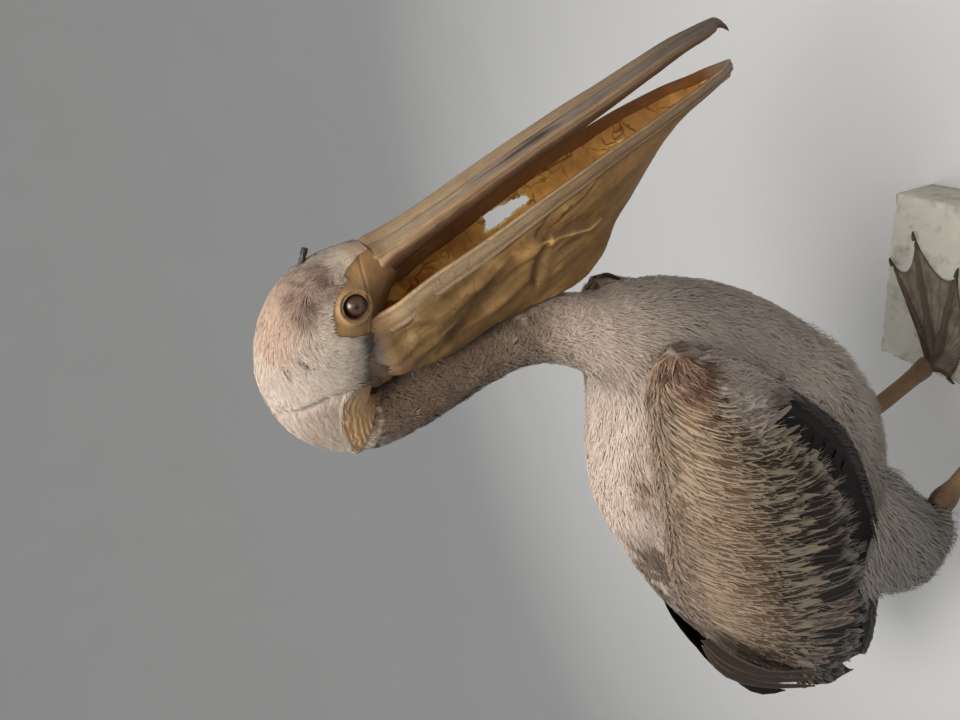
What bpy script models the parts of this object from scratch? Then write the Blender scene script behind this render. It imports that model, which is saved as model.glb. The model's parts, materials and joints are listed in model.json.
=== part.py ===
"""A great white pelican in its first plumages, as a mounted museum specimen on a cast block.

Frame: metres, +Z up, the bird faces -Y, its left side is +X. The origin is the middle of the block's underside.
The body is made of lofts through egg-shaped sections. Each section is named by its upper point, its lower point
(both in the plane of symmetry, as Y and Z) and its half width.
"""

import math

import bmesh
import bpy
from mathutils import Matrix, Vector

# ---------------------------------------------------------------- driving sizes
GAP = 0.0004  # clearance between two pieces that touch
BLOCK_W, BLOCK_L, BLOCK_H, BLOCK_EDGE = 0.290, 0.240, 0.065, 0.004

TRUNK_YAW = math.radians(7.0)  # the body is turned a little to the bird's right under the head
TRUNK_PIVOT = (0.0, 0.10)
TRUNK_N = 26
TRUNK = (  # upper (y, z), lower (y, z), half width, egg, roundness
    ((-0.080, 0.630), (-0.168, 0.610), 0.046, 0.00, 1.00),
    ((-0.054, 0.617), (-0.170, 0.578), 0.058, 0.02, 0.98),
    ((-0.012, 0.621), (-0.161, 0.528), 0.074, 0.03, 0.96),
    ((0.040, 0.626), (-0.138, 0.468), 0.089, 0.04, 0.94),
    ((0.095, 0.621), (-0.102, 0.408), 0.099, 0.05, 0.92),
    ((0.152, 0.601), (-0.056, 0.352), 0.104, 0.06, 0.92),
    ((0.208, 0.576), (0.000, 0.302), 0.104, 0.06, 0.92),
    ((0.264, 0.548), (0.062, 0.264), 0.098, 0.06, 0.92),
    ((0.318, 0.516), (0.132, 0.238), 0.088, 0.05, 0.94),
    ((0.368, 0.484), (0.208, 0.236), 0.075, 0.04, 0.96),
    ((0.412, 0.455), (0.283, 0.258), 0.060, 0.02, 1.00),
    ((0.446, 0.426), (0.345, 0.292), 0.044, 0.00, 1.00),
)
NECK_N = 20
NECK = (  # from the trunk up to the nape
    ((-0.098, 0.654), (-0.170, 0.640), 0.040),
    ((-0.106, 0.686), (-0.168, 0.682), 0.0335),
    ((-0.099, 0.722), (-0.158, 0.726), 0.031),
    ((-0.086, 0.760), (-0.146, 0.768), 0.030),
    ((-0.074, 0.798), (-0.134, 0.808), 0.030),
    ((-0.067, 0.836), (-0.127, 0.840), 0.031),
)
HEAD = (  # from the nape over the crown to the root of the bill
    ((-0.069, 0.872), (-0.130, 0.846), 0.0325),
    ((-0.082, 0.900), (-0.138, 0.842), 0.0355),
    ((-0.105, 0.922), (-0.147, 0.837), 0.0385),
    ((-0.139, 0.935), (-0.158, 0.832), 0.0400),
    ((-0.175, 0.936), (-0.171, 0.826), 0.0395),
    ((-0.213, 0.922), (-0.184, 0.820), 0.0375),
    ((-0.243, 0.896), (-0.198, 0.814), 0.0340),
    ((-0.257, 0.862), (-0.212, 0.806), 0.0310),
    ((-0.261, 0.826), (-0.226, 0.797), 0.0280),
)
NECK_CUTS = (2, 4)  # the neck is three lengths, divided at these sections
EYE_R, EYE_AT = 0.0112, (0.0262, -0.2150, 0.8450)

CULMEN = ((-0.261, 0.826), (-0.277, 0.776), (-0.301, 0.718), (-0.328, 0.650), (-0.353, 0.580), (-0.375, 0.520), (-0.3875, 0.470))
BILL_H = ((0.0, 0.046), (0.08, 0.036), (0.2, 0.0310), (0.5, 0.0290), (0.75, 0.0215), (0.93, 0.0155), (1.0, 0.0120))
BILL_W = ((0.0, 0.0280), (0.08, 0.0270), (0.2, 0.0255), (0.45, 0.0240), (0.75, 0.0220), (0.9, 0.0200), (0.97, 0.0140), (1.0, 0.0070))
NAIL_L, NAIL_HOOK = 0.016, 0.015

JAW_ROOT, JAW_TIP = (-0.187, 0.830), (-0.345, 0.447)
JAW_SPREAD = ((0.0, 0.0360), (0.12, 0.0390), (0.3, 0.0405), (0.5, 0.0395), (0.7, 0.0335), (0.85, 0.0240), (0.94, 0.0140), (1.0, 0.0))
JAW_H = ((0.0, 0.0230), (0.15, 0.0200), (0.5, 0.0150), (0.85, 0.0110), (1.0, 0.0110))
JAW_T = 0.0060
JAW_BOW = -0.009
POUCH_T = 0.0014
THROAT = ((0.0165, 0.004, 0.050, 0.0315), (-0.03, 0.006, 0.056, 0.0320), (-0.08, 0.008, 0.052, 0.0300), (-0.115, 0.006, 0.040, 0.0240))  # place on the jaw's line, height over it, depth under it, half width
POUCH_DEPTH = ((0.0, 0.040), (0.107, 0.058), (0.226, 0.063), (0.30, 0.066), (0.38, 0.078), (0.44, 0.081), (0.548, 0.069), (0.636, 0.050), (0.707, 0.0265), (0.829, 0.0155), (0.964, 0.0080), (1.0, 0.0070))

WING_T = ((0.0, 0.044), (0.1, 0.054), (0.5, 0.056), (0.75, 0.040), (1.0, 0.014))
WING_TOP = (  # distance from the middle, y, z
    (0.092, -0.137, 0.586), (0.083, -0.115, 0.605), (0.080, -0.058, 0.605), (0.084, 0.010, 0.597), (0.083, 0.090, 0.585),
    (0.068, 0.175, 0.565), (0.048, 0.270, 0.527), (0.036, 0.362, 0.473), (0.035, 0.443, 0.405), (0.044, 0.515, 0.322),
)
WING_LOW = (  # distance from the middle, y, z
    (0.084, -0.126, 0.556), (0.093, -0.107, 0.520), (0.101, -0.060, 0.460), (0.107, 0.010, 0.388), (0.110, 0.102, 0.338),
    (0.108, 0.197, 0.300), (0.101, 0.291, 0.271), (0.090, 0.386, 0.244), (0.076, 0.461, 0.221), (0.060, 0.523, 0.205),
)
WING_OUT = ((0.0, 0.098), (0.12, 0.118), (0.35, 0.131), (0.6, 0.122), (0.8, 0.098), (1.0, 0.064))
WING_LEFT_SHIFT, WING_LEFT_LIFT = (0.0, -0.004, -0.010), 0.045

TAIL_ROOT_T, TAIL_TIP_T = 0.030, 0.0035
TAIL_TIP, TAIL_W = (0.560, 0.222), (0.040, 0.043)

LEGS = {  # ankle (X, Y, Z), heel of the foot, then the tips of the middle, outer, inner and hind toes (X, Y on the block)
    "left": ((0.046, 0.146, 0.210), (0.048, 0.100), (0.104, -0.064), (0.134, -0.020), (0.036, -0.030), (0.026, 0.114)),
    "right": ((-0.100, 0.180, 0.214), (-0.086, 0.096), (-0.108, -0.066), (-0.136, -0.016), (-0.052, -0.034), (-0.062, 0.114)),
}
SHANK_W, SHANK_D = 0.0080, 0.0128  # half sizes of the bare leg, across and along
THIGH_R = {"left": (0.050, 0.140, 0.330), "right": (-0.070, 0.170, 0.345)}
THIGH_SIZES = ((0.0, 0.0185, 0.0190), (0.18, 0.030, 0.044), (0.4, 0.040, 0.084), (0.7, 0.044, 0.116), (1.0, 0.040, 0.124))
TOE_R, WEB_T, CLAW_L = 0.0062, 0.0012, 0.011


# ---------------------------------------------------------------- helpers
def curve(points, t):
    """A point at 0..1 along a smooth curve through evenly numbered points of any dimension."""
    n = len(points) - 1
    x = min(max(t, 0.0), 1.0) * n
    i = min(int(x), n - 1)
    u = x - i
    p = [points[max(0, min(n, i + k))] for k in (-1, 0, 1, 2)]
    return tuple(
        0.5 * (2 * b + (c - a) * u + (2 * a - 5 * b + 4 * c - d) * u * u + (3 * b - a - 3 * c + d) * u**3)
        for a, b, c, d in zip(*p)
    )


def along(table, t):
    """A smooth value from a table of (place, value)."""
    if t <= table[0][0]:
        return table[0][1]
    for (a, x), (b, y) in zip(table, table[1:]):
        if t <= b:
            u = (t - a) / (b - a)
            u = u * u * (3 - 2 * u) * 0.5 + u * 0.5
            return x + (y - x) * u
    return table[-1][1]


def egg(upper, lower, half, egg_by=0.0, power=1.0, count=20, grow=0.0):
    """A closed section through an upper and a lower point of the plane of symmetry."""
    d, v = Vector((0, *upper)), Vector((0, *lower))
    middle, q = (d + v) / 2, (d - v).normalized()
    h = (d - v).length / 2 + grow
    out = []
    for k in range(count):
        a = 2 * math.pi * k / count
        c, s = math.cos(a), math.sin(a)
        x = (half + grow) * math.copysign(abs(s) ** power, s) * (1 - egg_by * c)
        out.append(middle + q * (h * c) + Vector((x, 0, 0)))
    return out


def turned(p, by=TRUNK_YAW):
    """A point of the trunk turned about the pivot, seen from above."""
    x, y = p[0] - TRUNK_PIVOT[0], p[1] - TRUNK_PIVOT[1]
    c, s = math.cos(by), math.sin(by)
    return Vector((TRUNK_PIVOT[0] + x * c + y * s, TRUNK_PIVOT[1] - x * s + y * c, p[2]))


for old in list(bpy.data.objects):
    bpy.data.objects.remove(old, do_unlink=True)
collection = bpy.data.collections.new("pelican")
cutters = bpy.data.collections.new("cutters")
bpy.context.scene.collection.children.link(collection)
bpy.context.scene.collection.children.link(cutters)


def material(name, colour, rough):
    mat = bpy.data.materials.get(name) or bpy.data.materials.new(name)
    mat.use_nodes = True
    p = mat.node_tree.nodes["Principled BSDF"]
    p.inputs["Base Color"].default_value = (*colour, 1)
    p.inputs["Roughness"].default_value = rough
    p.inputs["Metallic"].default_value = 0.0
    return mat


def made(name, mesh, mat, helper=False):
    obj = bpy.data.objects.new(name, mesh)
    (cutters if helper else collection).objects.link(obj)
    if helper:
        obj.hide_render, obj.display_type = True, "WIRE"
    else:
        mesh.materials.append(mat)
        mesh.shade_smooth()
        mesh.set_sharp_from_angle(angle=math.radians(50))
    return obj


def loft(name, rings, mat=None, tip=None, helper=False):
    """A closed solid through sections of equal count, capped flat, or drawn to a point at the end."""
    bm = bmesh.new()
    rows = [[bm.verts.new(p) for p in ring] for ring in rings]
    for a, b in zip(rows, rows[1:]):
        for k in range(len(a)):
            m = (k + 1) % len(a)
            bm.faces.new((a[k], a[m], b[m]))
            bm.faces.new((a[k], b[m], b[k]))
    bm.faces.new(rows[0][::-1])
    if tip is None:
        bm.faces.new(rows[-1])
    else:
        end = bm.verts.new(tip)
        for k in range(len(rows[-1])):
            bm.faces.new((rows[-1][k], rows[-1][(k + 1) % len(rows[-1])], end))
    bmesh.ops.recalc_face_normals(bm, faces=bm.faces)
    mesh = bpy.data.meshes.new(name)
    bm.to_mesh(mesh)
    bm.free()
    return made(name, mesh, mat, helper)


def lifted(ring, towards, by=GAP):
    """A section moved a little along its own normal, on the side of another section."""
    middle = sum(ring, Vector()) / len(ring)
    normal = (ring[len(ring) // 4] - middle).cross(ring[0] - middle).normalized()
    if normal.dot(sum(towards, Vector()) / len(towards) - middle) < 0:
        normal = -normal
    return [p + normal * by for p in ring]


def cut(obj, *others, operation="DIFFERENCE"):
    for other in others:
        m = obj.modifiers.new("cut", "BOOLEAN")
        m.operation, m.solver, m.object = operation, "EXACT", other


# ---------------------------------------------------------------- materials
BODY = material("plumage_body", (0.62, 0.56, 0.52), 0.9)
NECKM = material("plumage_neck", (0.42, 0.34, 0.29), 0.9)
HEADM = material("plumage_head", (0.68, 0.60, 0.51), 0.9)
WINGM = material("plumage_wing", (0.36, 0.28, 0.21), 0.85)
TAILM = material("plumage_tail", (0.45, 0.38, 0.33), 0.85)
BILLM = material("horn_bill", (0.42, 0.28, 0.15), 0.5)
JAWM = material("horn_jaw", (0.40, 0.30, 0.19), 0.55)
POUCHM = material("skin_pouch", (0.50, 0.30, 0.10), 0.45)
EYEM = material("eye_glass", (0.06, 0.03, 0.02), 0.08)
LEGM = material("leg_skin", (0.26, 0.17, 0.09), 0.6)
FOOTM = material("foot_skin", (0.17, 0.13, 0.10), 0.6)
CLAWM = material("claw", (0.07, 0.05, 0.04), 0.45)
BLOCKM = material("block_plaster", (0.62, 0.61, 0.55), 0.9)
WIREM = material("wire", (0.05, 0.05, 0.06), 0.5)


# ---------------------------------------------------------------- trunk, neck and head
def trunk_rings(grow=0.0, steps=14):
    rings = []
    flat = [(*d, *v, w, e, r) for d, v, w, e, r in TRUNK]
    for i in range(steps + 1):
        d0, d1, v0, v1, w, e, r = curve(flat, i / steps)
        rings.append([turned(p) for p in egg((d0, d1), (v0, v1), w, e, r, TRUNK_N, grow)])
    return rings


def neck_rings(grow=0.0):
    """Sections from the top of the trunk to the root of the bill, each as (upper, lower, half width)."""
    first = [(*TRUNK[0][0], *TRUNK[0][1], TRUNK[0][2])]
    flat = first + [(*d, *v, w) for d, v, w in NECK + HEAD]
    n = len(flat) - 1
    rings = []
    for i in range(n * 2 + 1):
        d0, d1, v0, v1, w = curve(flat, i / (2 * n))
        s = i / 2
        ring = egg((d0, d1), (v0, v1), w, 0.10 * max(0.0, min(1.0, (s - 6) / 3)), 1.0, NECK_N, grow)
        share = max(0.0, 1 - s / 2.5)
        rings.append([turned(p, TRUNK_YAW * share) for p in ring])
    return rings


trunk = trunk_rings()
neck = neck_rings()
loft("trunk", trunk, BODY)
c1, c2, c3 = 2 * NECK_CUTS[0], 2 * NECK_CUTS[1], 2 * len(NECK)
loft("neck_lower", [lifted(neck[0], neck[1])] + neck[1 : c1 + 1], NECKM)
loft("neck_middle", [lifted(neck[c1], neck[c1 + 1])] + neck[c1 + 1 : c2 + 1], NECKM)
loft("neck_upper", [lifted(neck[c2], neck[c2 + 1])] + neck[c2 + 1 : c3 + 1], NECKM)
head = loft("head", [lifted(neck[c3], neck[c3 + 1])] + neck[c3 + 1 :], HEADM)


def ball(name, radius, at, mat=None, helper=False, u=14, v=8):
    mesh = bpy.data.meshes.new(name)
    bm = bmesh.new()
    bmesh.ops.create_uvsphere(bm, u_segments=u, v_segments=v, radius=radius, matrix=Matrix.Rotation(math.pi / 2, 4, "Y"))
    bm.to_mesh(mesh)
    bm.free()
    obj = made(name, mesh, mat, helper)
    obj.location = at
    return obj


for side, sign in (("left", 1), ("right", -1)):
    at = (sign * EYE_AT[0], EYE_AT[1], EYE_AT[2])
    ball(f"eye_{side}", EYE_R, at, EYEM)
    cut(head, ball(f"cut_eye_{side}", EYE_R + GAP, at, helper=True))

# the end of the wire in the forehead
WIRE_AT, WIRE_TO, WIRE_R = Vector((0.0, -0.238, 0.881)), Vector((0.0, -0.264, 0.871)), 0.0030


def rod(name, a, b, radius, mat=None, helper=False, sides=12, end=None):
    """A round bar, or a cone where end is another radius."""
    a, b = Vector(a), Vector(b)
    bm = bmesh.new()
    turn = (b - a).to_track_quat("Z", "Y").to_matrix().to_4x4()
    bmesh.ops.create_cone(bm, cap_ends=True, segments=sides, radius1=radius, radius2=radius if end is None else end, depth=(b - a).length, matrix=Matrix.Translation((a + b) / 2) @ turn)
    mesh = bpy.data.meshes.new(name)
    bm.to_mesh(mesh)
    bm.free()
    return made(name, mesh, mat, helper)


rod("wire_end", WIRE_AT, WIRE_TO, WIRE_R, WIREM)
cut(head, rod("cut_wire", WIRE_AT + (WIRE_AT - WIRE_TO).normalized() * GAP, WIRE_TO, WIRE_R + GAP, helper=True))


# ---------------------------------------------------------------- bill
def bill_frame(s):
    """The culmen's point, the bill's direction and its upward normal at 0..1."""
    a, b = curve(CULMEN, max(0.0, s - 0.02)), curve(CULMEN, min(1.0, s + 0.02))
    y, z = curve(CULMEN, s)
    d = Vector((0, b[0] - a[0], b[1] - a[1])).normalized()
    return Vector((0, y, z)), d, Vector((0, d.z, -d.y))


def bill_section(s, count=20):
    """A low, broad section with a rounded ridge along its middle and a narrow edge at each side."""
    top, d, up = bill_frame(s)
    if up.y > 0:
        up = -up
    h, w = along(BILL_H, s), along(BILL_W, s)
    out = []
    for k in range(count):
        a = 2 * math.pi * k / count
        c, x = math.cos(a), math.sin(a)
        if c >= 0:
            ridge = math.exp(-((x / 0.42) ** 2))
            y = -h * 0.5 + h * (0.24 * c + 0.26 * ridge * c)
        else:
            y = -h * 0.5 + h * 0.5 * c * (1 - 0.45 * math.exp(-((x / 0.55) ** 2)) * min(1.0, s * 4))
        out.append(top + up * y + Vector((w * x, 0, 0)))
    return out


bill = [bill_section(i / 11) for i in range(12)]
p, d, up = bill_frame(1.0)
if up.y > 0:
    up = -up
nail = [
    [q + d * (NAIL_L * 0.5) - up * (NAIL_HOOK * 0.18) + (p - up * 0.004 - q) * 0.35 for q in bill[-1]],
    [q + d * (NAIL_L * 0.9) - up * (NAIL_HOOK * 0.55) + (p - up * 0.004 - q) * 0.62 for q in bill[-1]],
]
first_bill = lifted(neck[-1], bill[2])
loft("bill_upper", [lifted(neck[-1], bill[2])] + bill[1:] + nail, BILLM, tip=p + d * (NAIL_L * 1.0) - up * NAIL_HOOK)


# ---------------------------------------------------------------- lower jaw and pouch
def jaw_point(t):
    """The middle of a ramus at 0..1 from its root to the tip, on the left side."""
    y = JAW_ROOT[0] + (JAW_TIP[0] - JAW_ROOT[0]) * t
    z = JAW_ROOT[1] + (JAW_TIP[1] - JAW_ROOT[1]) * t
    n = Vector((0, JAW_TIP[1] - JAW_ROOT[1], -(JAW_TIP[0] - JAW_ROOT[0]))).normalized()
    if n.y > 0:
        n = -n
    return Vector((along(JAW_SPREAD, t), y, z)) - n * (JAW_BOW * math.sin(math.pi * t))


jaw_axis = Vector((0, JAW_TIP[0] - JAW_ROOT[0], JAW_TIP[1] - JAW_ROOT[1])).normalized()
jaw_up = Vector((0, jaw_axis.z, -jaw_axis.y))
if jaw_up.y > 0:
    jaw_up = -jaw_up


def jaw_section(t, side, count=12):
    m = jaw_point(t)
    e = 0.01
    a, b = jaw_point(max(0.0, t - e)), jaw_point(min(0.985, t + e)) if t < 0.98 else jaw_point(1.0)
    run = (b - a).normalized()
    out_dir = run.cross(jaw_up).normalized()
    if out_dir.x < 0:
        out_dir = -out_dir
    h = along(JAW_H, t) / 2
    ring = []
    for k in range(count):
        ang = 2 * math.pi * k / count
        q = m + jaw_up * (h * math.cos(ang)) + out_dir * (JAW_T / 2 * math.sin(ang))
        ring.append(Vector((q.x * side, q.y, q.z)))
    return ring


steps = [0.0, 0.06, 0.14, 0.24, 0.35, 0.46, 0.57, 0.67, 0.76, 0.84, 0.90, 0.945, 0.975]
left_half = [jaw_section(t, 1) for t in steps]
middle_point = jaw_point(1.0)
h_tip = along(JAW_H, 1.0) / 2
tip_ring = [
    middle_point + jaw_up * (h_tip * math.cos(2 * math.pi * k / 12)) + jaw_axis * (JAW_T / 2 * math.sin(2 * math.pi * k / 12))
    for k in range(12)
]
right_half = [[Vector((-q.x, q.y, q.z)) for q in ring] for ring in reversed(left_half)]
jaw = loft("bill_lower", left_half + [tip_ring] + right_half, JAWM)

POUCH_N, POUCH_M = 13, 12


def clear_of_neck(p, by):
    """A point moved forward until it is in front of the neck."""
    rings = NECK_SIDES
    if p.z > rings[-1][0] or p.z < rings[0][0]:
        return p
    for a, b in zip(rings, rings[1:]):
        if p.z <= b[0]:
            u = (p.z - a[0]) / (b[0] - a[0])
            yc, hy, hx = (a[k] + (b[k] - a[k]) * u for k in (1, 2, 3))
            break
    inside = 1 - (p.x / (hx + by)) ** 2
    if inside <= 0:
        return p
    front = yc - (hy + by) * math.sqrt(inside)
    return Vector((p.x, min(p.y, front), p.z))


NECK_SIDES = [((d[1] + v[1]) / 2, (d[0] + v[0]) / 2, math.dist(d, v) / 2, w) for d, v, w in NECK + HEAD[:2]]


def pouch_point(t, a):
    """A point of the pouch at 0..1 along the jaw and -1..1 across it, from the right ramus round to the left."""
    m = jaw_point(t)
    depth = along(POUCH_DEPTH, t)
    top = m - jaw_up * (along(JAW_H, t) / 2 + 0.0008)
    ang = (a + 1) * math.pi / 2
    across = -math.cos(ang)
    x = (top.x) * math.copysign(abs(across) ** 0.75, across)
    drop = math.sin(ang) ** 0.85
    chord = Vector((0, JAW_ROOT[0] + (JAW_TIP[0] - JAW_ROOT[0]) * t, JAW_ROOT[1] + (JAW_TIP[1] - JAW_ROOT[1]) * t))
    hang = (top - chord).dot(jaw_up) + depth
    return clear_of_neck(Vector((x, top.y, top.z)) - jaw_up * (max(hang, 0.004) * drop), 0.003)


bm = bmesh.new()
rows = []
for i in range(POUCH_N + 1):
    t = 0.02 + 0.955 * i / POUCH_N
    rows.append([bm.verts.new(pouch_point(t, -1 + 2 * j / POUCH_M)) for j in range(POUCH_M + 1)])
for a, b in zip(rows, rows[1:]):
    for j in range(POUCH_M):
        bm.faces.new((a[j], a[j + 1], b[j + 1], b[j]))
bmesh.ops.recalc_face_normals(bm, faces=bm.faces)
mesh = bpy.data.meshes.new("pouch")
bm.to_mesh(mesh)
bm.free()
pouch = made("pouch", mesh, POUCHM)
shell = pouch.modifiers.new("shell", "SOLIDIFY")
shell.thickness, shell.offset = POUCH_T, 0.0


# the skin of the throat, between the roots of the jaw, the neck and the head
throat_rings = []
for t, up_by, down_by, w in THROAT:
    chord = Vector((0, JAW_ROOT[0] + (JAW_TIP[0] - JAW_ROOT[0]) * t, JAW_ROOT[1] + (JAW_TIP[1] - JAW_ROOT[1]) * t))
    upper, lower = chord + jaw_up * up_by, chord - jaw_up * down_by
    throat_rings.append(egg((upper.y, upper.z), (lower.y, lower.z), w, 0.0, 0.8, 16))
throat = loft("throat", throat_rings, POUCHM)
cut(throat, loft("cut_neck", neck_rings(2 * GAP), helper=True))


# ---------------------------------------------------------------- wings
def wing_point(a, b, inner, grow=0.0, lift=0.0):
    """A point of the folded right wing: a from the wrist back, b from the upper edge down, inner 0 outside, 1 inside."""
    lean, *top = curve(WING_TOP, a)
    tuck, *low = curve(WING_LOW, a)
    height = math.hypot(top[0] - low[0], top[1] - low[1])
    b = b + (b * 2 - 1) * grow / height
    y, z = top[0] + (low[0] - top[0]) * b, top[1] + (low[1] - top[1]) * b
    out = along(WING_OUT, a)
    out -= (out - lean) * max(0.0, 1 - b / 0.5) ** 2 + (out - tuck) * max(0.0, (b - 0.5) / 0.5) ** 2
    edge = math.sin(math.pi * min(max(b, 0.0), 1.0)) ** 0.4
    thick = 0.004 + (along(WING_T, a) - 0.004) * edge
    return Vector((-(out + grow - inner * (thick + 2 * grow)), y, z + lift * a * a))


def wing(side, grow=0.0):
    sign = -1 if side == "right" else 1
    shift = (0, 0, 0) if side == "right" else WING_LEFT_SHIFT
    lift = 0.0 if side == "right" else WING_LEFT_LIFT
    rings, na, nb = [], 15, 10
    for i in range(na + 1):
        a = i / na + (grow / 0.66) * (2 * i / na - 1)
        outer = [wing_point(a, j / nb, 0, grow, lift) for j in range(nb + 1)]
        inner = [wing_point(a, j / nb, 1, grow, lift) for j in range(nb + 1)]
        ring = outer + inner[::-1]
        rings.append([turned((p.x * -sign + shift[0], p.y + shift[1], p.z + shift[2])) for p in ring])
    return loft(f"cut_wing_{side}" if grow else f"wing_{side}", rings, WINGM, helper=bool(grow))


grown = trunk_rings(2 * GAP)
inflated = loft("cut_trunk", [lifted(grown[0], grown[1], -GAP)] + grown[1:-1] + [lifted(grown[-1], grown[-2], -GAP)], helper=True)
for side in ("left", "right"):
    cut(wing(side), inflated)

# ---------------------------------------------------------------- tail
tail_axis = Vector((0, TAIL_TIP[0] - (TRUNK[-1][0][0] + TRUNK[-1][1][0]) / 2, TAIL_TIP[1] - (TRUNK[-1][0][1] + TRUNK[-1][1][1]) / 2))
last = TRUNK[-1]
root_mid = Vector((0, (last[0][0] + last[1][0]) / 2, (last[0][1] + last[1][1]) / 2))
tail_rings = []
tail_up = Vector((0, -tail_axis.z, tail_axis.y)).normalized()
if tail_up.z < 0:
    tail_up = -tail_up
root_half = Vector((0, last[0][0] - last[1][0], last[0][1] - last[1][1])) / 2
for i in range(9):
    s = i / 8
    m = root_mid + tail_axis * s
    k = min(1.0, s / 0.35)
    half = root_half.lerp(tail_up * (TAIL_ROOT_T / 2), k * k * (3 - 2 * k)) if s < 0.35 else tail_up * ((TAIL_ROOT_T / 2) + (TAIL_TIP_T / 2 - TAIL_ROOT_T / 2) * ((s - 0.35) / 0.65) ** 0.7)
    w = TAIL_W[0] + (TAIL_W[1] - TAIL_W[0]) * s**0.8
    w *= 1.0 if s < 0.7 else math.sqrt(max(0.05, 1 - ((s - 0.7) / 0.31) ** 2))
    ring = []
    for k in range(TRUNK_N):
        a = 2 * math.pi * k / TRUNK_N
        ring.append(turned(m + half * math.cos(a) + Vector((w * math.sin(a), 0, 0))))
    tail_rings.append(ring)
tail_rings[0] = lifted(trunk[-1], tail_rings[2])
loft("tail", tail_rings, TAILM)

# ---------------------------------------------------------------- block, legs and feet
bm = bmesh.new()
bmesh.ops.create_cube(bm, size=1.0, matrix=Matrix.Translation((0, 0, BLOCK_H / 2)) @ Matrix.Diagonal((BLOCK_W, BLOCK_L, BLOCK_H, 1)))
mesh = bpy.data.meshes.new("base_block")
bm.to_mesh(mesh)
bm.free()
block = made("base_block", mesh, BLOCKM)
edge = block.modifiers.new("edge", "BEVEL")
edge.width, edge.segments = BLOCK_EDGE, 2

FLOOR = BLOCK_H + GAP


def foot_top(u, v, toes, heel):
    """The height of the foot over its sole at a point: the web, with each toe as a rounded ridge that narrows to its tip."""
    h = WEB_T
    for tip in toes:
        ax, ay = tip[0] - heel[0], tip[1] - heel[1]
        length = math.hypot(ax, ay)
        s = ((u - heel[0]) * ax + (v - heel[1]) * ay) / length**2
        s_c = min(max(s, 0.0), 1.0)
        dist = math.hypot(u - heel[0] - ax * s_c, v - heel[1] - ay * s_c)
        r = TOE_R * (1.25 - 0.65 * s_c)
        if dist < r:
            h = max(h, WEB_T + math.sqrt(r * r - dist * dist) * 1.35 * (1 - 0.35 * s_c))
    d = math.hypot(u - heel[0], v - heel[1])
    return max(h, 0.021 * math.exp(-((d / 0.014) ** 2)))


def foot(side):
    ankle, heel, middle, outer, inner, hind = LEGS[side]
    toes = (outer, middle, inner, hind)
    def polar(p):
        return math.atan2(p[1] - heel[1], p[0] - heel[0]), math.hypot(p[0] - heel[0], p[1] - heel[1])
    stops = [polar(p) for p in (outer, middle, inner, hind)]
    turn = 1 if side == "left" else -1
    # angles run from the outer toe over the middle and inner toes to the hind toe
    base = stops[0][0]
    marks = []
    for a, r in stops:
        x = (a - base) * -turn
        while x < -1e-6:
            x += 2 * math.pi
        marks.append((x, r))
    span = marks[-1][0]
    def reach(x):
        for (a, r), (b, q) in zip(marks, marks[1:]):
            if x <= b + 1e-9:
                u = (x - a) / (b - a)
                chord = 1 / ((1 - u) / r + u / q)
                return chord * (1 - 0.17 * math.sin(math.pi * u) ** 0.8)
        return marks[-1][1]
    n_a, n_r = 20, 5
    rim = [span * i / n_a for i in range(n_a + 1)]
    # every toe's own direction is one of the rays
    for x, _ in marks:
        k = min(range(len(rim)), key=lambda i: abs(rim[i] - x))
        rim[k] = x
    rays = [(base - turn * x, reach(x)) for x in rim]
    # the back of the foot closes with a small round
    back = []
    gap_angle = 2 * math.pi - span
    for i in range(1, 8):
        x = span + gap_angle * i / 8
        back.append((base - turn * x, 0.0105 + 0.001 * math.sin(math.pi * i / 8)))
    first, final = rays[0], rays[-1]
    rays = rays + back
    rings_top, rings_low = [], []
    bm = bmesh.new()
    centre_top = bm.verts.new((heel[0], heel[1], FLOOR + foot_top(*heel, toes, heel)))
    centre_low = bm.verts.new((heel[0], heel[1], FLOOR))
    tops, lows = [], []
    for j in range(1, n_r + 1):
        f = (j / n_r) ** 1.15
        top_row, low_row = [], []
        for a, r in rays:
            x, y = heel[0] + math.cos(a) * r * f, heel[1] + math.sin(a) * r * f
            h = foot_top(x, y, toes, heel)
            if j == n_r:
                h = max(WEB_T, min(h, 0.004))
            top_row.append(bm.verts.new((x, y, FLOOR + h)))
            low_row.append(bm.verts.new((x, y, FLOOR)))
        tops.append(top_row)
        lows.append(low_row)
    m = len(rays)
    for k in range(m):
        q = (k + 1) % m
        bm.faces.new((centre_top, tops[0][k], tops[0][q]))
        bm.faces.new((centre_low, lows[0][q], lows[0][k]))
        for j in range(n_r - 1):
            bm.faces.new((tops[j][k], tops[j + 1][k], tops[j + 1][q], tops[j][q]))
            bm.faces.new((lows[j][k], lows[j][q], lows[j + 1][q], lows[j + 1][k]))
        bm.faces.new((tops[-1][k], lows[-1][k], lows[-1][q], tops[-1][q]))
    bmesh.ops.recalc_face_normals(bm, faces=bm.faces)
    mesh = bpy.data.meshes.new(f"foot_{side}")
    bm.to_mesh(mesh)
    bm.free()
    made(f"foot_{side}", mesh, FOOTM)
    for number, tip in enumerate(toes):
        a = math.atan2(tip[1] - heel[1], tip[0] - heel[0])
        d = Vector((math.cos(a), math.sin(a), 0))
        start = Vector((tip[0], tip[1], FLOOR + 0.0030)) + d * GAP * 2
        rod(f"claw_{side}_{('outer', 'middle', 'inner', 'hind')[number]}", start, start + d * CLAW_L - Vector((0, 0, 0.0018)), 0.0026, CLAWM, sides=8, end=0.0007)


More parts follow.
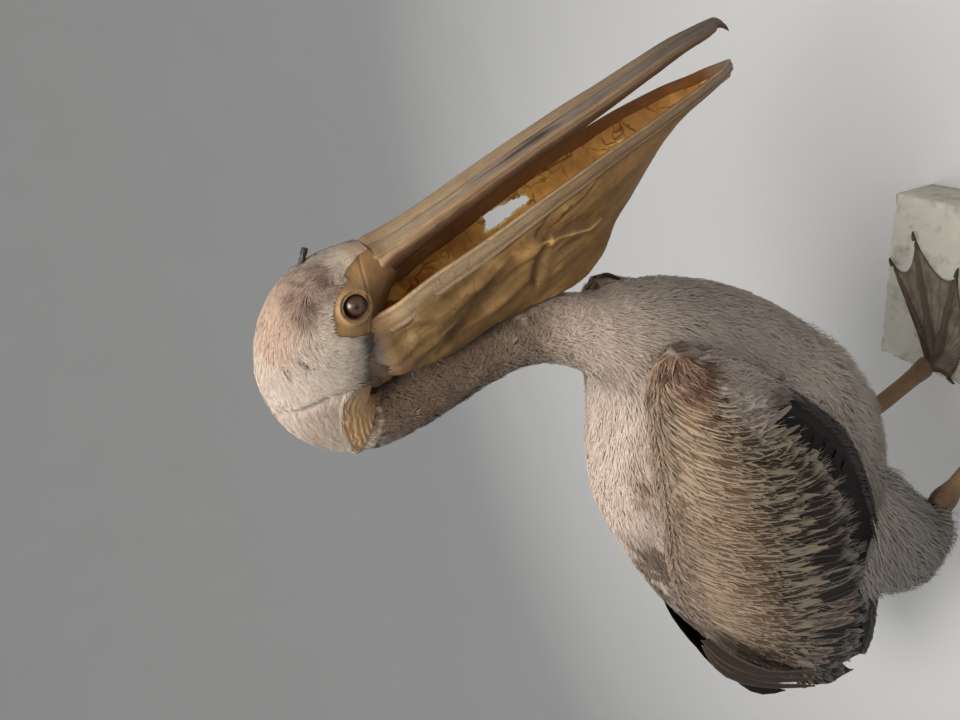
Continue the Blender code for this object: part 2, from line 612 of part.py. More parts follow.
def leg(side):
    """The bare leg, flattened from side to side, with a knuckle at the ankle."""
    ankle, heel = Vector(LEGS[side][0]), LEGS[side][1]
    foot_at = Vector((heel[0], heel[1], FLOOR + 0.0205 + GAP * 2))
    top = ankle + (ankle - foot_at).normalized() * 0.012
    axis = (top - foot_at).normalized()
    along_dir = Vector((0, 1, 0)) - axis * axis.y
    along_dir.normalize()
    side_dir = axis.cross(along_dir)
    rings = []
    for i in range(10):
        s = i / 9
        m = foot_at.lerp(top, s) + along_dir * (0.004 * math.sin(math.pi * s))
        k = 1.0 + 0.42 * math.exp(-(((s - 0.94) / 0.10) ** 2)) + 0.18 * math.exp(-((s / 0.12) ** 2))
        k *= 0.93
        if i == 0:
            rings.append([Vector((m.x + side_dir.x * SHANK_W * math.sin(2 * math.pi * j / 14) * 1.0, m.y + SHANK_D * 0.8 * math.cos(2 * math.pi * j / 14), m.z)) for j in range(14)])
            continue
        rings.append([m + along_dir * (SHANK_D * k * math.cos(2 * math.pi * j / 14)) + side_dir * (SHANK_W * k * math.sin(2 * math.pi * j / 14)) for j in range(14)])
    return loft(f"leg_{side}", rings, LEGM), top, axis


def thigh(side):
    """The feathered upper leg, from inside the belly's outline down to the ankle."""
    _, top, leg_axis = leg(side)
    hip = turned(THIGH_R[side])
    knee = top + leg_axis * GAP * 2
    bend = knee + leg_axis * 0.04
    rings, n = [], 9
    sizes = THIGH_SIZES
    for i in range(n + 1):
        s = i / n
        m = knee * (1 - s) ** 2 + bend * (2 * s * (1 - s)) + hip * s * s
        axis = ((bend - knee) * (1 - s) + (hip - bend) * s).normalized()
        along_dir = (Vector((0, 1, 0)) - axis * axis.y).normalized()
        side_dir = axis.cross(along_dir)
        w = along([(x, a) for x, a, _ in sizes], s)
        d = along([(x, b) for x, _, b in sizes], s)
        rings.append([m + along_dir * (d * math.cos(2 * math.pi * j / 18)) + side_dir * (w * math.sin(2 * math.pi * j / 18)) for j in range(18)])
    obj = loft(f"thigh_{side}", rings, BODY)
    cut(obj, inflated, wing(side, GAP))
    return obj


def build():
    for side in ("left", "right"):
        foot(side)
        thigh(side)


build()
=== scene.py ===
"""Looks of the mounted great white pelican: skin, coat, bill, pouch, feet, block, light and camera.

Metres, +Z up, the bird faces -Y, +X is its left. The tables of sizes are those of the solids.
"""

import json
import math

import bpy
import numpy as np
from mathutils import Matrix, Vector
from mathutils.bvhtree import BVHTree

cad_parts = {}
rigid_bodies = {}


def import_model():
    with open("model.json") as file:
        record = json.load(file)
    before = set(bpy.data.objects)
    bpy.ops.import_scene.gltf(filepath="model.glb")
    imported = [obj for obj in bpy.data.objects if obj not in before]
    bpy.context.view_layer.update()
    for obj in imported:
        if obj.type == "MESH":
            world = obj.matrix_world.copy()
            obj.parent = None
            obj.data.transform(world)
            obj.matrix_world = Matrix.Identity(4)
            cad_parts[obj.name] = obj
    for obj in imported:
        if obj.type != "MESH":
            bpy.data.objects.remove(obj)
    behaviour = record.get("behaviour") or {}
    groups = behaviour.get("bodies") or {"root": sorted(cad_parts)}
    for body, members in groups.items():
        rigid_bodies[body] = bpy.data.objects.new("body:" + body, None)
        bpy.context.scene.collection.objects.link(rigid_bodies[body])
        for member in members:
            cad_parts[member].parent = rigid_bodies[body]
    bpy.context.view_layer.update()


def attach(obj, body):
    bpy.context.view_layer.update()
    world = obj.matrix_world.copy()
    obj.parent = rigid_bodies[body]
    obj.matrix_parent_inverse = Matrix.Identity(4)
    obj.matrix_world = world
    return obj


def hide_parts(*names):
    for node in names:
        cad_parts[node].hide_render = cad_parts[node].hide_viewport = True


for old in list(bpy.data.objects):
    bpy.data.objects.remove(old, do_unlink=True)
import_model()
scene = bpy.context.scene
rng = np.random.default_rng(20)
DENSE = 1.0  # share of the coat's tufts

# ---------------------------------------------------------------- sizes, as in the solids
GAP = 0.0004
BLOCK_W, BLOCK_L, BLOCK_H = 0.290, 0.240, 0.065
TRUNK_YAW, TRUNK_PIVOT = math.radians(7.0), (0.0, 0.10)
TRUNK = (
    ((-0.080, 0.630), (-0.168, 0.610), 0.046, 0.00, 1.00),
    ((-0.054, 0.617), (-0.170, 0.578), 0.058, 0.02, 0.98),
    ((-0.012, 0.621), (-0.161, 0.528), 0.074, 0.03, 0.96),
    ((0.040, 0.626), (-0.138, 0.468), 0.089, 0.04, 0.94),
    ((0.095, 0.621), (-0.102, 0.408), 0.099, 0.05, 0.92),
    ((0.152, 0.601), (-0.056, 0.352), 0.104, 0.06, 0.92),
    ((0.208, 0.576), (0.000, 0.302), 0.104, 0.06, 0.92),
    ((0.264, 0.548), (0.062, 0.264), 0.098, 0.06, 0.92),
    ((0.318, 0.516), (0.132, 0.238), 0.088, 0.05, 0.94),
    ((0.368, 0.484), (0.208, 0.236), 0.075, 0.04, 0.96),
    ((0.412, 0.455), (0.283, 0.258), 0.060, 0.02, 1.00),
    ((0.446, 0.426), (0.345, 0.292), 0.044, 0.00, 1.00),
)
NECK = (
    ((-0.098, 0.654), (-0.170, 0.640), 0.040),
    ((-0.106, 0.686), (-0.168, 0.682), 0.0335),
    ((-0.099, 0.722), (-0.158, 0.726), 0.031),
    ((-0.086, 0.760), (-0.146, 0.768), 0.030),
    ((-0.074, 0.798), (-0.134, 0.808), 0.030),
    ((-0.067, 0.836), (-0.127, 0.840), 0.031),
)
HEAD = (
    ((-0.069, 0.872), (-0.130, 0.846), 0.0325),
    ((-0.082, 0.900), (-0.138, 0.842), 0.0355),
    ((-0.105, 0.922), (-0.147, 0.837), 0.0385),
    ((-0.139, 0.935), (-0.158, 0.832), 0.0400),
    ((-0.175, 0.936), (-0.171, 0.826), 0.0395),
    ((-0.213, 0.922), (-0.184, 0.820), 0.0375),
    ((-0.243, 0.896), (-0.198, 0.814), 0.0340),
    ((-0.257, 0.862), (-0.212, 0.806), 0.0310),
    ((-0.261, 0.826), (-0.226, 0.797), 0.0280),
)
EYE_R, EYE_AT = 0.0112, (0.0262, -0.2150, 0.8450)
CULMEN = ((-0.261, 0.826), (-0.277, 0.776), (-0.301, 0.718), (-0.328, 0.650), (-0.353, 0.580), (-0.375, 0.520), (-0.3875, 0.470))
BILL_H = ((0.0, 0.046), (0.08, 0.036), (0.2, 0.0310), (0.5, 0.0290), (0.75, 0.0215), (0.93, 0.0155), (1.0, 0.0120))
BILL_W = ((0.0, 0.0280), (0.08, 0.0270), (0.2, 0.0255), (0.45, 0.0240), (0.75, 0.0220), (0.9, 0.0200), (0.97, 0.0140), (1.0, 0.0070))
NAIL_L, NAIL_HOOK = 0.016, 0.015
JAW_ROOT, JAW_TIP = (-0.187, 0.830), (-0.345, 0.447)
JAW_SPREAD = ((0.0, 0.0360), (0.12, 0.0390), (0.3, 0.0405), (0.5, 0.0395), (0.7, 0.0335), (0.85, 0.0240), (0.94, 0.0140), (1.0, 0.0))
JAW_H = ((0.0, 0.0230), (0.15, 0.0200), (0.5, 0.0150), (0.85, 0.0110), (1.0, 0.0110))
JAW_T, JAW_BOW = 0.0060, -0.009
WING_T = ((0.0, 0.044), (0.1, 0.054), (0.5, 0.056), (0.75, 0.040), (1.0, 0.014))
WING_TOP = (
    (0.092, -0.137, 0.586), (0.083, -0.115, 0.605), (0.080, -0.058, 0.605), (0.084, 0.010, 0.597), (0.083, 0.090, 0.585),
    (0.068, 0.175, 0.565), (0.048, 0.270, 0.527), (0.036, 0.362, 0.473), (0.035, 0.443, 0.405), (0.044, 0.515, 0.322),
)
WING_LOW = (
    (0.084, -0.126, 0.556), (0.093, -0.107, 0.520), (0.101, -0.060, 0.460), (0.107, 0.010, 0.388), (0.110, 0.102, 0.338),
    (0.108, 0.197, 0.300), (0.101, 0.291, 0.271), (0.090, 0.386, 0.244), (0.076, 0.461, 0.221), (0.060, 0.523, 0.205),
)
WING_OUT = ((0.0, 0.098), (0.12, 0.118), (0.35, 0.131), (0.6, 0.122), (0.8, 0.098), (1.0, 0.064))
WING_SHIFT = {"right": (0.0, 0.0, 0.0), "left": (0.0, -0.004, -0.010)}
WING_LIFT = {"right": 0.0, "left": 0.045}
TAIL_TIP, TAIL_HALF = (0.560, 0.222), 0.043
LEGS = {
    "left": ((0.046, 0.146, 0.210), (0.048, 0.100), (0.104, -0.064), (0.134, -0.020), (0.036, -0.030), (0.026, 0.114)),
    "right": ((-0.100, 0.180, 0.214), (-0.086, 0.096), (-0.108, -0.066), (-0.136, -0.016), (-0.052, -0.034), (-0.062, 0.114)),
}
SHANK_W, SHANK_D = 0.0080, 0.0128
THIGH_R = {"left": (0.050, 0.140, 0.330), "right": (-0.070, 0.170, 0.345)}
THIGH_SIZES = ((0.0, 0.0185, 0.0190), (0.18, 0.030, 0.044), (0.4, 0.040, 0.084), (0.7, 0.044, 0.116), (1.0, 0.040, 0.124))
FLOOR = BLOCK_H + GAP


# ---------------------------------------------------------------- numbers and curves
def smooth(lo, hi, x):
    u = np.clip((np.asarray(x, float) - lo) / (hi - lo), 0, 1)
    return u * u * (3 - 2 * u)


def lerp(a, b, u):
    return np.asarray(a) + (np.asarray(b) - np.asarray(a)) * u


def unit(v):
    return v / np.maximum(np.linalg.norm(v, axis=-1, keepdims=True), 1e-12)


def curve(points, t):
    """Smooth curve through evenly numbered points, at an array of places 0..1."""
    p = np.asarray(points, float)
    n = len(p) - 1
    x = np.clip(np.asarray(t, float), 0, 1) * n
    i = np.minimum(x.astype(int), n - 1)
    u = (x - i)[..., None]
    a, b, c, d = (p[np.clip(i + k, 0, n)] for k in (-1, 0, 1, 2))
    return 0.5 * (2 * b + (c - a) * u + (2 * a - 5 * b + 4 * c - d) * u * u + (3 * b - a - 3 * c + d) * u**3)


def along(table, t):
    xs, ys = (np.array(v, float) for v in zip(*table))
    t = np.asarray(t, float)
    i = np.clip(np.searchsorted(xs, t) - 1, 0, len(xs) - 2)
    u = np.clip((t - xs[i]) / (xs[i + 1] - xs[i]), 0, 1)
    u = u * u * (3 - 2 * u) * 0.5 + u * 0.5
    return ys[i] + (ys[i + 1] - ys[i]) * u


def turned(p, by=TRUNK_YAW):
    p = np.array(p, float)
    x, y = p[..., 0] - TRUNK_PIVOT[0], p[..., 1] - TRUNK_PIVOT[1]
    c, s = np.cos(by), np.sin(by)
    return np.stack([TRUNK_PIVOT[0] + x * c + y * s, TRUNK_PIVOT[1] - x * s + y * c, p[..., 2]], -1)


def unturned(p):
    return turned(p, -TRUNK_YAW)


def hash3(p, seed=0):
    """Even numbers 0..1 from whole-number lattice points."""
    q = (p[..., 0] * 127.1 + p[..., 1] * 311.7 + p[..., 2] * 74.7 + seed * 19.19)
    return np.modf(np.abs(np.sin(q) * 43758.5453))[0]


def noise(p, scale, seed=0):
    """Smooth value noise 0..1 of points."""
    q = np.asarray(p, float) * scale
    i = np.floor(q)
    f = q - i
    f = f * f * (3 - 2 * f)
    out = 0
    for dx in (0, 1):
        for dy in (0, 1):
            for dz in (0, 1):
                w = (f[..., 0] if dx else 1 - f[..., 0]) * (f[..., 1] if dy else 1 - f[..., 1]) * (f[..., 2] if dz else 1 - f[..., 2])
                out = out + w * hash3(i + np.array([dx, dy, dz]), seed)
    return out


def fbm(p, scale, seed=0, octaves=3):
    total, amp, out = 0, 1.0, 0
    for k in range(octaves):
        out = out + amp * noise(p, scale * 2**k, seed + 7 * k)
        total += amp
        amp *= 0.5
    return out / total


def line_distance(q, pts):
    """Signed distance of 2-D points to an open line (left of its run is positive) and the place 0..1 along it."""
    pts = np.asarray(pts, float)
    best, sign, place = np.full(q.shape[:-1], 1e9), np.ones(q.shape[:-1]), np.zeros(q.shape[:-1])
    n = len(pts) - 1
    for i in range(n):
        a, b = pts[i], pts[i + 1]
        ab = b - a
        u = np.clip(((q - a) @ ab) / (ab @ ab), 0, 1)
        r = q - (a + u[..., None] * ab)
        d = np.hypot(r[..., 0], r[..., 1])
        s = np.sign(ab[0] * (q[..., 1] - a[1]) - ab[1] * (q[..., 0] - a[0]))
        near = d < best
        best, sign, place = np.where(near, d, best), np.where(near, s, sign), np.where(near, (i + u) / n, place)
    return best * np.where(sign == 0, 1, sign), place


def region(q, pts):
    """Signed distance of 2-D points to a closed outline, positive inside."""
    pts = np.asarray(pts, float)
    best, inside = np.full(q.shape[:-1], 1e9), np.zeros(q.shape[:-1], bool)
    for a, b in zip(pts, np.roll(pts, -1, 0)):
        ab = b - a
        u = np.clip(((q - a) @ ab) / (ab @ ab), 0, 1)
        r = q - (a + u[..., None] * ab)
        best = np.minimum(best, np.hypot(r[..., 0], r[..., 1]))
        cross = (a[1] > q[..., 1]) != (b[1] > q[..., 1])
        at = a[0] + (q[..., 1] - a[1]) / (b[1] - a[1] if b[1] != a[1] else 1e-12) * ab[0]
        inside ^= cross & (q[..., 0] < at)
    return np.where(inside, best, -best)


# ---------------------------------------------------------------- meshes
def within(p):
    """Feather tips past the end of the bird are gathered up to it."""
    p = np.array(p, float)
    over = np.maximum(p[..., 1] - 0.536, 0)
    p[..., 1] -= over - 0.019 * (1 - np.exp(-over / 0.019))
    return p


def mesh_of(name, verts, quads=None, tris=None, smooth_shade=True):
    verts = np.asarray(verts, np.float32).reshape(-1, 3)
    loops, starts, totals, at = [], [], [], 0
    for faces in (quads, tris):
        if faces is None or not len(faces):
            continue
        f = np.asarray(faces, np.int32)
        loops.append(f.ravel())
        starts.append(at + np.arange(len(f), dtype=np.int32) * f.shape[1])
        totals.append(np.full(len(f), f.shape[1], np.int32))
        at += f.size
    loops, starts, totals = (np.concatenate(v) for v in (loops, starts, totals))
    me = bpy.data.meshes.new(name)
    me.vertices.add(len(verts))
    me.vertices.foreach_set("co", verts.ravel())
    me.loops.add(len(loops))
    me.loops.foreach_set("vertex_index", loops)
    me.polygons.add(len(starts))
    me.polygons.foreach_set("loop_start", starts)
    me.polygons.foreach_set("loop_total", totals)
    me.update(calc_edges=True)
    me.polygons.foreach_set("use_smooth", np.full(len(starts), smooth_shade))
    return me


def paint(me, colours, name="tint"):
    c = np.asarray(colours, np.float32)
    c = np.concatenate([np.clip(c, 0, 1), np.ones((len(c), 1), np.float32)], 1)
    layer = me.color_attributes.new(name, "FLOAT_COLOR", "POINT")
    layer.data.foreach_set("color", c.ravel())
    me.color_attributes.active_color = layer


def note(me, name, values):
    """A number or a vector per point, for the material."""
    v = np.asarray(values, np.float32)
    if v.ndim == 1:
        me.attributes.new(name, "FLOAT", "POINT").data.foreach_set("value", v)
    else:
        me.attributes.new(name, "FLOAT_VECTOR", "POINT").data.foreach_set("vector", v.ravel())


def uv_map(me, uv):
    """uv per point."""
    index = np.empty(len(me.loops), np.int32)
    me.loops.foreach_get("vertex_index", index)
    layer = me.uv_layers.new(name="OFBake")
    layer.data.foreach_set("uv", np.asarray(uv, np.float32)[index].ravel())


def piece(name, me, mat, replaces=()):
    ob = bpy.data.objects.new(name, me)
    scene.collection.objects.link(ob)
    if mat is not None:
        me.materials.clear()
        me.materials.append(mat)
        me.polygons.foreach_set("material_index", np.zeros(len(me.polygons), np.int32))
    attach(ob, "root")
    if replaces:
        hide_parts(*replaces)
    return ob


def grid_faces(nv, nu, wrap=False, base=0):
    j = np.arange(nv - 1)[:, None]
    k = np.arange(nu if wrap else nu - 1)[None, :]
    k2 = (k + 1) % nu
    a, b, c, d = j * nu + k, j * nu + k2, (j + 1) * nu + k2, (j + 1) * nu + k
    return np.stack([a, b, c, d], -1).reshape(-1, 4) + base


def grid_normals(g, wrap=True):
    du = (np.roll(g, -1, 1) - np.roll(g, 1, 1)) if wrap else np.gradient(g, axis=1)
    dv = np.gradient(g, axis=0)
    return unit(np.cross(du, dv))


def closed_tube(name, grid, outward=True):
    """A closed mesh from rings, with a fan at each end."""
    nv, nu = grid.shape[:2]
    verts = np.concatenate([grid.reshape(-1, 3), grid[0].mean(0)[None], grid[-1].mean(0)[None]])
    quads = grid_faces(nv, nu, True)
    k = np.arange(nu)
    k2 = (k + 1) % nu
    first, last = nv * nu, nv * nu + 1
    tris = np.concatenate([np.stack([np.full(nu, first), k2, k], -1), np.stack([np.full(nu, last), (nv - 1) * nu + k, (nv - 1) * nu + k2], -1)])
    if not outward:
        quads, tris = quads[:, ::-1], tris[:, ::-1]
    return mesh_of(name, verts, quads, tris)


def tree_of(me):
    v = np.empty(len(me.vertices) * 3, np.float32)
    me.vertices.foreach_get("co", v)
    return BVHTree.FromPolygons(v.reshape(-1, 3).tolist(), [p.vertices[:] for p in me.polygons])


def nearest(tree, pts):
    p, n, d = np.empty((len(pts), 3)), np.empty((len(pts), 3)), np.empty(len(pts))
    for i, q in enumerate(pts):
        a, b, _, c = tree.find_nearest(q)
        p[i], n[i], d[i] = a, b, c
    return p, n, d


def srgb(r, g, b):
    c = np.array((r, g, b), float) / 255
    return np.where(c <= 0.04045, c / 12.92, ((c + 0.055) / 1.055) ** 2.4)


# ---------------------------------------------------------------- the body's outline as one tube, tail to bill
ROWS = [(*d, *v, w, e, r, TRUNK_YAW) for d, v, w, e, r in TRUNK[::-1]]
for number, (d, v, w) in enumerate(NECK + HEAD, 1):
    ROWS.append((*d, *v, w, 0.10 * min(max((number - 6) / 3, 0), 1), 1.0, TRUNK_YAW * max(0.0, 1 - number / 2.5)))
ROWS = np.array(ROWS)
NECK_AT, HEAD_AT, END_AT = 11.0, 18.0, len(ROWS) - 1.0


def body(t, angle):
    """Points of the outline: t numbers the rows, angle 0 is the upper point and 90 degrees the left side."""
    r = curve(ROWS, np.asarray(t) / END_AT)
    up, low = r[..., 0:2], r[..., 2:4]
    mid, q = (up + low) / 2, (up - low) / 2
    c, s = np.cos(angle), np.sin(angle)
    x = r[..., 4] * np.sign(s) * np.abs(s) ** r[..., 6] * (1 - r[..., 5] * c)
    y, z = mid[..., 0] + q[..., 0] * c, mid[..., 1] + q[..., 1] * c
    yaw = r[..., 7]
    px, py = x - TRUNK_PIVOT[0], y - TRUNK_PIVOT[1]
    return np.stack([TRUNK_PIVOT[0] + px * np.cos(yaw) + py * np.sin(yaw), TRUNK_PIVOT[1] - px * np.sin(yaw) + py * np.cos(yaw), z], -1)


# ---------------------------------------------------------------- places on the head, as (y, z) seen from its side
BARE = ((-0.1923, 0.8615), (-0.1977, 0.8722), (-0.2131, 0.8700), (-0.2255, 0.8630), (-0.2354, 0.8533), (-0.2457, 0.8435), (-0.2524, 0.8327),
        (-0.2580, 0.8150), (-0.2620, 0.8000), (-0.2300, 0.7800), (-0.1500, 0.7800), (-0.1340, 0.8040), (-0.1400, 0.8230), (-0.1512, 0.8232), (-0.1690, 0.8215), (-0.1830, 0.8240), (-0.1868, 0.8330), (-0.1885, 0.8480))
CHEEK_REAR = ((-0.1340, 0.9300), (-0.1391, 0.9092), (-0.1432, 0.8963), (-0.1469, 0.8830), (-0.1460, 0.8606), (-0.1400, 0.8380), (-0.1380, 0.8250))
FLAP = ((-0.0700, 0.8720), (-0.0835, 0.8756), (-0.1087, 0.8797), (-0.1300, 0.8777), (-0.1426, 0.8707), (-0.1480, 0.8558), (-0.1440, 0.8380), (-0.1360, 0.8100),
        (-0.1313, 0.8146), (-0.1269, 0.8280), (-0.1201, 0.8429), (-0.1066, 0.8491), (-0.0821, 0.8632), (-0.0700, 0.8680))
BAND = ((-0.0700, 0.8680), (-0.0821, 0.8632), (-0.1066, 0.8491), (-0.1201, 0.8429), (-0.1250, 0.8330), (-0.1171, 0.8390), (-0.1035, 0.8390), (-0.0850, 0.8480), (-0.0680, 0.8560))
LID_LINE = ((-0.1880, 0.8395), (-0.2002, 0.8369), (-0.2157, 0.8338), (-0.2313, 0.8324), (-0.2452, 0.8329), (-0.2540, 0.8320))
GAPE = ((-0.1900, 0.8330), (-0.1955, 0.8316), (-0.2053, 0.8236), (-0.2234, 0.8101))
HOLES = ((-0.1755, 0.9129, 0.0034), (-0.1806, 0.8983, 0.0038), (-0.1799, 0.9217, 0.0016))
SMUDGE = ((-0.1490, 0.8520), (-0.1560, 0.8480), (-0.1640, 0.8450), (-0.1740, 0.8430), (-0.1850, 0.8410))


def head_fields(p):
    """Signed distances, in metres, that shape and colour the head's two sides."""
    q = p[..., 1:3]
    side = smooth(0.006, 0.014, np.abs(p[..., 0]))
    f = {"bare": region(q, BARE), "flap": region(q, FLAP), "band": region(q, BAND)}
    d, _ = line_distance(q, CHEEK_REAR)
    f["cheek"] = -d  # positive on the cheek, in front of the fold
    f["side"] = side
    f["eye"] = np.hypot(q[..., 0] - EYE_AT[1], q[..., 1] - EYE_AT[2])
    f["in_head"] = smooth(0.845, 0.86, q[..., 1]) + smooth(-0.128, -0.136, q[..., 0]) * smooth(0.79, 0.80, q[..., 1])
    f["in_head"] = np.clip(f["in_head"], 0, 1)
    return f


def marks(p):
    """The colour of the plumage at points of the bird, in linear light, with painted shade low on the body, beside the
    wings and behind the cheek. Skin and coat share it.
    """
    p = np.asarray(p, float)
    u = unturned(p)
    x, y, z = np.abs(u[..., 0]), u[..., 1], u[..., 2]
    broad, fine = fbm(p, 22, 3)[..., None], fbm(p, 90, 5)[..., None]
    c = np.broadcast_to(srgb(208, 192, 177), p.shape).copy()
    back = smooth(0.0, 0.10, z - (0.60 - 0.42 * np.clip(y - 0.02, 0, 1)) + 0.055)[..., None]
    c = lerp(c, srgb(222, 201, 184), back)
    # greyer and darker low down: partly the belly's own dusty grey, partly painted shade, as the light comes from above
    c = lerp(c, srgb(164, 154, 143), (smooth(0.50, 0.36, z) * smooth(-0.16, 0.02, y))[..., None] * 0.9)
    c = lerp(c, srgb(146, 140, 131), (smooth(0.38, 0.29, z))[..., None])
    c = c * (0.90 + 0.20 * fbm(p * np.array([1.0, 0.7, 1.4]), 42, 19)[..., None])
    rear = (smooth(0.22, 0.34, y) * smooth(0.40, 0.46, z))[..., None]
    c = lerp(c, srgb(126, 106, 88), rear * 0.8)
    # brown, mottled feathers beside the upper edge of each wing
    patch = smooth(0.006, 0.040, x + 0.20 * (y - 0.12)) * smooth(0.075, 0.15, y + 0.03 * (broad[..., 0] - 0.5)) * smooth(0.44, 0.49, z)
    patch = np.clip(patch[..., None] * (0.22 + 1.1 * smooth(0.34, 0.58, fbm(p, 62, 11)[..., None])), 0, 1)
    c = lerp(c, srgb(104, 82, 62), patch * 0.9)
    warm = np.exp(-(((y - 0.012) / 0.055) ** 2) - (((z - 0.600) / 0.022) ** 2)) * smooth(0.030, 0.052, x)
    streaky = smooth(0.36, 0.60, fbm(np.stack([u[..., 0] * 60, y * 50 + z * 30, z * 90 - y * 60], -1), 1.0, 21))
    c = lerp(c, srgb(142, 112, 88), np.clip(warm * (0.20 + 0.75 * streaky), 0, 1)[..., None])
    strip = smooth(0.020, 0.0, np.abs(y + 0.01 - 0.8 * (0.585 - z)) ) * smooth(0.045, 0.06, x) * smooth(0.56, 0.58, z)
    c = lerp(c, srgb(165, 132, 108), strip[..., None] * 0.6)
    # the neck
    px, py, pz = np.abs(p[..., 0]), p[..., 1], p[..., 2]
    neck = smooth(0.625, 0.690, pz + 0.15 * (py + 0.12) + 0.03 * (broad[..., 0] - 0.5)) * smooth(-0.02, -0.05, py)
    nc = lerp(srgb(128, 110, 93), srgb(114, 94, 77), smooth(0.68, 0.77, pz)[..., None])
    nc = lerp(nc, srgb(140, 118, 102), (smooth(0.80, 0.86, pz) * smooth(-0.11, -0.07, py))[..., None])
    nc = nc * (0.80 + 0.40 * fbm(p, 130, 13)[..., None])
    nc = lerp(nc, srgb(182, 160, 144), smooth(0.56, 0.70, fbm(p, 60, 15))[..., None] * 0.6)
    c = lerp(c, nc, neck[..., None])
    base = smooth(0.60, 0.64, pz) * smooth(-0.06, -0.10, py) * (1 - neck)
    c = lerp(c, srgb(186, 167, 150), base[..., None] * 0.55)
    # painted shade: the breast is darker low down, where less of the light from above reaches it, and beside the wings,
    # which shade it
    c = c * (1 - 0.34 * smooth(-0.03, -0.10, y) * smooth(0.68, 0.57, z))[..., None]
    c = c * (1 - 0.30 * smooth(0.070, 0.105, x) * smooth(0.60, 0.52, z) * smooth(-0.16, -0.07, y))[..., None]
    # the head
    f = head_fields(p)
    head = f["in_head"] * smooth(-0.02, -0.05, py)
    cream = lerp(srgb(212, 198, 178), srgb(212, 195, 180), smooth(0.86, 0.92, pz)[..., None])
    # darker behind the cheek's rear fold: partly parted brown feathers, partly painted shade under the cheek
    cream = lerp(cream, srgb(186, 166, 150), (smooth(0.004, -0.006, f["cheek"]) * f["side"] * smooth(0.925, 0.905, pz) * smooth(-0.082, -0.10, py))[..., None] * 0.85)
    q = p[..., 1:3]

    def spot(cy, cz, ry, rz):
        return np.exp(-(((q[..., 0] - cy) / ry) ** 2 + ((q[..., 1] - cz) / rz) ** 2))

    wash = np.clip(spot(-0.216, 0.905, 0.022, 0.020) + spot(-0.196, 0.918, 0.016, 0.012) * 0.8 + spot(-0.236, 0.893, 0.016, 0.012), 0, 1) * smooth(0.0, 0.012, px + 0.008)
    cream = lerp(cream, srgb(190, 150, 122), (wash * (0.25 + 0.5 * broad[..., 0]))[..., None])
    dark = np.clip(spot(-0.224, 0.888, 0.014, 0.010) + spot(-0.240, 0.876, 0.012, 0.014) + spot(-0.247, 0.860, 0.009, 0.012) * 0.9 + spot(-0.234, 0.868, 0.012, 0.009) * 0.8, 0, 1)
    strand = fbm(np.stack([p[..., 0] * 260, p[..., 1] * 60 + p[..., 2] * 210, p[..., 2] * 40], -1), 1.0, 17)
    cream = lerp(cream, srgb(158, 128, 112), (dark * 0.75)[..., None])
    cream = lerp(cream, srgb(94, 73, 62), np.clip(dark * (0.10 + 0.75 * smooth(0.30, 0.66, strand)), 0, 0.8)[..., None])
    strip = smooth(0.845, 0.825, pz) * smooth(-0.235, -0.248, py)
    cream = lerp(cream, srgb(190, 155, 128), strip[..., None] * 0.7)
    smudge, _ = line_distance(q, SMUDGE)
    cream = lerp(cream, srgb(140, 136, 130), (smooth(0.026, 0.004, np.abs(smudge)) * f["side"])[..., None] * 0.55)
    cream = lerp(cream, srgb(74, 70, 68), (smooth(0.0135, 0.0030, np.abs(smudge) + 0.009 * (fine[..., 0] - 0.5)) * f["side"])[..., None] * 0.9)
    for hy, hz, hr in HOLES:
        d = np.hypot(q[..., 0] - hy, q[..., 1] - hz) + 0.0025 * (fine[..., 0] - 0.5)
        cream = lerp(cream, srgb(52, 40, 32), (smooth(hr * 1.25, hr * 0.6, d) * f["side"] * (p[..., 0] < 0.012))[..., None])
    c = lerp(c, cream, head[..., None])
    c = c * (0.90 + 0.20 * broad) * (0.94 + 0.12 * fine)
    return np.clip(c, 0, 1)


BARE_SKIN = {
    "orbit": srgb(148, 115, 75), "ring": srgb(174, 144, 106), "low": srgb(118, 86, 54), "root": srgb(156, 112, 80),
    "flap": srgb(178, 144, 104), "band": srgb(196, 172, 142), "throat": srgb(164, 126, 84),
}


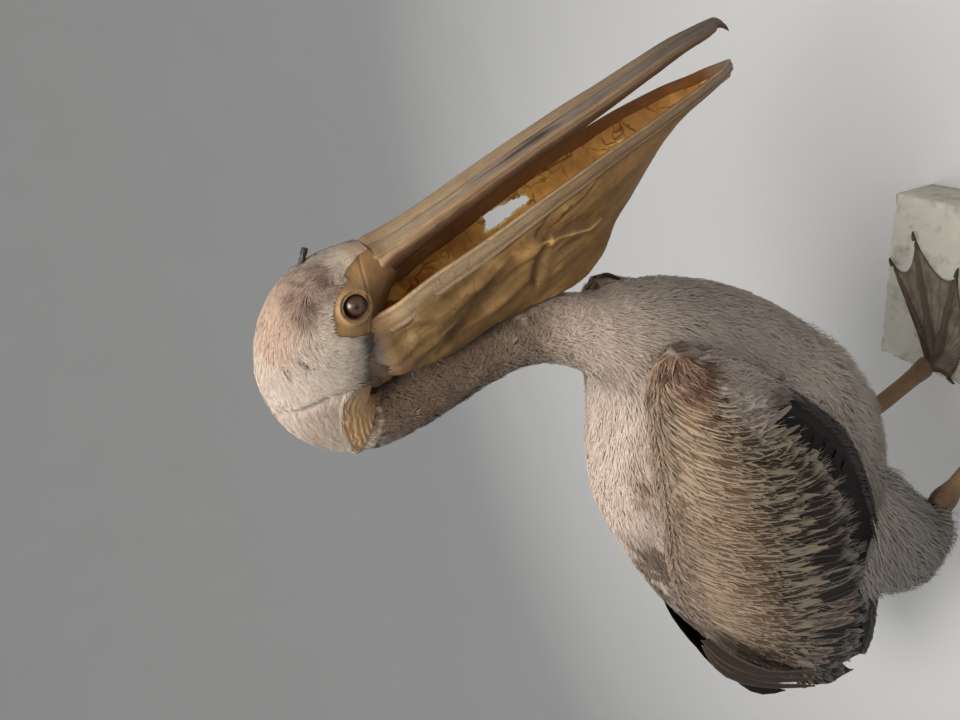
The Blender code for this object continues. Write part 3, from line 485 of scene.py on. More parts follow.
def bare_marks(p, f):
    """The colour of the bare skin of the face and throat, with painted shade in the crease round the eye and in the
    flap's grooves.
    """
    q = p[..., 1:3]
    n1, n2 = fbm(p, 70, 21)[..., None], fbm(p, 260, 23)[..., None]
    c = np.broadcast_to(BARE_SKIN["orbit"], p.shape).copy()
    rear = smooth(0.020, 0.008, f["eye"])[..., None]
    c = lerp(c, srgb(176, 140, 96), rear)
    front = (smooth(-0.222, -0.245, q[..., 0]) * smooth(0.835, 0.86, q[..., 1]))[..., None]
    c = lerp(c, srgb(146, 110, 72), front * 0.5)
    lower = smooth(0.001, -0.005, q[..., 1] - (0.8365 + 0.09 * (q[..., 0] + 0.2)))[..., None]
    c = lerp(c, BARE_SKIN["low"], lower * 0.85)
    bill = smooth(-0.238, -0.256, q[..., 0])[..., None]
    c = lerp(c, srgb(160, 122, 84), bill * lower * 0.7)
    # the paler ring round the eye, strongest behind and above it
    a = np.arctan2(q[..., 1] - EYE_AT[2], q[..., 0] - EYE_AT[1])
    strong = 0.45 + 0.40 * np.cos(a - 0.95)
    ring = np.exp(-(((f["eye"] - 0.0136) / 0.0016) ** 2)) * strong
    c = lerp(c, BARE_SKIN["ring"], ring[..., None] * 0.9)
    # painted shade in the crease where the lids meet the glass eye
    c = lerp(c, srgb(96, 56, 34), (smooth(0.0116, 0.0104, f["eye"]) * 0.9)[..., None])
    throat = (smooth(-0.183, -0.172, q[..., 0]))[..., None]
    c = lerp(c, BARE_SKIN["throat"], throat)
    c = lerp(c, srgb(112, 86, 58), (throat[..., 0] * smooth(0.806, 0.816, q[..., 1]))[..., None] * 0.8)
    under = smooth(0.822, 0.831, q[..., 1] + 0.003 * (n2[..., 0] - 0.5)) * smooth(0.856, 0.850, q[..., 1]) * smooth(-0.190, -0.184, q[..., 0])
    c = lerp(c, srgb(94, 84, 72), under[..., None] * 0.88)
    c = c * (0.82 + 0.36 * n1) * (0.93 + 0.14 * n2)
    gold = BARE_SKIN["flap"] * (0.78 + 0.44 * n1)
    d, _ = line_distance(q, FLAP[1:6])
    # stripes along the flap's folds: painted shade in the grooves, painted light on the ridges
    groove_shading = 0.5 + 0.5 * np.sin(np.abs(d) * 2 * np.pi / 0.0048 + 5 * n1[..., 0])
    gold = gold * (0.80 + 0.28 * groove_shading[..., None])
    w = (smooth(-0.0006, 0.0006, f["flap"]) * f["side"] * smooth(-0.151, -0.146, q[..., 0]))[..., None]
    c = lerp(c, gold, w)
    pale = BARE_SKIN["band"] * (0.75 + 0.5 * n2)
    w = (smooth(-0.0006, 0.0006, f["band"]) * f["side"])[..., None]
    return np.clip(lerp(c, pale, w), 0, 1)


def feathered(p, f=None):
    """How much of the coat grows at points: 1 on plumage and 0 on bare skin."""
    f = head_fields(p) if f is None else f
    rag = 0.0022 * (fbm(p, 300, 31) - 0.5)
    near = (p[..., 2] > 0.77) & (p[..., 1] < -0.05)
    side = f["side"]
    bare = np.maximum(f["bare"], np.where(side > 0.5, np.maximum(f["flap"] - 0.0005, f["band"] - 0.0008), -1.0))
    bare = np.where((np.abs(p[..., 0]) < 0.0125) & (p[..., 1] < -0.235), -1.0, bare)  # feathers run to a point on the root of the bill
    return np.where(near, smooth(0.0006, -0.0006, bare + rag), 1.0)


# ---------------------------------------------------------------- the skin
def coat_depth(p, t):
    """How far the skin lies inside the outline, for the coat that stands on it."""
    f = head_fields(p)
    d = np.interp(t, [0, 10, 12.5, 16.5, 18.2, END_AT], [0.0062, 0.0062, 0.0042, 0.0038, 0.0018, 0.0012])
    return np.where(f["in_head"] > 0.4, 0.0012 + (d - 0.0012) * feathered(p, f), d), f


def head_relief(p, f):
    """Height of the folds and lids of the head over its plain outline."""
    q = p[..., 1:3]
    n = fbm(p, 160, 41) - 0.5
    e = f["eye"]
    a = np.arctan2(q[..., 1] - EYE_AT[2], q[..., 0] - EYE_AT[1])
    strong = 0.72 + 0.28 * np.cos(a - 0.95)
    h = 0.0030 * np.exp(-(((e - 0.0132) / 0.0026) ** 2)) * strong
    h += 0.0018 * smooth(0.020, 0.013, e) * (e > 0.0132)
    h += 0.0022 * smooth(0.0126, 0.0112, e) * smooth(0.0100, 0.0108, e)
    h -= 0.0007 * np.exp(-(((e - 0.0120) / 0.0006) ** 2))
    h -= 0.0040 * smooth(0.0109, 0.0096, e)
    # fine circular creases outside the ring
    h += 0.00022 * np.sin((e + 0.001 * n) * 2 * np.pi / 0.0016) * smooth(0.0145, 0.016, e) * smooth(0.024, 0.019, e)
    # the edge of the feathers round the bare skin
    h += -0.0005 * smooth(-0.0008, 0.0006, f["bare"]) * f["side"]
    # a shallow hollow in front of the eye and one under it
    h -= 0.0016 * np.exp(-(((q[..., 0] + 0.240) / 0.010) ** 2) - (((q[..., 1] - 0.841) / 0.010) ** 2))
    d, _ = line_distance(q, LID_LINE)
    h -= 0.0009 * np.exp(-((d / 0.0009) ** 2)) * (e > 0.0105)
    d, _ = line_distance(q, GAPE)
    h -= 0.0015 * np.exp(-((d / 0.0014) ** 2))
    # the cheek stands over the neck behind it
    c = f["cheek"]
    h += 0.0022 * smooth(-0.0007, 0.0007, c + 0.0012 * n) * smooth(0.022, 0.004, c) * f["side"] * smooth(0.935, 0.905, q[..., 1]) * smooth(0.835, 0.842, q[..., 1])
    h -= 0.0028 * np.exp(-(((c + 0.0055) / 0.0042) ** 2)) * smooth(0.875, 0.885, q[..., 1]) * smooth(0.925, 0.905, q[..., 1]) * f["side"]
    # the golden flap: a dried fold with ridges along it
    fl = f["flap"]
    inside = smooth(-0.0004, 0.0012, fl)
    d, _ = line_distance(q, FLAP[1:6])
    ridges = np.sin(np.abs(d) * 2 * np.pi / 0.0048 + 8 * n)
    h += (0.0022 + 0.0007 * ridges) * inside * f["side"] * smooth(-0.150, -0.145, q[..., 0])
    b = smooth(-0.0004, 0.0008, f["band"])
    h += 0.0005 * np.sin(q[..., 1] * 2 * np.pi / 0.0019 + 14 * n) * b * f["side"]
    # holes in the crown's feathers
    for hy, hz, hr in HOLES:
        h -= 0.0022 * smooth(hr * 1.2, hr * 0.5, np.hypot(q[..., 0] - hy, q[..., 1] - hz)) * f["side"] * (p[..., 0] < 0.012)
    return h * np.clip(f["in_head"] + inside * f["side"] + b * f["side"], 0, 1)


def lengthwise(steps):
    """Places along the tube: steps per row for the trunk, the neck and the head."""
    a, b, c = steps
    return np.concatenate([np.linspace(0, NECK_AT, int(NECK_AT * a) + 1)[:-1], np.linspace(NECK_AT, HEAD_AT - 0.6, int(6.4 * b) + 1)[:-1], np.linspace(HEAD_AT - 0.6, END_AT, int((END_AT - HEAD_AT + 0.6) * c) + 1)])


def tube(steps, around):
    t = lengthwise(steps)
    phi = np.arange(around) * 2 * np.pi / around
    k = 0.20 * smooth(HEAD_AT - 2, HEAD_AT + 2, t)
    angle = phi[None, :] + k[:, None] * np.sin(2 * phi)[None, :]
    tt = np.broadcast_to(t[:, None], angle.shape)
    return tt, angle, body(tt, angle)


def skin_grid(steps, around):
    t, angle, g = tube(steps, around)
    n = -grid_normals(g)
    mid = g.mean(1, keepdims=True)
    n = np.where(((g - mid) * n).sum(-1, keepdims=True) < 0, -n, n)
    depth, f = coat_depth(g, t)
    wool = 0.0010 * (fbm(g, 75, 51) - 0.5) * smooth(NECK_AT, NECK_AT + 1, t)
    g = g + n * (head_relief(g, f) - depth + wool)[..., None]
    return t, angle, g, n


def uv_body(t, angle):
    """The skin's own unwrap: its length up the map, the way round across it."""
    return np.stack([0.01 + 0.98 * np.mod(angle / (2 * np.pi) + 0.5, 1.0), 0.01 + 0.66 * np.asarray(t) / END_AT], -1)


SKIN_STEPS, SKIN_AROUND = (8, 10, 24), 216
st, sa, sg, sn = skin_grid(SKIN_STEPS, SKIN_AROUND)


def with_uv(me, uv):
    uv_map(me, uv)
    return me


def tube_mesh(name, grid, uv):
    me = closed_tube(name, grid)
    flat = np.concatenate([uv.reshape(-1, 2), uv[0].mean(0)[None], uv[-1].mean(0)[None]])
    return with_uv(me, flat)


def volume_sign(me):
    me.calc_loop_triangles()
    v = np.empty(len(me.vertices) * 3, np.float32)
    me.vertices.foreach_get("co", v)
    v = v.reshape(-1, 3).astype(float)
    f = np.empty(len(me.loop_triangles) * 3, np.int32)
    me.loop_triangles.foreach_get("vertices", f)
    f = f.reshape(-1, 3)
    return np.einsum("ij,ij->i", v[f[:, 0]], np.cross(v[f[:, 1]], v[f[:, 2]])).sum()


def outward(me):
    if volume_sign(me) < 0:
        me.flip_normals()
    return me


# the folded wings, as closed cores inside their feathers
def wing_surface(a, b, side, inner=0.0, sunk=0.0):
    """A point of a folded wing: a from the wrist back, b from the upper edge down, inner 0 outside, 1 inside."""
    a, b = np.broadcast_arrays(np.asarray(a, float), np.asarray(b, float))
    top, low = curve(WING_TOP, a), curve(WING_LOW, a)
    y, z = lerp(top[..., 1], low[..., 1], b), lerp(top[..., 2], low[..., 2], b)
    out = along(WING_OUT, a)
    out = out - ((out - top[..., 0]) * np.maximum(0, 1 - b / 0.5) ** 2 + (out - low[..., 0]) * np.maximum(0, (b - 0.5) / 0.5) ** 2)
    edge = np.sin(np.pi * np.clip(b, 0, 1)) ** 0.4
    thick = 0.004 + (along(WING_T, a) - 0.004) * edge
    x = -(out - sunk - inner * np.maximum(thick - 2 * sunk, 0.0006))
    sign = 1 if side == "right" else -1
    shift = WING_SHIFT[side]
    return turned(np.stack([x * sign + shift[0], y + shift[1], z + WING_LIFT[side] * a * a + shift[2]], -1))


def wing_core(side):
    na, nb, m = 72, 26, 0.02
    a = np.linspace(0.012, 0.972, na)
    b = m + (1 - 2 * m) * (0.5 - 0.5 * np.cos(np.linspace(0.12, np.pi - 0.12, nb)))
    outer = wing_surface(a[:, None], b[None, :], side, 0.0, 0.0048)
    inner = wing_surface(a[:, None], b[None, :], side, 1.0, 0.0010)
    grid = np.concatenate([outer, inner[:, ::-1]], 1)
    uv = np.stack(np.broadcast_arrays(np.linspace(0.01, 0.99, na)[:, None], np.linspace(0.0, 0.12, 2 * nb)[None, :]), -1)
    uv[..., 1] += 0.70 if side == "right" else 0.83
    return outward(tube_mesh("wing_core_" + side, grid, uv))


def thigh_frame(side):
    ankle, heel = np.array(LEGS[side][0]), LEGS[side][1]
    foot_at = np.array([heel[0], heel[1], FLOOR + 0.0205 + GAP * 2])
    top = ankle + unit(ankle - foot_at) * 0.012
    axis = unit(top - foot_at)
    return foot_at, top, axis


def thigh_grid(side, shrink, n=40, around=72):
    _, top, axis = thigh_frame(side)
    hip = turned(np.array(THIGH_R[side]))
    knee = top + axis * GAP * 2
    bend = knee + axis * 0.04
    s = np.linspace(0.0, 1.0, n)[:, None]
    m = knee * (1 - s) ** 2 + bend * (2 * s * (1 - s)) + hip * s * s
    ax = unit((bend - knee) * (1 - s) + (hip - bend) * s)
    al = unit(np.array([0, 1.0, 0]) - ax * ax[:, 1:2])
    sd = np.cross(ax, al)
    w = along([(x, a) for x, a, _ in THIGH_SIZES], s[:, 0]) - shrink
    d = along([(x, b) for x, _, b in THIGH_SIZES], s[:, 0]) - shrink
    slim = np.minimum(0.42 * d, 0.024) * smooth(-0.03, 0.08, s[:, 0]) * smooth(1.0, 0.78, s[:, 0])
    m, d = m + al * slim[:, None], d - slim
    j = np.arange(around) * 2 * np.pi / around
    g = m[:, None] + al[:, None] * (d[:, None] * np.cos(j))[..., None] + sd[:, None] * (w[:, None] * np.sin(j))[..., None]
    # its upper part lies flatter, behind the lower edge of the wing
    sign = -1 if side == "right" else 1
    g[..., 0] -= sign * 0.017 * smooth(0.268, 0.325, g[..., 2]) * smooth(0.04, 0.08, sign * g[..., 0])
    return g


def thigh_core(side):
    grid = thigh_grid(side, 0.0055)
    uv = np.stack(np.broadcast_arrays(np.linspace(0.0, 0.46, 72)[None, :], np.linspace(0.96, 0.99, 40)[:, None]), -1).copy()
    uv[..., 0] += 0.01 if side == "left" else 0.51
    return outward(tube_mesh("thigh_core_" + side, grid, uv))


TAIL_ROOT = np.array([0, (TRUNK[-1][0][0] + TRUNK[-1][1][0]) / 2, (TRUNK[-1][0][1] + TRUNK[-1][1][1]) / 2])
TAIL_AXIS = np.array([0, TAIL_TIP[0], TAIL_TIP[1]]) - TAIL_ROOT
TAIL_UP = unit(np.array([0, -TAIL_AXIS[2], TAIL_AXIS[1]]))


def tail_core():
    s = np.linspace(-0.30, 0.55, 30)
    j = np.arange(60) * 2 * np.pi / 60
    root_half = np.array([0, TRUNK[-1][0][0] - TRUNK[-1][1][0], TRUNK[-1][0][1] - TRUNK[-1][1][1]]) / 2
    half = []
    for v in s:
        k = min(1.0, max(v, 0) / 0.35)
        k = k * k * (3 - 2 * k)
        half.append(root_half * 0.80 * (1 - k) + TAIL_UP * 0.0075 * k)
    half = np.array(half)
    w = np.interp(s, [-0.3, 0, 0.35, 0.55], [0.034, 0.034, 0.032, 0.024])
    grid = turned(TAIL_ROOT + TAIL_AXIS * s[:, None, None] + half[:, None] * np.cos(j)[None, :, None] + np.array([1.0, 0, 0]) * (w[:, None] * np.sin(j))[..., None])
    uv = np.stack(np.broadcast_arrays(np.linspace(0.01, 0.99, 60)[None, :], np.linspace(0.675, 0.695, 30)[:, None]), -1)
    return outward(tube_mesh("tail_core", grid, uv))


def triangles(me):
    me.calc_loop_triangles()
    return len(me.loop_triangles)


def united(base, others):
    """One closed surface of all these meshes."""
    ob = bpy.data.objects.new("skin", base)
    scene.collection.objects.link(ob)
    helpers = []
    for me in others:
        h = bpy.data.objects.new(me.name, me)
        scene.collection.objects.link(h)
        helpers.append(h)
        m = ob.modifiers.new("join", "BOOLEAN")
        m.operation, m.solver, m.object = "UNION", "MANIFOLD", h
    bpy.context.view_layer.update()
    graph = bpy.context.evaluated_depsgraph_get()
    out = bpy.data.meshes.new_from_object(ob.evaluated_get(graph), depsgraph=graph)
    ob.modifiers.clear()
    for h in helpers:
        bpy.data.objects.remove(h, do_unlink=True)
    bpy.data.objects.remove(ob, do_unlink=True)
    return out


trunk_mesh = outward(tube_mesh("skin", sg, uv_body(st, sa)))
cores = [wing_core("right"), wing_core("left"), thigh_core("right"), thigh_core("left"), tail_core()]
plain = triangles(trunk_mesh)
skin_me = united(trunk_mesh, cores)
print("skin", plain, "->", triangles(skin_me), "uv", [l.name for l in skin_me.uv_layers])
skin_me.name = "skin"


def coords(me):
    v = np.empty(len(me.vertices) * 3, np.float32)
    me.vertices.foreach_get("co", v)
    return v.reshape(-1, 3).astype(float)


skin_co = coords(skin_me)
skin_f = head_fields(skin_co)
grown = feathered(skin_co, skin_f)
bare_c = bare_marks(skin_co, skin_f)
tint = lerp(bare_c, marks(skin_co) * 0.86, grown[:, None])
paint(skin_me, tint)
note(skin_me, "grown", grown)
note(skin_me, "bare", np.where(skin_f["in_head"] > 0.3, np.maximum(skin_f["bare"], skin_f["flap"]), -1.0))
# distance to the lid and gape creases, for the painted shade in them
crease = np.minimum(np.abs(line_distance(skin_co[:, 1:3], LID_LINE)[0]), np.abs(line_distance(skin_co[:, 1:3], GAPE)[0]) * 0.7)
note(skin_me, "crease", crease)
skin_tree = tree_of(skin_me)


# ---------------------------------------------------------------- materials
def new_material(name):
    mat = bpy.data.materials.new(name)
    mat.use_nodes = True
    tree = mat.node_tree
    return mat, tree, tree.nodes["Principled BSDF"]


def node(tree, kind, **values):
    n = tree.nodes.new("ShaderNode" + kind)
    for key, value in values.items():
        if key.startswith("_"):
            setattr(n, key[1:], value)
        else:
            n.inputs[key.replace("_", " ")].default_value = value
    return n


def attribute(tree, name, out="Color"):
    n = node(tree, "Attribute")
    n.attribute_name = name
    return n.outputs[out]


def blend(tree, kind, factor, a, b):
    n = tree.nodes.new("ShaderNodeMix")
    n.data_type, n.blend_type, n.clamp_result = "RGBA", kind, False
    for socket, value in ((n.inputs["Factor"], factor), (n.inputs[6], a), (n.inputs[7], b)):
        if isinstance(value, bpy.types.NodeSocket):
            tree.links.new(value, socket)
        elif isinstance(value, (int, float)):
            socket.default_value = value
        else:
            socket.default_value = (*value, 1)
    return n.outputs[2]


def ramp(tree, value, lo, hi, a=0.0, b=1.0):
    n = tree.nodes.new("ShaderNodeMapRange")
    n.interpolation_type = "SMOOTHSTEP"
    tree.links.new(value, n.inputs["Value"])
    for key, v in (("From Min", lo), ("From Max", hi), ("To Min", a), ("To Max", b)):
        n.inputs[key].default_value = v
    return n.outputs["Result"]


def maths(tree, op, a, b=0.0, c=0.0):
    n = tree.nodes.new("ShaderNodeMath")
    n.operation = op
    for socket, value in zip(n.inputs, (a, b, c)):
        if isinstance(value, bpy.types.NodeSocket):
            tree.links.new(value, socket)
        else:
            socket.default_value = value
    return n.outputs[0]


def noise_of(tree, scale, detail=3.0, vector=None, stretch=None, rough=0.55):
    n = node(tree, "TexNoise", Scale=scale, Detail=detail, Roughness=rough)
    if vector is None:
        vector = tree.nodes.new("ShaderNodeTexCoord").outputs["Object"]
    if stretch is not None:
        m = tree.nodes.new("ShaderNodeMapping")
        m.inputs["Scale"].default_value = stretch
        tree.links.new(vector, m.inputs["Vector"])
        vector = m.outputs["Vector"]
    tree.links.new(vector, n.inputs["Vector"])
    return n.outputs["Fac"]


def bump(tree, p, height, strength=0.5, distance=0.001):
    n = node(tree, "Bump", Strength=strength, Distance=distance)
    tree.links.new(height, n.inputs["Height"])
    tree.links.new(n.outputs["Normal"], p.inputs["Normal"])
    return n


def coat_material(name, rough=0.88, spec=0.22, sheen=0.12, variation=0.16):
    mat, tree, p = new_material(name)
    n = noise_of(tree, 900, 2.0)
    c = blend(tree, "MULTIPLY", 1.0, attribute(tree, "tint"), blend(tree, "MIX", ramp(tree, n, 0.3, 0.7), (1 - variation,) * 3, (1 + variation * 0.6,) * 3))
    tree.links.new(c, p.inputs["Base Color"])
    p.inputs["Roughness"].default_value = rough
    p.inputs["Specular IOR Level"].default_value = spec
    p.inputs["Sheen Weight"].default_value = sheen
    p.inputs["Sheen Roughness"].default_value = 0.6
    return mat


def skin_material():
    mat, tree, p = new_material("skin")
    grown = attribute(tree, "grown", "Fac")
    fine, pores = noise_of(tree, 500, 4.0), noise_of(tree, 1500, 2.0)
    c = blend(tree, "MULTIPLY", 1.0, attribute(tree, "tint"), blend(tree, "MIX", fine, (0.80, 0.78, 0.76), (1.16, 1.16, 1.14)))
    # painted shade: dark lines in the creases of the lids and the gape
    line = ramp(tree, attribute(tree, "crease", "Fac"), 0.0, 0.0008, 1.0, 0.0)
    line = maths(tree, "MULTIPLY", line, maths(tree, "SUBTRACT", 1.0, grown))
    c = blend(tree, "MIX", maths(tree, "MULTIPLY", line, 0.75), c, tuple(srgb(74, 42, 24)))
    # painted shade: a dark line where the edge of the feathers stands over the bare skin
    edge = ramp(tree, maths(tree, "ABSOLUTE", maths(tree, "ADD", attribute(tree, "bare", "Fac"), -0.0003)), 0.0, 0.0011, 0.55, 0.0)
    c = blend(tree, "MIX", edge, c, tuple(srgb(96, 60, 36)))
    tree.links.new(c, p.inputs["Base Color"])
    tree.links.new(ramp(tree, grown, 0.0, 1.0, 0.52, 0.92), p.inputs["Roughness"])
    p.inputs["Specular IOR Level"].default_value = 0.35
    wrinkle = noise_of(tree, 330, 3.0, stretch=(1.0, 0.55, 1.6))
    h = maths(tree, "ADD", maths(tree, "MULTIPLY", wrinkle, 0.8), maths(tree, "MULTIPLY", pores, 0.35))
    bump(tree, p, h, 0.55, 0.0006)
    return mat


SKIN = skin_material()
COAT = coat_material("coat")
WOOL = coat_material("neck_wool", 0.9, 0.18, 0.15)
HAIR = coat_material("head_hair", 0.8, 0.28, 0.12, 0.12)
piece("skin", skin_me, SKIN, ("trunk", "neck_lower", "neck_middle", "neck_upper", "head", "thigh_left", "thigh_right"))


# ---------------------------------------------------------------- tufts
def sample(grid, uv, spacing, wrap=True, keep=None):
    """Even places on a grid of points, as (positions, map places, grid places)."""
    nv, nu = grid.shape[:2]
    nxt = np.roll(grid, -1, 1) if wrap else grid
    j, k = np.meshgrid(np.arange(nv - 1), np.arange(nu if wrap else nu - 1), indexing="ij")
    j, k = j.ravel(), k.ravel()
    k2 = (k + 1) % nu
    a, b, c, d = grid[j, k], grid[j, k2], grid[j + 1, k2], grid[j + 1, k]
    area = 0.5 * np.linalg.norm(np.cross(c - a, d - b), axis=1)
    if keep is not None:
        area = area * keep(grid[j, k], j, k)
    total = area.sum()
    count = int(total / spacing**2 * 2.2)
    pick = np.searchsorted(np.cumsum(area), rng.random(count) * total)
    pick = np.minimum(pick, len(area) - 1)
    u, v = rng.random((2, count, 1))
    p = (a[pick] * (1 - u) + b[pick] * u) * (1 - v) + (d[pick] * (1 - u) + c[pick] * u) * v
    cell = np.floor(p / (spacing * 0.92) + rng.random(3)).astype(np.int64)
    key = (cell[:, 0] * 73856093) ^ (cell[:, 1] * 19349663) ^ (cell[:, 2] * 83492791)
    _, first = np.unique(key, return_index=True)
    first.sort()
    pick, p, u, v = pick[first], p[first], u[first], v[first]
    uvs = uv[j[pick], k[pick]]
    return p, uvs, j[pick] + v[:, 0], k[pick] + u[:, 0]


def tuft_mesh(name, root, lie, length, width, lifts, colour, uv, curl=0.0, roll=0.35, bend=0.0, clump=0.0, tip_dark=0.0, seed=1, tree=None, sink=0.0006, soft=0.86):
    """Narrow tapering ribbons that start at the skin and follow it along the lie of the coat."""
    r = np.random.default_rng(seed)
    tree = tree or skin_tree
    p0, n0, _ = nearest(tree, root)
    n = len(root)
    length, width = np.broadcast_to(length, n), np.broadcast_to(width, n)
    d = unit(lie - n0 * (lie * n0).sum(1, keepdims=True))
    turn = r.normal(0, 1, n) * curl
    if clump:
        cell = np.floor(root / clump)
        turn = turn + (hash3(cell, seed) - 0.5) * 2 * bend
        lift_by = 1 + (hash3(cell, seed + 3) - 0.5) * 0.5
        shade = 1 + (hash3(cell, seed + 5) - 0.5) * 0.09
    else:
        turn = turn + r.uniform(-1, 1, n) * bend
        lift_by, shade = np.ones(n), np.ones(n)
    s0 = np.cross(n0, d)
    d = unit(d * np.cos(turn)[:, None] + s0 * np.sin(turn)[:, None])
    pts, nor, p, nn = [p0 - n0 * sink], [n0], p0, n0
    swing = r.normal(0, 1, n) * curl * 0.5
    for k in range(3):
        s = np.cross(nn, d)
        d = unit(d + s * swing[:, None])
        q, nn, _ = nearest(tree, p + d * (length / 3)[:, None])
        d = unit(q - p + 1e-9)
        d = unit(d - nn * (d * nn).sum(1, keepdims=True))
        p = q
        pts.append(q + nn * (lifts[k] * lift_by * r.uniform(0.8, 1.2, n))[:, None])
        nor.append(nn)
    rolls = r.normal(0, roll, n)
    verts, cols, normals = np.empty((n, 7, 3)), np.empty((n, 7, 3)), np.empty((n, 7, 3))
    shape = (0.75, 1.0, 0.72)
    for k in range(3):
        run = unit(pts[k + 1] - pts[k] if k == 0 else pts[k + 1] - pts[k - 1])
        s = unit(np.cross(nor[k], run))
        up = np.cross(run, s)
        s = s * np.cos(rolls)[:, None] + up * np.sin(rolls)[:, None]
        w = (width * shape[k] / 2)[:, None]
        verts[:, 2 * k], verts[:, 2 * k + 1] = pts[k] - s * w, pts[k] + s * w
        own = np.cross(run, s)
        normals[:, 2 * k] = unit(nor[k] * soft + own * (1 - soft))
        normals[:, 2 * k + 1] = normals[:, 2 * k]
    verts[:, 6] = pts[3]
    normals[:, 6] = unit(nor[3] + 0.10 * d)
    tone = (shade * r.uniform(0.93, 1.07, n))[:, None]
    # roots a little darker than the tips: partly grey down, partly painted shade under the overlapping tufts
    for k, v in enumerate((0.95, 0.95, 1.0, 1.0, 1.01, 1.01, 1.02 - tip_dark)):
        cols[:, k] = colour * tone * v
    base = np.arange(n)[:, None] * 7
    quads = np.concatenate([base + np.array([0, 2, 3, 1]), base + np.array([2, 4, 5, 3])])
    tris = base + np.array([4, 6, 5])
    me = mesh_of(name, verts, quads, tris)
    me.normals_split_custom_set_from_vertices(normals.reshape(-1, 3))
    paint(me, cols.reshape(-1, 3))
    patch = 0.0030 * np.array(((0.1, 0.0), (0.9, 0.0), (0.1, 0.35), (0.9, 0.35), (0.1, 0.7), (0.9, 0.7), (0.5, 1.0)))
    uv_map(me, (uv[:, None, :] + patch[None]).reshape(-1, 2))
    return me


def lie_of(grid_row, grid_col, t, angle, eps=0.02):
    """From bill to tail along the tube at places of it."""
    a, b = body(np.clip(t - eps, 0, END_AT), angle), body(np.clip(t + eps, 0, END_AT), angle)
    return unit(a - b)


def on_skin(p, limit=0.0016):
    q, n, d = nearest(skin_tree, p)
    return d < limit


def place_at(rows, cols):
    """The tube's own places from grid places."""
    i = np.clip(rows.astype(int), 0, st.shape[0] - 2)
    f = rows - i
    t = st[i, 0] * (1 - f) + st[i + 1, 0] * f
    k = cols.astype(int) % st.shape[1]
    g = cols - np.floor(cols)
    a0, a1 = sa[i, k], sa[i, (k + 1) % st.shape[1]]
    a1 = np.where(a1 < a0, a1 + 2 * np.pi, a1)
    return t, a0 * (1 - g) + a1 * g


UVB = uv_body(st, sa)
thin = 1 / math.sqrt(DENSE)


def split(me_name, count, args, mat, slot, **kw):
    """The same coat in several pieces, each a run of the length of the bird."""
    order = np.argsort(args[0][:, 2] - 0.5 * args[0][:, 1], kind="stable")
    for number, part in enumerate(np.array_split(order, count), 1):
        sel = [a[part] if isinstance(a, np.ndarray) and len(a) == len(order) else a for a in args]
        piece(f"{me_name}_{number}", tuft_mesh(f"{me_name}_{number}", *sel, seed=kw.get("seed", 1) + number, **{k: v for k, v in kw.items() if k != "seed"}), mat)


# body
rows_body = int(NECK_AT * SKIN_STEPS[0]) + 8
p, uv, rr, cc = sample(sg[: rows_body + 1], UVB[: rows_body + 1], 0.00195 * thin)
ok = on_skin(p)
p, uv, rr, cc = p[ok], uv[ok], rr[ok], cc[ok]
t, ang = place_at(rr, cc)
_, nn, _ = nearest(skin_tree, p)
lie = np.broadcast_to(turned(np.array([0.0, 1.0, -0.80]) + np.array([TRUNK_PIVOT[0], TRUNK_PIVOT[1], 0])) - np.array([TRUNK_PIVOT[0], TRUNK_PIVOT[1], 0]), p.shape).copy()
down = smooth(-0.05, -0.14, p[:, 1]) * smooth(0.56, 0.62, p[:, 2])
lie = lerp(lie, np.array([0, 0.35, -1.0]), down[:, None])
size = np.interp(t, [0, 2, 6, 10, 12], [1.15, 1.15, 1.05, 0.85, 0.70])
fluff = smooth(0.42, 0.30, p[:, 2])
rear = smooth(0.10, 0.26, p[:, 1]) * fluff
lie = lerp(lie, np.array([0.0, 1.0, -0.55]), rear[:, None])
length = (0.022 + 0.008 * fluff + 0.012 * rear) * size * rng.uniform(0.8, 1.2, len(p))
width = (0.00135 + 0.0002 * fluff) * np.sqrt(size)
drift = (fbm(p, 26, 63) - 0.5) * 0.9
across_ = unit(np.cross(nn, lie))
lie = lie * np.cos(drift)[:, None] + across_ * np.linalg.norm(lie, axis=1, keepdims=True) * np.sin(drift)[:, None]
BODY_P, BODY_UV = p, uv
split("coat_body", 4, [p, lie, length, width, (0.0026, 0.0044, 0.0047), marks(p), uv], COAT, "plumage_body", curl=0.11, bend=0.16, clump=0.0085, roll=0.16, seed=100)
print("body tufts", len(p))

# neck
r0, r1 = int(NECK_AT * SKIN_STEPS[0]) - 2, int(NECK_AT * SKIN_STEPS[0] + (HEAD_AT - NECK_AT) * SKIN_STEPS[1])
p, uv, rr, cc = sample(sg[r0:r1], UVB[r0:r1], 0.00150 * thin)
t, ang = place_at(rr + r0, cc)
f = head_fields(p)
ok = on_skin(p) & (feathered(p, f) > 0.5)
p, uv, t, ang = p[ok], uv[ok], t[ok], ang[ok]
lie = lie_of(None, None, t, ang)
_, nn, _ = nearest(skin_tree, p)
swirl = (fbm(p, 85, 61) - 0.5) * 5.0 * smooth(NECK_AT, NECK_AT + 1.5, t)
side = unit(np.cross(nn, lie))
lie = unit(lie * np.cos(swirl)[:, None] + side * np.sin(swirl)[:, None])
length = np.interp(t, [11, 13, 16, 18], [0.015, 0.0115, 0.0105, 0.0115]) * rng.uniform(0.75, 1.3, len(p))
split("coat_neck", 2, [p, lie, length, 0.00105, (0.0020, 0.0031, 0.0029), marks(p), uv], WOOL, "plumage_neck", curl=0.34, bend=0.40, clump=0.0050, roll=0.30, seed=200, soft=0.70)
print("neck tufts", len(p))

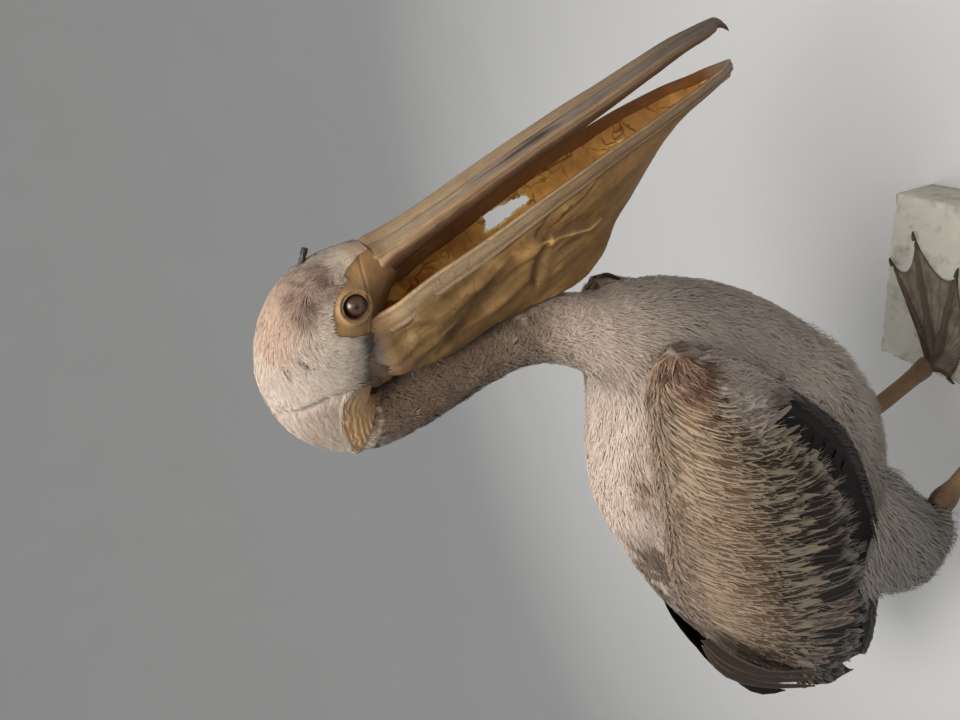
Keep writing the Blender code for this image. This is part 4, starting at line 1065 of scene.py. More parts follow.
# head
r0 = r1 - 6
p, uv, rr, cc = sample(sg[r0:], UVB[r0:], 0.00112 * thin)
t, ang = place_at(rr + r0, cc)
f = head_fields(p)
hole = np.zeros(len(p), bool)
for hy, hz, hr in HOLES:
    hole |= (np.hypot(p[:, 1] - hy, p[:, 2] - hz) < hr * 0.85) & (p[:, 0] < 0.0)
ok = (feathered(p, f) > 0.5) & ~hole & (p[:, 2] > 0.80) & (t < END_AT - 0.06)
p, uv, t, ang, f = p[ok], uv[ok], t[ok], ang[ok], {k: v[ok] for k, v in f.items()}
lie = lie_of(None, None, t, ang)
cheek = smooth(0.895, 0.878, p[:, 2]) * smooth(0.0, 0.006, f["cheek"]) * smooth(0.020, 0.030, np.abs(p[:, 0]))
lie = unit(lerp(lie, np.array([0.0, 0.10, -1.0]), (cheek * 0.9)[:, None]))
rearwards = smooth(0.0, 0.006, f["cheek"]) * smooth(0.878, 0.90, p[:, 2]) * smooth(0.012, 0.03, np.abs(p[:, 0])) * smooth(-0.215, -0.19, p[:, 1])
lie = unit(lerp(lie, np.array([0.0, 0.45, -1.0]), (rearwards * 0.6)[:, None]))
length = np.interp(p[:, 1], [-0.255, -0.235, -0.20, -0.14], [0.006, 0.009, 0.0125, 0.0125]) * rng.uniform(0.75, 1.2, len(p))
length = np.where(np.minimum(np.abs(f["bare"]), 1) < 0.006, length * 0.6, length)
split("coat_head", 2, [p, lie, length, 0.00062, (0.0008, 0.0014, 0.0017), marks(p), uv], HAIR, "plumage_head", curl=0.10, bend=0.16, clump=0.0034, roll=0.22, seed=300, sink=0.0003)
print("head tufts", len(p))

# thighs
vent_p, vent_uv = [BODY_P], [BODY_UV]
for side in ("left", "right"):
    grid = thigh_grid(side, 0.0055)
    guv = np.stack(np.broadcast_arrays(np.linspace(0.0, 0.46, 72)[None, :], np.linspace(0.96, 0.99, 40)[:, None]), -1).copy()
    guv[..., 0] += 0.01 if side == "left" else 0.51
    p, uv, rr, cc = sample(grid, guv, 0.0021 * thin)
    ok = on_skin(p)
    p, uv = p[ok], uv[ok]
    vent_p.append(p)
    vent_uv.append(uv)
    _, _, axis = thigh_frame(side)
    lie = unit(np.broadcast_to(-axis + np.array([0, 0.30, -0.2]), p.shape))
    low = smooth(0.27, 0.225, p[:, 2])
    length = lerp(0.026, 0.011, low) * rng.uniform(0.8, 1.2, len(p))
    lie = unit(lerp(lie, np.array([0.0, 0.8, -0.9]), (smooth(0.24, 0.30, p[:, 2]) * 0.8)[:, None]))
    me = tuft_mesh("coat_thigh_" + side, p, lie, length, 0.0014, (0.0026, 0.0044, 0.0048), marks(p), uv, curl=0.13, bend=0.20, clump=0.0080, roll=0.16, seed=400 + (side == "left"))
    piece("coat_thigh_" + side, me, COAT)

# long soft down over the vent, behind and between the thighs, and over the crease before them
p, uv = np.concatenate(vent_p), np.concatenate(vent_uv)
pick = rng.random(len(p)) < 0.74
p, uv = p[pick], uv[pick]
zone = smooth(-0.08, -0.02, p[:, 1]) * smooth(0.42, 0.36, p[:, 2]) * smooth(0.235, 0.262, p[:, 2]) * smooth(0.36, 0.28, p[:, 1])
pick = rng.random(len(p)) < 0.75 * zone
p, uv, zone = p[pick], uv[pick], zone[pick]
lie = np.broadcast_to(np.array([0.0, 0.95, -0.75]), p.shape) + rng.normal(0, 0.10, p.shape)
length = (0.030 + 0.018 * zone) * rng.uniform(0.75, 1.2, len(p))
me = tuft_mesh("coat_vent", p, lie, length, 0.0012, (0.0050, 0.0100, 0.0125), marks(p), uv, curl=0.16, bend=0.28, clump=0.011, roll=0.2, seed=450)
piece("coat_vent", me, COAT)
print("vent tufts", len(p))


# ---------------------------------------------------------------- vaned feathers
def vane_material():
    mat, tree, p = new_material("vane")
    v = attribute(tree, "vane", "Vector")
    sep = tree.nodes.new("ShaderNodeSeparateXYZ")
    tree.links.new(v, sep.inputs[0])
    ax, al, rd = sep.outputs
    mm = attribute(tree, "barb", "Fac")
    wide = attribute(tree, "wide", "Fac")
    comb = tree.nodes.new("ShaderNodeCombineXYZ")
    tree.links.new(maths(tree, "MULTIPLY", mm, 1.1), comb.inputs[0])
    tree.links.new(maths(tree, "MULTIPLY", ax, 0.9), comb.inputs[1])
    tree.links.new(maths(tree, "MULTIPLY", rd, 90.0), comb.inputs[2])
    barbs = noise_of(tree, 1.0, 2.0, comb.outputs[0], rough=0.6)
    comb2 = tree.nodes.new("ShaderNodeCombineXYZ")
    tree.links.new(maths(tree, "MULTIPLY", mm, 0.16), comb2.inputs[0])
    tree.links.new(maths(tree, "MULTIPLY", ax, 1.5), comb2.inputs[1])
    tree.links.new(maths(tree, "MULTIPLY", rd, 60.0), comb2.inputs[2])
    patchy = noise_of(tree, 1.0, 3.0, comb2.outputs[0])
    jag = maths(tree, "MULTIPLY", maths(tree, "ADD", maths(tree, "MULTIPLY", barbs, 0.6), maths(tree, "MULTIPLY", patchy, 0.7)), 0.75)
    edge = maths(tree, "ADD", maths(tree, "ABSOLUTE", ax), maths(tree, "ADD", jag, -0.48))
    inside = ramp(tree, maths(tree, "SUBTRACT", wide, edge), -0.13, 0.16)
    reach = maths(tree, "SUBTRACT", al, attribute(tree, "tipat", "Fac"))
    tip = ramp(tree, maths(tree, "ADD", reach, maths(tree, "MULTIPLY", jag, 0.16)), 0.0, 0.16, 1.0, 0.0)
    centre = maths(tree, "MULTIPLY", inside, tip)
    c = blend(tree, "MIX", centre, attribute(tree, "tint"), attribute(tree, "core"))
    c = blend(tree, "MULTIPLY", 1.0, c, blend(tree, "MIX", barbs, (0.68, 0.68, 0.68), (1.30, 1.30, 1.30)))
    shaft = ramp(tree, maths(tree, "ABSOLUTE", ax), 0.03, 0.09, 0.45, 0.0)
    c = blend(tree, "MIX", maths(tree, "MULTIPLY", shaft, tip), c, blend(tree, "MULTIPLY", 1.0, attribute(tree, "tint"), (0.95, 0.88, 0.80)))
    tree.links.new(c, p.inputs["Base Color"])
    p.inputs["Roughness"].default_value = 0.72
    p.inputs["Specular IOR Level"].default_value = 0.12
    bump(tree, p, barbs, 0.35, 0.0006)
    return mat


VANE = vane_material()


def vane_mesh(name, points, across, along_, rd, mm, wide, tint, core, uv, tipat):
    """Feathers from grids of points: points is (feather, along, across, 3)."""
    points = within(points)
    n, m, k = points.shape[:3]
    faces = grid_faces(m, k)
    # every vane faces away from the bird, and is lit much as the soft surface it is part of
    _, base, _ = nearest(skin_tree, points[:, ::2, ::2].reshape(-1, 3))
    base = base.reshape(n, (m + 1) // 2, (k + 1) // 2, 3)
    base = (base[:, :, :-1] + base[:, :, 1:]) / 2 if False else base
    fine = np.empty((n, m, k, 3))
    fine[:, ::2, ::2] = base
    fine[:, 1::2, ::2] = (base[:, :-1] + base[:, 1:]) / 2
    fine[:, :, 1::2] = (fine[:, :, :-1:2] + fine[:, :, 2::2]) / 2
    run = np.gradient(points, axis=1)
    over = np.gradient(points, axis=2)
    own = unit(np.cross(run, over))
    sign = np.sign((own * fine).sum(-1).mean((1, 2)))
    sign[sign == 0] = 1
    own = own * sign[:, None, None, None]
    first = np.cross(points[:, faces[0, 1] // k, faces[0, 1] % k] - points[:, 0, 0], points[:, faces[0, 2] // k, faces[0, 2] % k] - points[:, 0, 0])
    turn = (first * fine[:, 0, 0]).sum(-1) < 0
    quads = np.arange(n)[:, None, None] * (m * k) + np.where(turn[:, None, None], faces[None, :, ::-1], faces[None])
    me = mesh_of(name, points.reshape(-1, 3), quads.reshape(-1, 4))
    agree = smooth(0.0, 0.5, (own * fine).sum(-1))[..., None]
    me.normals_split_custom_set_from_vertices(unit(fine * 0.62 * agree + own * (1 - 0.62 * agree)).reshape(-1, 3))
    full = (n, m, k)
    note(me, "vane", np.stack([np.broadcast_to(v, full) for v in (across, along_, rd)], -1).reshape(-1, 3))
    note(me, "barb", np.broadcast_to(mm, full).ravel())
    note(me, "wide", np.broadcast_to(wide, full).ravel())
    note(me, "tipat", np.broadcast_to(tipat, full).ravel())
    paint(me, np.broadcast_to(tint, full + (3,)).reshape(-1, 3))
    paint(me, np.broadcast_to(core, full + (3,)).reshape(-1, 3), "core")
    me.color_attributes.active_color = me.color_attributes["tint"]
    uv_map(me, np.broadcast_to(uv, full + (2,)).reshape(-1, 2))
    return me


def height_map():
    """Distance of the folded wing's face from the middle, and its place a, over (y, z)."""
    ny, nz, step, y0, z0 = 400, 260, 0.002, -0.20, 0.14
    a, b = np.meshgrid(np.linspace(0, 1, 1200), np.linspace(0, 1, 500), indexing="ij")
    top, low = curve(WING_TOP, a), curve(WING_LOW, a)
    y, z = lerp(top[..., 1], low[..., 1], b), lerp(top[..., 2], low[..., 2], b)
    out = along(WING_OUT, a)
    out = out - ((out - top[..., 0]) * np.maximum(0, 1 - b / 0.5) ** 2 + (out - low[..., 0]) * np.maximum(0, (b - 0.5) / 0.5) ** 2)
    i, j = ((y - y0) / step).round().astype(int), ((z - z0) / step).round().astype(int)
    count, so, sA, sB = np.zeros((4, ny, nz))
    np.add.at(count, (i, j), 1)
    np.add.at(so, (i, j), out)
    np.add.at(sA, (i, j), a)
    np.add.at(sB, (i, j), b)
    known = count > 0
    maps = [np.where(known, s / np.maximum(count, 1), 0) for s in (so, sA, sB)]
    inside = known.copy()
    for _ in range(34):
        grow = np.zeros_like(count)
        sums = [np.zeros_like(count) for _ in maps]
        for di, dj in ((1, 0), (-1, 0), (0, 1), (0, -1)):
            k = np.roll(known, (di, dj), (0, 1))
            grow += k
            for s, m in zip(sums, maps):
                s += np.roll(m, (di, dj), (0, 1)) * k
        new = ~known & (grow > 0)
        for s, m in zip(sums, maps):
            m[new] = s[new] / grow[new]
        known |= new
    # a little smoothing
    for m in maps[:1]:
        for _ in range(3):
            m[1:-1, 1:-1] = (m[1:-1, 1:-1] * 4 + m[2:, 1:-1] + m[:-2, 1:-1] + m[1:-1, 2:] + m[1:-1, :-2]) / 8
    return maps, (y0, z0, step), inside


HMAP, (HY, HZ, HS), HIN = height_map()


def look(m, y, z):
    u, v = (y - HY) / HS, (z - HZ) / HS
    u, v = np.clip(u, 0, m.shape[0] - 1.001), np.clip(v, 0, m.shape[1] - 1.001)
    i, j = u.astype(int), v.astype(int)
    u, v = u - i, v - j
    return (m[i, j] * (1 - u) + m[i + 1, j] * u) * (1 - v) + (m[i, j + 1] * (1 - u) + m[i + 1, j + 1] * u) * v


def to_side(y, z, out, side):
    """Points of a folded wing from their places over its face."""
    a = look(HMAP[1], y, z)
    sign = -1 if side == "right" else 1
    shift = WING_SHIFT[side]
    return turned(np.stack([sign * out + shift[0], y + shift[1], z + WING_LIFT[side] * a * a + shift[2]], -1))


def wing_lie(a, b):
    """Angle of the feathers from straight down towards the tail."""
    deg = 9 + 40 * np.exp(-np.maximum(b, 0) / 0.13) + 46 * smooth(0.62, 0.86, a) + 26 * smooth(0.14, 0.0, a)
    return np.radians(np.minimum(deg, 68))


VM, VK = 9, 5
V_S = np.linspace(0, 1, VM)
V_X = np.linspace(-1, 1, VK)


def feathers(side, y, z, lie, length, width, r, pointed=2.2, root=-0.0030, tip=0.0012, camber=0.0010, bend=0.0, out=None, fan=0.0012):
    """Grids of feathers rooted at (y, z) on the wing's face."""
    n = len(y)
    length, width, lie = (np.broadcast_to(v, n) for v in (length, width, lie))
    s = V_S[None, :, None]
    x = V_X[None, None, :]
    lie0 = lie[:, None, None]
    kappa = (np.broadcast_to(bend, n) + r.normal(0, 0.10, n))[:, None, None]
    ang = lie0 + kappa * s
    # the run of the shaft
    step = (length / (VM - 1))[:, None]
    cy = y[:, None] + np.concatenate([np.zeros((n, 1)), np.cumsum(np.sin(ang[:, 1:, 0]) * step, 1)], 1)
    cz = z[:, None] - np.concatenate([np.zeros((n, 1)), np.cumsum(np.cos(ang[:, 1:, 0]) * step, 1)], 1)
    w = (width / 2)[:, None] * np.minimum(1, 0.50 + 1.5 * V_S)[None] * (1 - V_S[None] ** pointed * 0.985) ** 0.62
    w = w[:, :, None] * (1 + 0.10 * (r.random((n, VM, VK)) - 0.5))
    py = cy[:, :, None] + np.cos(ang) * w * x
    pz = cz[:, :, None] + np.sin(ang) * w * x
    base = look(HMAP[0], py, pz) if out is None else out
    roll = r.normal(0, fan * 0.4, n)[:, None, None] + fan
    lift = root + (tip - root) * s ** 0.8 + r.uniform(-0.0004, 0.0006, n)[:, None, None] + r.normal(0, 0.0009, n)[:, None, None] * s**2
    x_out = base + lift - camber * x * x + roll * x * np.minimum(1, 2 * s)
    return to_side(py, pz, x_out, side), (py, pz)


def row_uv(row, rows, count):
    """A cell for each feather of a row, in the order of their roots."""
    i = np.arange(count)[:, None, None]
    u = (i + 0.5 + 0.44 * V_X[None, None, :] * np.ones((1, VM, 1))) / count
    v = (row + 0.05 + 0.90 * V_S[None, :, None] * np.ones((1, 1, VK))) / rows + 0 * u
    return np.stack([u + 0 * v, v], -1)


def fringe(name, side, y, z, lie, length, width, colour, uv, mat, r, lifts=0.0007):
    """Loose barbs past the edges and tips of feathers."""
    n = len(y)
    length = np.minimum(np.broadcast_to(length, n), 0.016)
    pts = []
    for k in range(4):
        s = k / 3
        yy = y + np.sin(lie) * length * s
        zz = z - np.cos(lie) * length * s
        pts.append((yy, zz, look(HMAP[0], yy, zz) + lifts * (0.6 + 0.7 * s) + r.normal(0, 0.0004, n)))
    verts = np.empty((n, 7, 3))
    for k in range(3):
        yy, zz, oo = pts[k]
        w = width * (0.7, 1.0, 0.7)[k] / 2
        verts[:, 2 * k] = to_side(yy - np.cos(lie) * w, zz - np.sin(lie) * w, oo, side)
        verts[:, 2 * k + 1] = to_side(yy + np.cos(lie) * w, zz + np.sin(lie) * w, oo, side)
    verts[:, 6] = to_side(*pts[3], side)
    verts = within(verts)
    base = np.arange(n)[:, None] * 7
    nor = nearest(skin_tree, verts[:, 2])[1]
    away = (np.cross(verts[:, 1] - verts[:, 0], verts[:, 2] - verts[:, 0]) * nor).sum(1) > 0
    q1 = np.where(away[:, None, None], np.array([[0, 1, 3, 2], [2, 3, 5, 4]]), np.array([[0, 2, 3, 1], [2, 4, 5, 3]])) + base[:, :, None]
    t1 = np.where(away[:, None], np.array([4, 5, 6]), np.array([4, 6, 5])) + base
    me = mesh_of(name, verts, q1.reshape(-1, 4), t1)
    me.normals_split_custom_set_from_vertices(np.repeat(nor, 7, 0))
    # roots a little darker than the tips: partly grey down, partly painted shade under the overlapping feathers
    shade = np.array((0.95, 0.95, 1.0, 1.0, 1.02, 1.02, 1.02))[None, :, None]
    paint(me, (colour[:, None, :] * shade).reshape(-1, 3))
    patch = 0.0030 * np.array(((0.1, 0.0), (0.9, 0.0), (0.1, 0.35), (0.9, 0.35), (0.1, 0.7), (0.9, 0.7), (0.5, 1.0)))
    uv_map(me, (uv[:, None, :] + patch[None]).reshape(-1, 2))
    return piece(name, me, mat)


def wing_tones(a, b, r=None):
    """(fringe, centre, width of the centre) of the wing's feathers at a place."""
    a, b = np.broadcast_arrays(a, b)
    w = lambda v: np.asarray(v)[..., None]
    fr = np.broadcast_to(srgb(178, 156, 132), a.shape + (3,))
    co = np.broadcast_to(srgb(112, 90, 70), a.shape + (3,))
    low = w(smooth(0.24, 0.46, b))
    fr = lerp(fr, srgb(172, 156, 134), low)
    co = lerp(co, srgb(60, 47, 37), low)
    lower = w(smooth(0.60, 0.76, b))
    fr = lerp(fr, srgb(138, 130, 120), lower)
    co = lerp(co, srgb(44, 37, 32), lower)
    wide = 0.26 + 0.44 * smooth(0.10, 0.36, b) + 0.32 * smooth(0.56, 0.70, b)
    # painted shade: the lower part of the wing darker, as the light falls from above
    shade = w(smooth(0.22, 0.46, b))
    fr, co = fr * (1 - 0.27 * shade), co * (1 - 0.34 * shade)
    wrist = w(smooth(0.19, 0.07, a) * smooth(0.50, 0.34, b))
    fr = lerp(fr, srgb(158, 128, 106), wrist * 0.8)
    co = lerp(co, srgb(104, 76, 60), wrist)
    dusk = w(smooth(0.15, 0.06, a) * smooth(0.46, 0.36, b) * smooth(0.12, 0.24, b))
    fr = lerp(fr, srgb(112, 88, 72), dusk)
    co = lerp(co, srgb(74, 54, 44), dusk)
    wide = wide + 0.15 * wrist[..., 0]
    pale = w(smooth(0.25, 0.14, a) * smooth(0.42, 0.58, b))
    fr = lerp(fr, srgb(182, 168, 157), pale)
    co = lerp(co, srgb(146, 130, 119), pale)
    wide = wide * (1 - 0.6 * pale[..., 0])
    rear = w(smooth(0.68, 0.84, a) * smooth(0.55, 0.35, b))
    fr = lerp(fr, srgb(128, 106, 88), rear)
    co = lerp(co, srgb(64, 49, 40), rear)
    wide = wide + 0.30 * rear[..., 0]
    return fr, co, wide


TIP_LINE = ((0.0, 0.48), (0.10, 0.57), (0.20, 0.64), (0.25, 0.69), (0.31, 0.75), (0.37, 0.80), (0.47, 0.83), (0.57, 0.86), (0.68, 0.90), (0.80, 0.93), (1.0, 0.97))


def make_wing(side):
    r = np.random.default_rng(700 + (side == "left"))
    groups, loose = [], []
    plan = []
    for b in (0.40, 0.475):
        plan.append((b, None, 0.0260, 0.52, 3.4, 0.22))
    plan.append((0.335, 0.052, 0.0150, 0.55, 2.2, 0.06))
    plan.append((0.370, 0.066, 0.0110, 1.25, 1.25, 0.80))
    plan.append((0.290, 0.072, 0.0120, 1.05, 1.25, 0.75))
    for k in range(6):
        plan.append((0.255 - 0.047 * k, 0.046 - 0.0020 * k, 0.0125 - 0.0006 * k, 0.55, 2.2, 0.16))
    rows = len(plan) + 4
    for row, (b, length, width, lap, pointed, shown) in enumerate(plan):
        count = int(0.70 / (width * lap))
        a = (np.arange(count) + 0.5 + r.uniform(-0.22, 0.22, count)) / count
        bb = b + r.uniform(-0.007, 0.007, count) * (1 + 1.5 * (length is None))
        top, low = curve(WING_TOP, a), curve(WING_LOW, a)
        y, z = lerp(top[:, 1], low[:, 1], bb), lerp(top[:, 2], low[:, 2], bb)
        high = np.hypot(top[:, 1] - low[:, 1], top[:, 2] - low[:, 2])
        lie = wing_lie(a, bb) + r.normal(0, 0.09, count)
        if length is None:
            end = np.interp(a, *zip(*TIP_LINE)) + r.normal(0, 0.010, count)
            size = np.clip((end - bb) * high / np.cos(np.minimum(lie, 0.9)), 0.030, 0.140)
        else:
            size = length * (r.uniform(0.74, 1.28, count) if lap > 1 else r.uniform(0.86, 1.16, count)) * (1 + 0.5 * smooth(0.70, 0.84, a))
            size = size * (0.62 + 0.38 * smooth(0.03, 0.20, a)) * (0.55 + 0.45 * smooth(0.0, 0.08, high))
        wid = width * r.uniform(0.88, 1.14, count) * (0.60 + 0.40 * smooth(0.02, 0.16, a)) * (1 + 0.35 * smooth(0.72, 0.84, a))
        fr, co, wide = wing_tones(a, bb + (0.75 * size - 0.004) / np.maximum(high, 0.05))
        tone = r.uniform(0.84, 1.14, (count, 1)) * (0.92 + 0.16 * fbm(np.stack([a * 9, bb * 9, a * 0], -1), 1.0, 5)[:, None])
        fr, co = fr * tone, co * r.uniform(0.80, 1.25, (count, 1))
        keep = ~((a < 0.13) & (bb > 0.46)) & (high > 0.03) & (a < 0.93) & ~((lap > 1) & ((a < 0.10) | (r.random(count) < 0.12)))
        deep = 0.0020 * smooth(0.25, 0.5, bb.mean())
        pts, _ = feathers(side, y, z, lie, size, wid, r, pointed=pointed * r.uniform(0.85, 1.2), root=-0.0034 - deep, tip=0.0012 - deep)
        tipat = np.broadcast_to((1 - shown * r.uniform(0.30, 0.75, count))[:, None, None], pts.shape[:3])
        mm = (V_S[None, :, None] * size[:, None, None] - 0.9 * np.abs(V_X)[None, None, :] * wid[:, None, None] / 2) * 1000
        groups.append((pts, np.broadcast_to(V_X[None, None, :], pts.shape[:3]), np.broadcast_to(V_S[None, :, None], pts.shape[:3]), np.broadcast_to(r.random(count)[:, None, None], pts.shape[:3]),
                       np.broadcast_to(mm, pts.shape[:3]), np.broadcast_to((wide * r.uniform(0.6, 1.35, count))[:, None, None], pts.shape[:3]),
                       np.broadcast_to(fr[:, None, None, :], pts.shape), np.broadcast_to(co[:, None, None, :], pts.shape), row_uv(row, rows, count), tipat))
        groups[-1] = tuple(v[keep] for v in groups[-1])
        # loose barbs at the tip and along the edges
        many = 5 if length else 12
        s = np.clip(1 - r.random((count, many)) ** 1.4 * shown * 1.1, 0.2, 0.97)
        e = r.choice([-1.0, 1.0], (count, many)) * (1 - s**2.2) ** 0.62 * r.uniform(0.55, 0.95, (count, many))
        l2 = lie[:, None]
        sy = y[:, None] + np.sin(l2) * size[:, None] * s + np.cos(l2) * e * wid[:, None] / 2
        sz = z[:, None] - np.cos(l2) * size[:, None] * s + np.sin(l2) * e * wid[:, None] / 2
        sl = l2 + e * 0.45 + r.normal(0, 0.12, (count, many))
        sc = fr[:, None, :] * r.uniform(0.85, 1.15, (count, many, 1))
        u = ((np.arange(count)[:, None] + 0.5) / count + 0 * s) * 0.99
        v = (row + 0.3) / rows + 0 * s
        inner = smooth(0.16, -0.10, np.abs(e) - wide[:, None] * 0.8) * smooth(0.03, -0.06, s - (1 - 0.55 * shown))
        sc = lerp(sc, co[:, None, :] * 1.05, inner[..., None])
        many_keep = np.repeat(keep, many)
        part = (sy.ravel(), sz.ravel(), sl.ravel(), (size[:, None] * r.uniform(0.12, 0.24, (count, many))).ravel(), sc.reshape(-1, 3), np.stack([u.ravel(), v.ravel()], -1))
        loose.append(tuple(v[many_keep] for v in part))
    return groups, loose, rows, r


def stack_vanes(name, groups, replaces=()):
    groups = [g if len(g) == 10 else g + (np.full(g[0].shape[:3], 0.86),) for g in groups]
    parts = [np.concatenate([g[i] for g in groups]) for i in range(10)]
    return piece(name, vane_mesh(name, *parts), VANE, replaces)


def long_feathers(side, spec, r, rows, row):
    """Flight feathers laid along the lower edge: (a0, b0, a1, b1, width, lift, fringe, centre, width of centre)."""
    n, m = len(spec), VM
    spec = np.array([s[:6] for s in spec])
    s = V_S[None, :]
    a = spec[:, 0:1] + (spec[:, 2:3] - spec[:, 0:1]) * s
    b = spec[:, 1:2] + (spec[:, 3:4] - spec[:, 1:2]) * s
    top, low = curve(WING_TOP, a), curve(WING_LOW, a)
    over = np.maximum(a - 1, 0)[..., None]
    low = low + over * 0.55 * np.array([0, 0.88, -0.30])
    top = top + over * 0.55 * np.array([0, 0.88, -0.60])
    cy, cz = lerp(top[..., 1], low[..., 1], b), lerp(top[..., 2], low[..., 2], b)
    dy, dz = np.gradient(cy, axis=1), np.gradient(cz, axis=1)
    h = np.hypot(dy, dz)
    dy, dz = dy / h, dz / h
    w = (spec[:, 4:5] / 2) * np.minimum(1, 0.45 + 2.2 * s) * (1 - s**5 * 0.98) ** 0.6
    py = cy[..., None] + (-dz)[..., None] * w[..., None] * V_X
    pz = cz[..., None] + dy[..., None] * w[..., None] * V_X
    out = look(HMAP[0], py, pz) + spec[:, 5][:, None, None] - 0.0008 * V_X**2 + 0.0012 * V_X
    length = (h.sum(1))[:, None, None]
    mm = (V_S[None, :, None] * length - 0.9 * np.abs(V_X) * w[..., None]) * 1000
    pts = to_side(py, pz, out, side)
    return pts, mm, row_uv(row, rows, n)


def wing_pieces(side):
    groups, loose, rows, r = make_wing(side)
    black, edge = srgb(24, 22, 22), srgb(40, 35, 33)
    spec = []
    for k in range(10):
        spec.append((0.150 + 0.024 * k, 0.66 + 0.024 * k, 0.50 + 0.046 * k, 0.965 - 0.004 * k, 0.036 - 0.0016 * k, -0.0034 + 0.00014 * k))
    pts, mm, uv = long_feathers(side, spec, r, rows, rows - 4)
    n = len(spec)
    full = pts.shape[:3]
    groups.append((pts, np.broadcast_to(V_X, full), np.broadcast_to(V_S[None, :, None], full), np.broadcast_to(r.random(n)[:, None, None], full), np.broadcast_to(mm, full),
                   np.full(full, 0.95), np.broadcast_to(edge * 0.7, pts.shape), np.broadcast_to(black * 0.9, pts.shape), uv, np.full(full, 1.3)))
    # the barred tertials over the rear of the wing
    n = 14
    a = np.linspace(0.62, 0.87, n) + r.normal(0, 0.008, n)
    b = np.linspace(0.64, 0.16, n) + r.normal(0, 0.02, n)
    top, low = curve(WING_TOP, a), curve(WING_LOW, a)
    y, z = lerp(top[:, 1], low[:, 1], b), lerp(top[:, 2], low[:, 2], b)
    size = np.linspace(0.075, 0.105, n)
    wid = np.full(n, 0.019)
    lie = np.radians(np.linspace(30, 42, n) + r.normal(0, 4, n))
    pts, _ = feathers(side, y, z, lie, size, wid, r, pointed=3.0, root=-0.0040, tip=0.0014, camber=0.0012, bend=-0.10)
    mm = (V_S[None, :, None] * size[:, None, None] - 0.9 * np.abs(V_X)[None, None, :] * wid[:, None, None] / 2) * 1000
    full = pts.shape[:3]
    bars = np.where((np.arange(VM)[None, :] + np.arange(n)[:, None]) % 2 == 0, 1.12, 0.70)[:, :, None, None]
    pale = np.array([srgb(150, 132, 121) * t for t in r.uniform(0.8, 1.1, n)])[:, None, None] * bars
    deep = np.array([srgb(92, 77, 68) * t for t in r.uniform(0.8, 1.3, n)])[:, None, None] * bars
    groups.append((pts, np.broadcast_to(V_X, full), np.broadcast_to(V_S[None, :, None], full), np.broadcast_to(r.random(n)[:, None, None], full), np.broadcast_to(mm, full),
                   np.full(full, 0.66), np.broadcast_to(pale, pts.shape), np.broadcast_to(deep, pts.shape), row_uv(rows - 3, rows, n)))
    # the longest inner feathers, and the folded tips of the left wing, pass over the rump
    sx = -1.0 if side == "right" else 1.0
    runs = [((sx * 0.052, 0.30, 0.520), (sx * 0.050, 0.36, 0.478), (sx * 0.046, 0.42, 0.415), (sx * 0.042, 0.462, 0.335), 0.024, 0),
            ((sx * 0.044, 0.32, 0.512), (sx * 0.040, 0.385, 0.470), (sx * 0.036, 0.445, 0.405), (sx * 0.034, 0.490, 0.322), 0.024, 0),
            ((sx * 0.036, 0.33, 0.508), (sx * 0.031, 0.405, 0.468), (sx * 0.027, 0.468, 0.400), (sx * 0.026, 0.515, 0.315), 0.022, 0)]
    if side == "left":
        runs += [((0.034, 0.290, 0.522), (0.031, 0.335, 0.507), (0.024, 0.395, 0.479), (0.016, 0.455, 0.443), 0.014, 1),
                 ((0.030, 0.350, 0.495), (0.026, 0.405, 0.472), (0.020, 0.452, 0.446), (0.012, 0.492, 0.410), 0.014, 1),
                 ((0.026, 0.420, 0.446), (0.020, 0.480, 0.418), (0.012, 0.524, 0.384), (0.004, 0.541, 0.340), 0.017, 1),
                 ((0.034, 0.415, 0.440), (0.032, 0.465, 0.405), (0.026, 0.505, 0.365), (0.020, 0.524, 0.320), 0.017, 1)]
    for number, (*nodes, wd, dark) in enumerate(runs):
        line = curve(np.array(nodes), np.linspace(0, 1, VM))
        run = unit(np.gradient(line, axis=0))
        face = unit(np.array([sx * 0.8 if not dark else -0.60, 0.10 if not dark else -0.30, 0.55]))
        across_ = unit(np.cross(run, face))
        ww = (wd / 2 * np.minimum(1, 0.5 + 1.6 * V_S) * (1 - V_S**3.4 * 0.98) ** 0.6)[:, None, None]
        pts = (line[:, None] + across_[:, None] * ww * V_X[None, :, None] + np.cross(across_, run)[:, None] * (-0.0016 * V_X[None, :, None] ** 2))[None]
        full = pts.shape[:3]
        long_ = np.linalg.norm(np.diff(line, axis=0), axis=1).sum()
        mm = (V_S[:, None] * long_ - 0.9 * np.abs(V_X)[None, :] * ww[..., 0]) * 1000
        tone_a, tone_b = (srgb(52, 46, 43), srgb(32, 28, 28)) if dark else (srgb(98, 82, 69), srgb(62, 50, 42))
        groups.append((pts, np.broadcast_to(V_X, full), np.broadcast_to(V_S[None, :, None], full), np.full(full, 0.1 + 0.1 * number), np.broadcast_to(mm, full),
                       np.full(full, 0.9 if dark else 0.74), np.broadcast_to(tone_a, pts.shape), np.broadcast_to(tone_b, pts.shape), row_uv(rows - 2 + dark, rows, 8)[number : number + 1], np.full(full, 1.3 if dark else 0.93)))
    stack_vanes("feathers_wing_" + side, groups, ("wing_" + side,))
    y, z, lie, length, colour, uv = (np.concatenate([g[i] for g in loose]) for i in range(6))
    keep = r.random(len(y)) < max(DENSE, 0.5)
    keep = keep & (y < 0.530)
    fringe("barbs_wing_" + side, side, y[keep], z[keep], lie[keep], length[keep], 0.00065, colour[keep], uv[keep], COAT, r)
    print("wing", side, sum(len(g[0]) for g in groups), "feathers", keep.sum(), "barbs")


for side in ("right", "left"):
    wing_pieces(side)

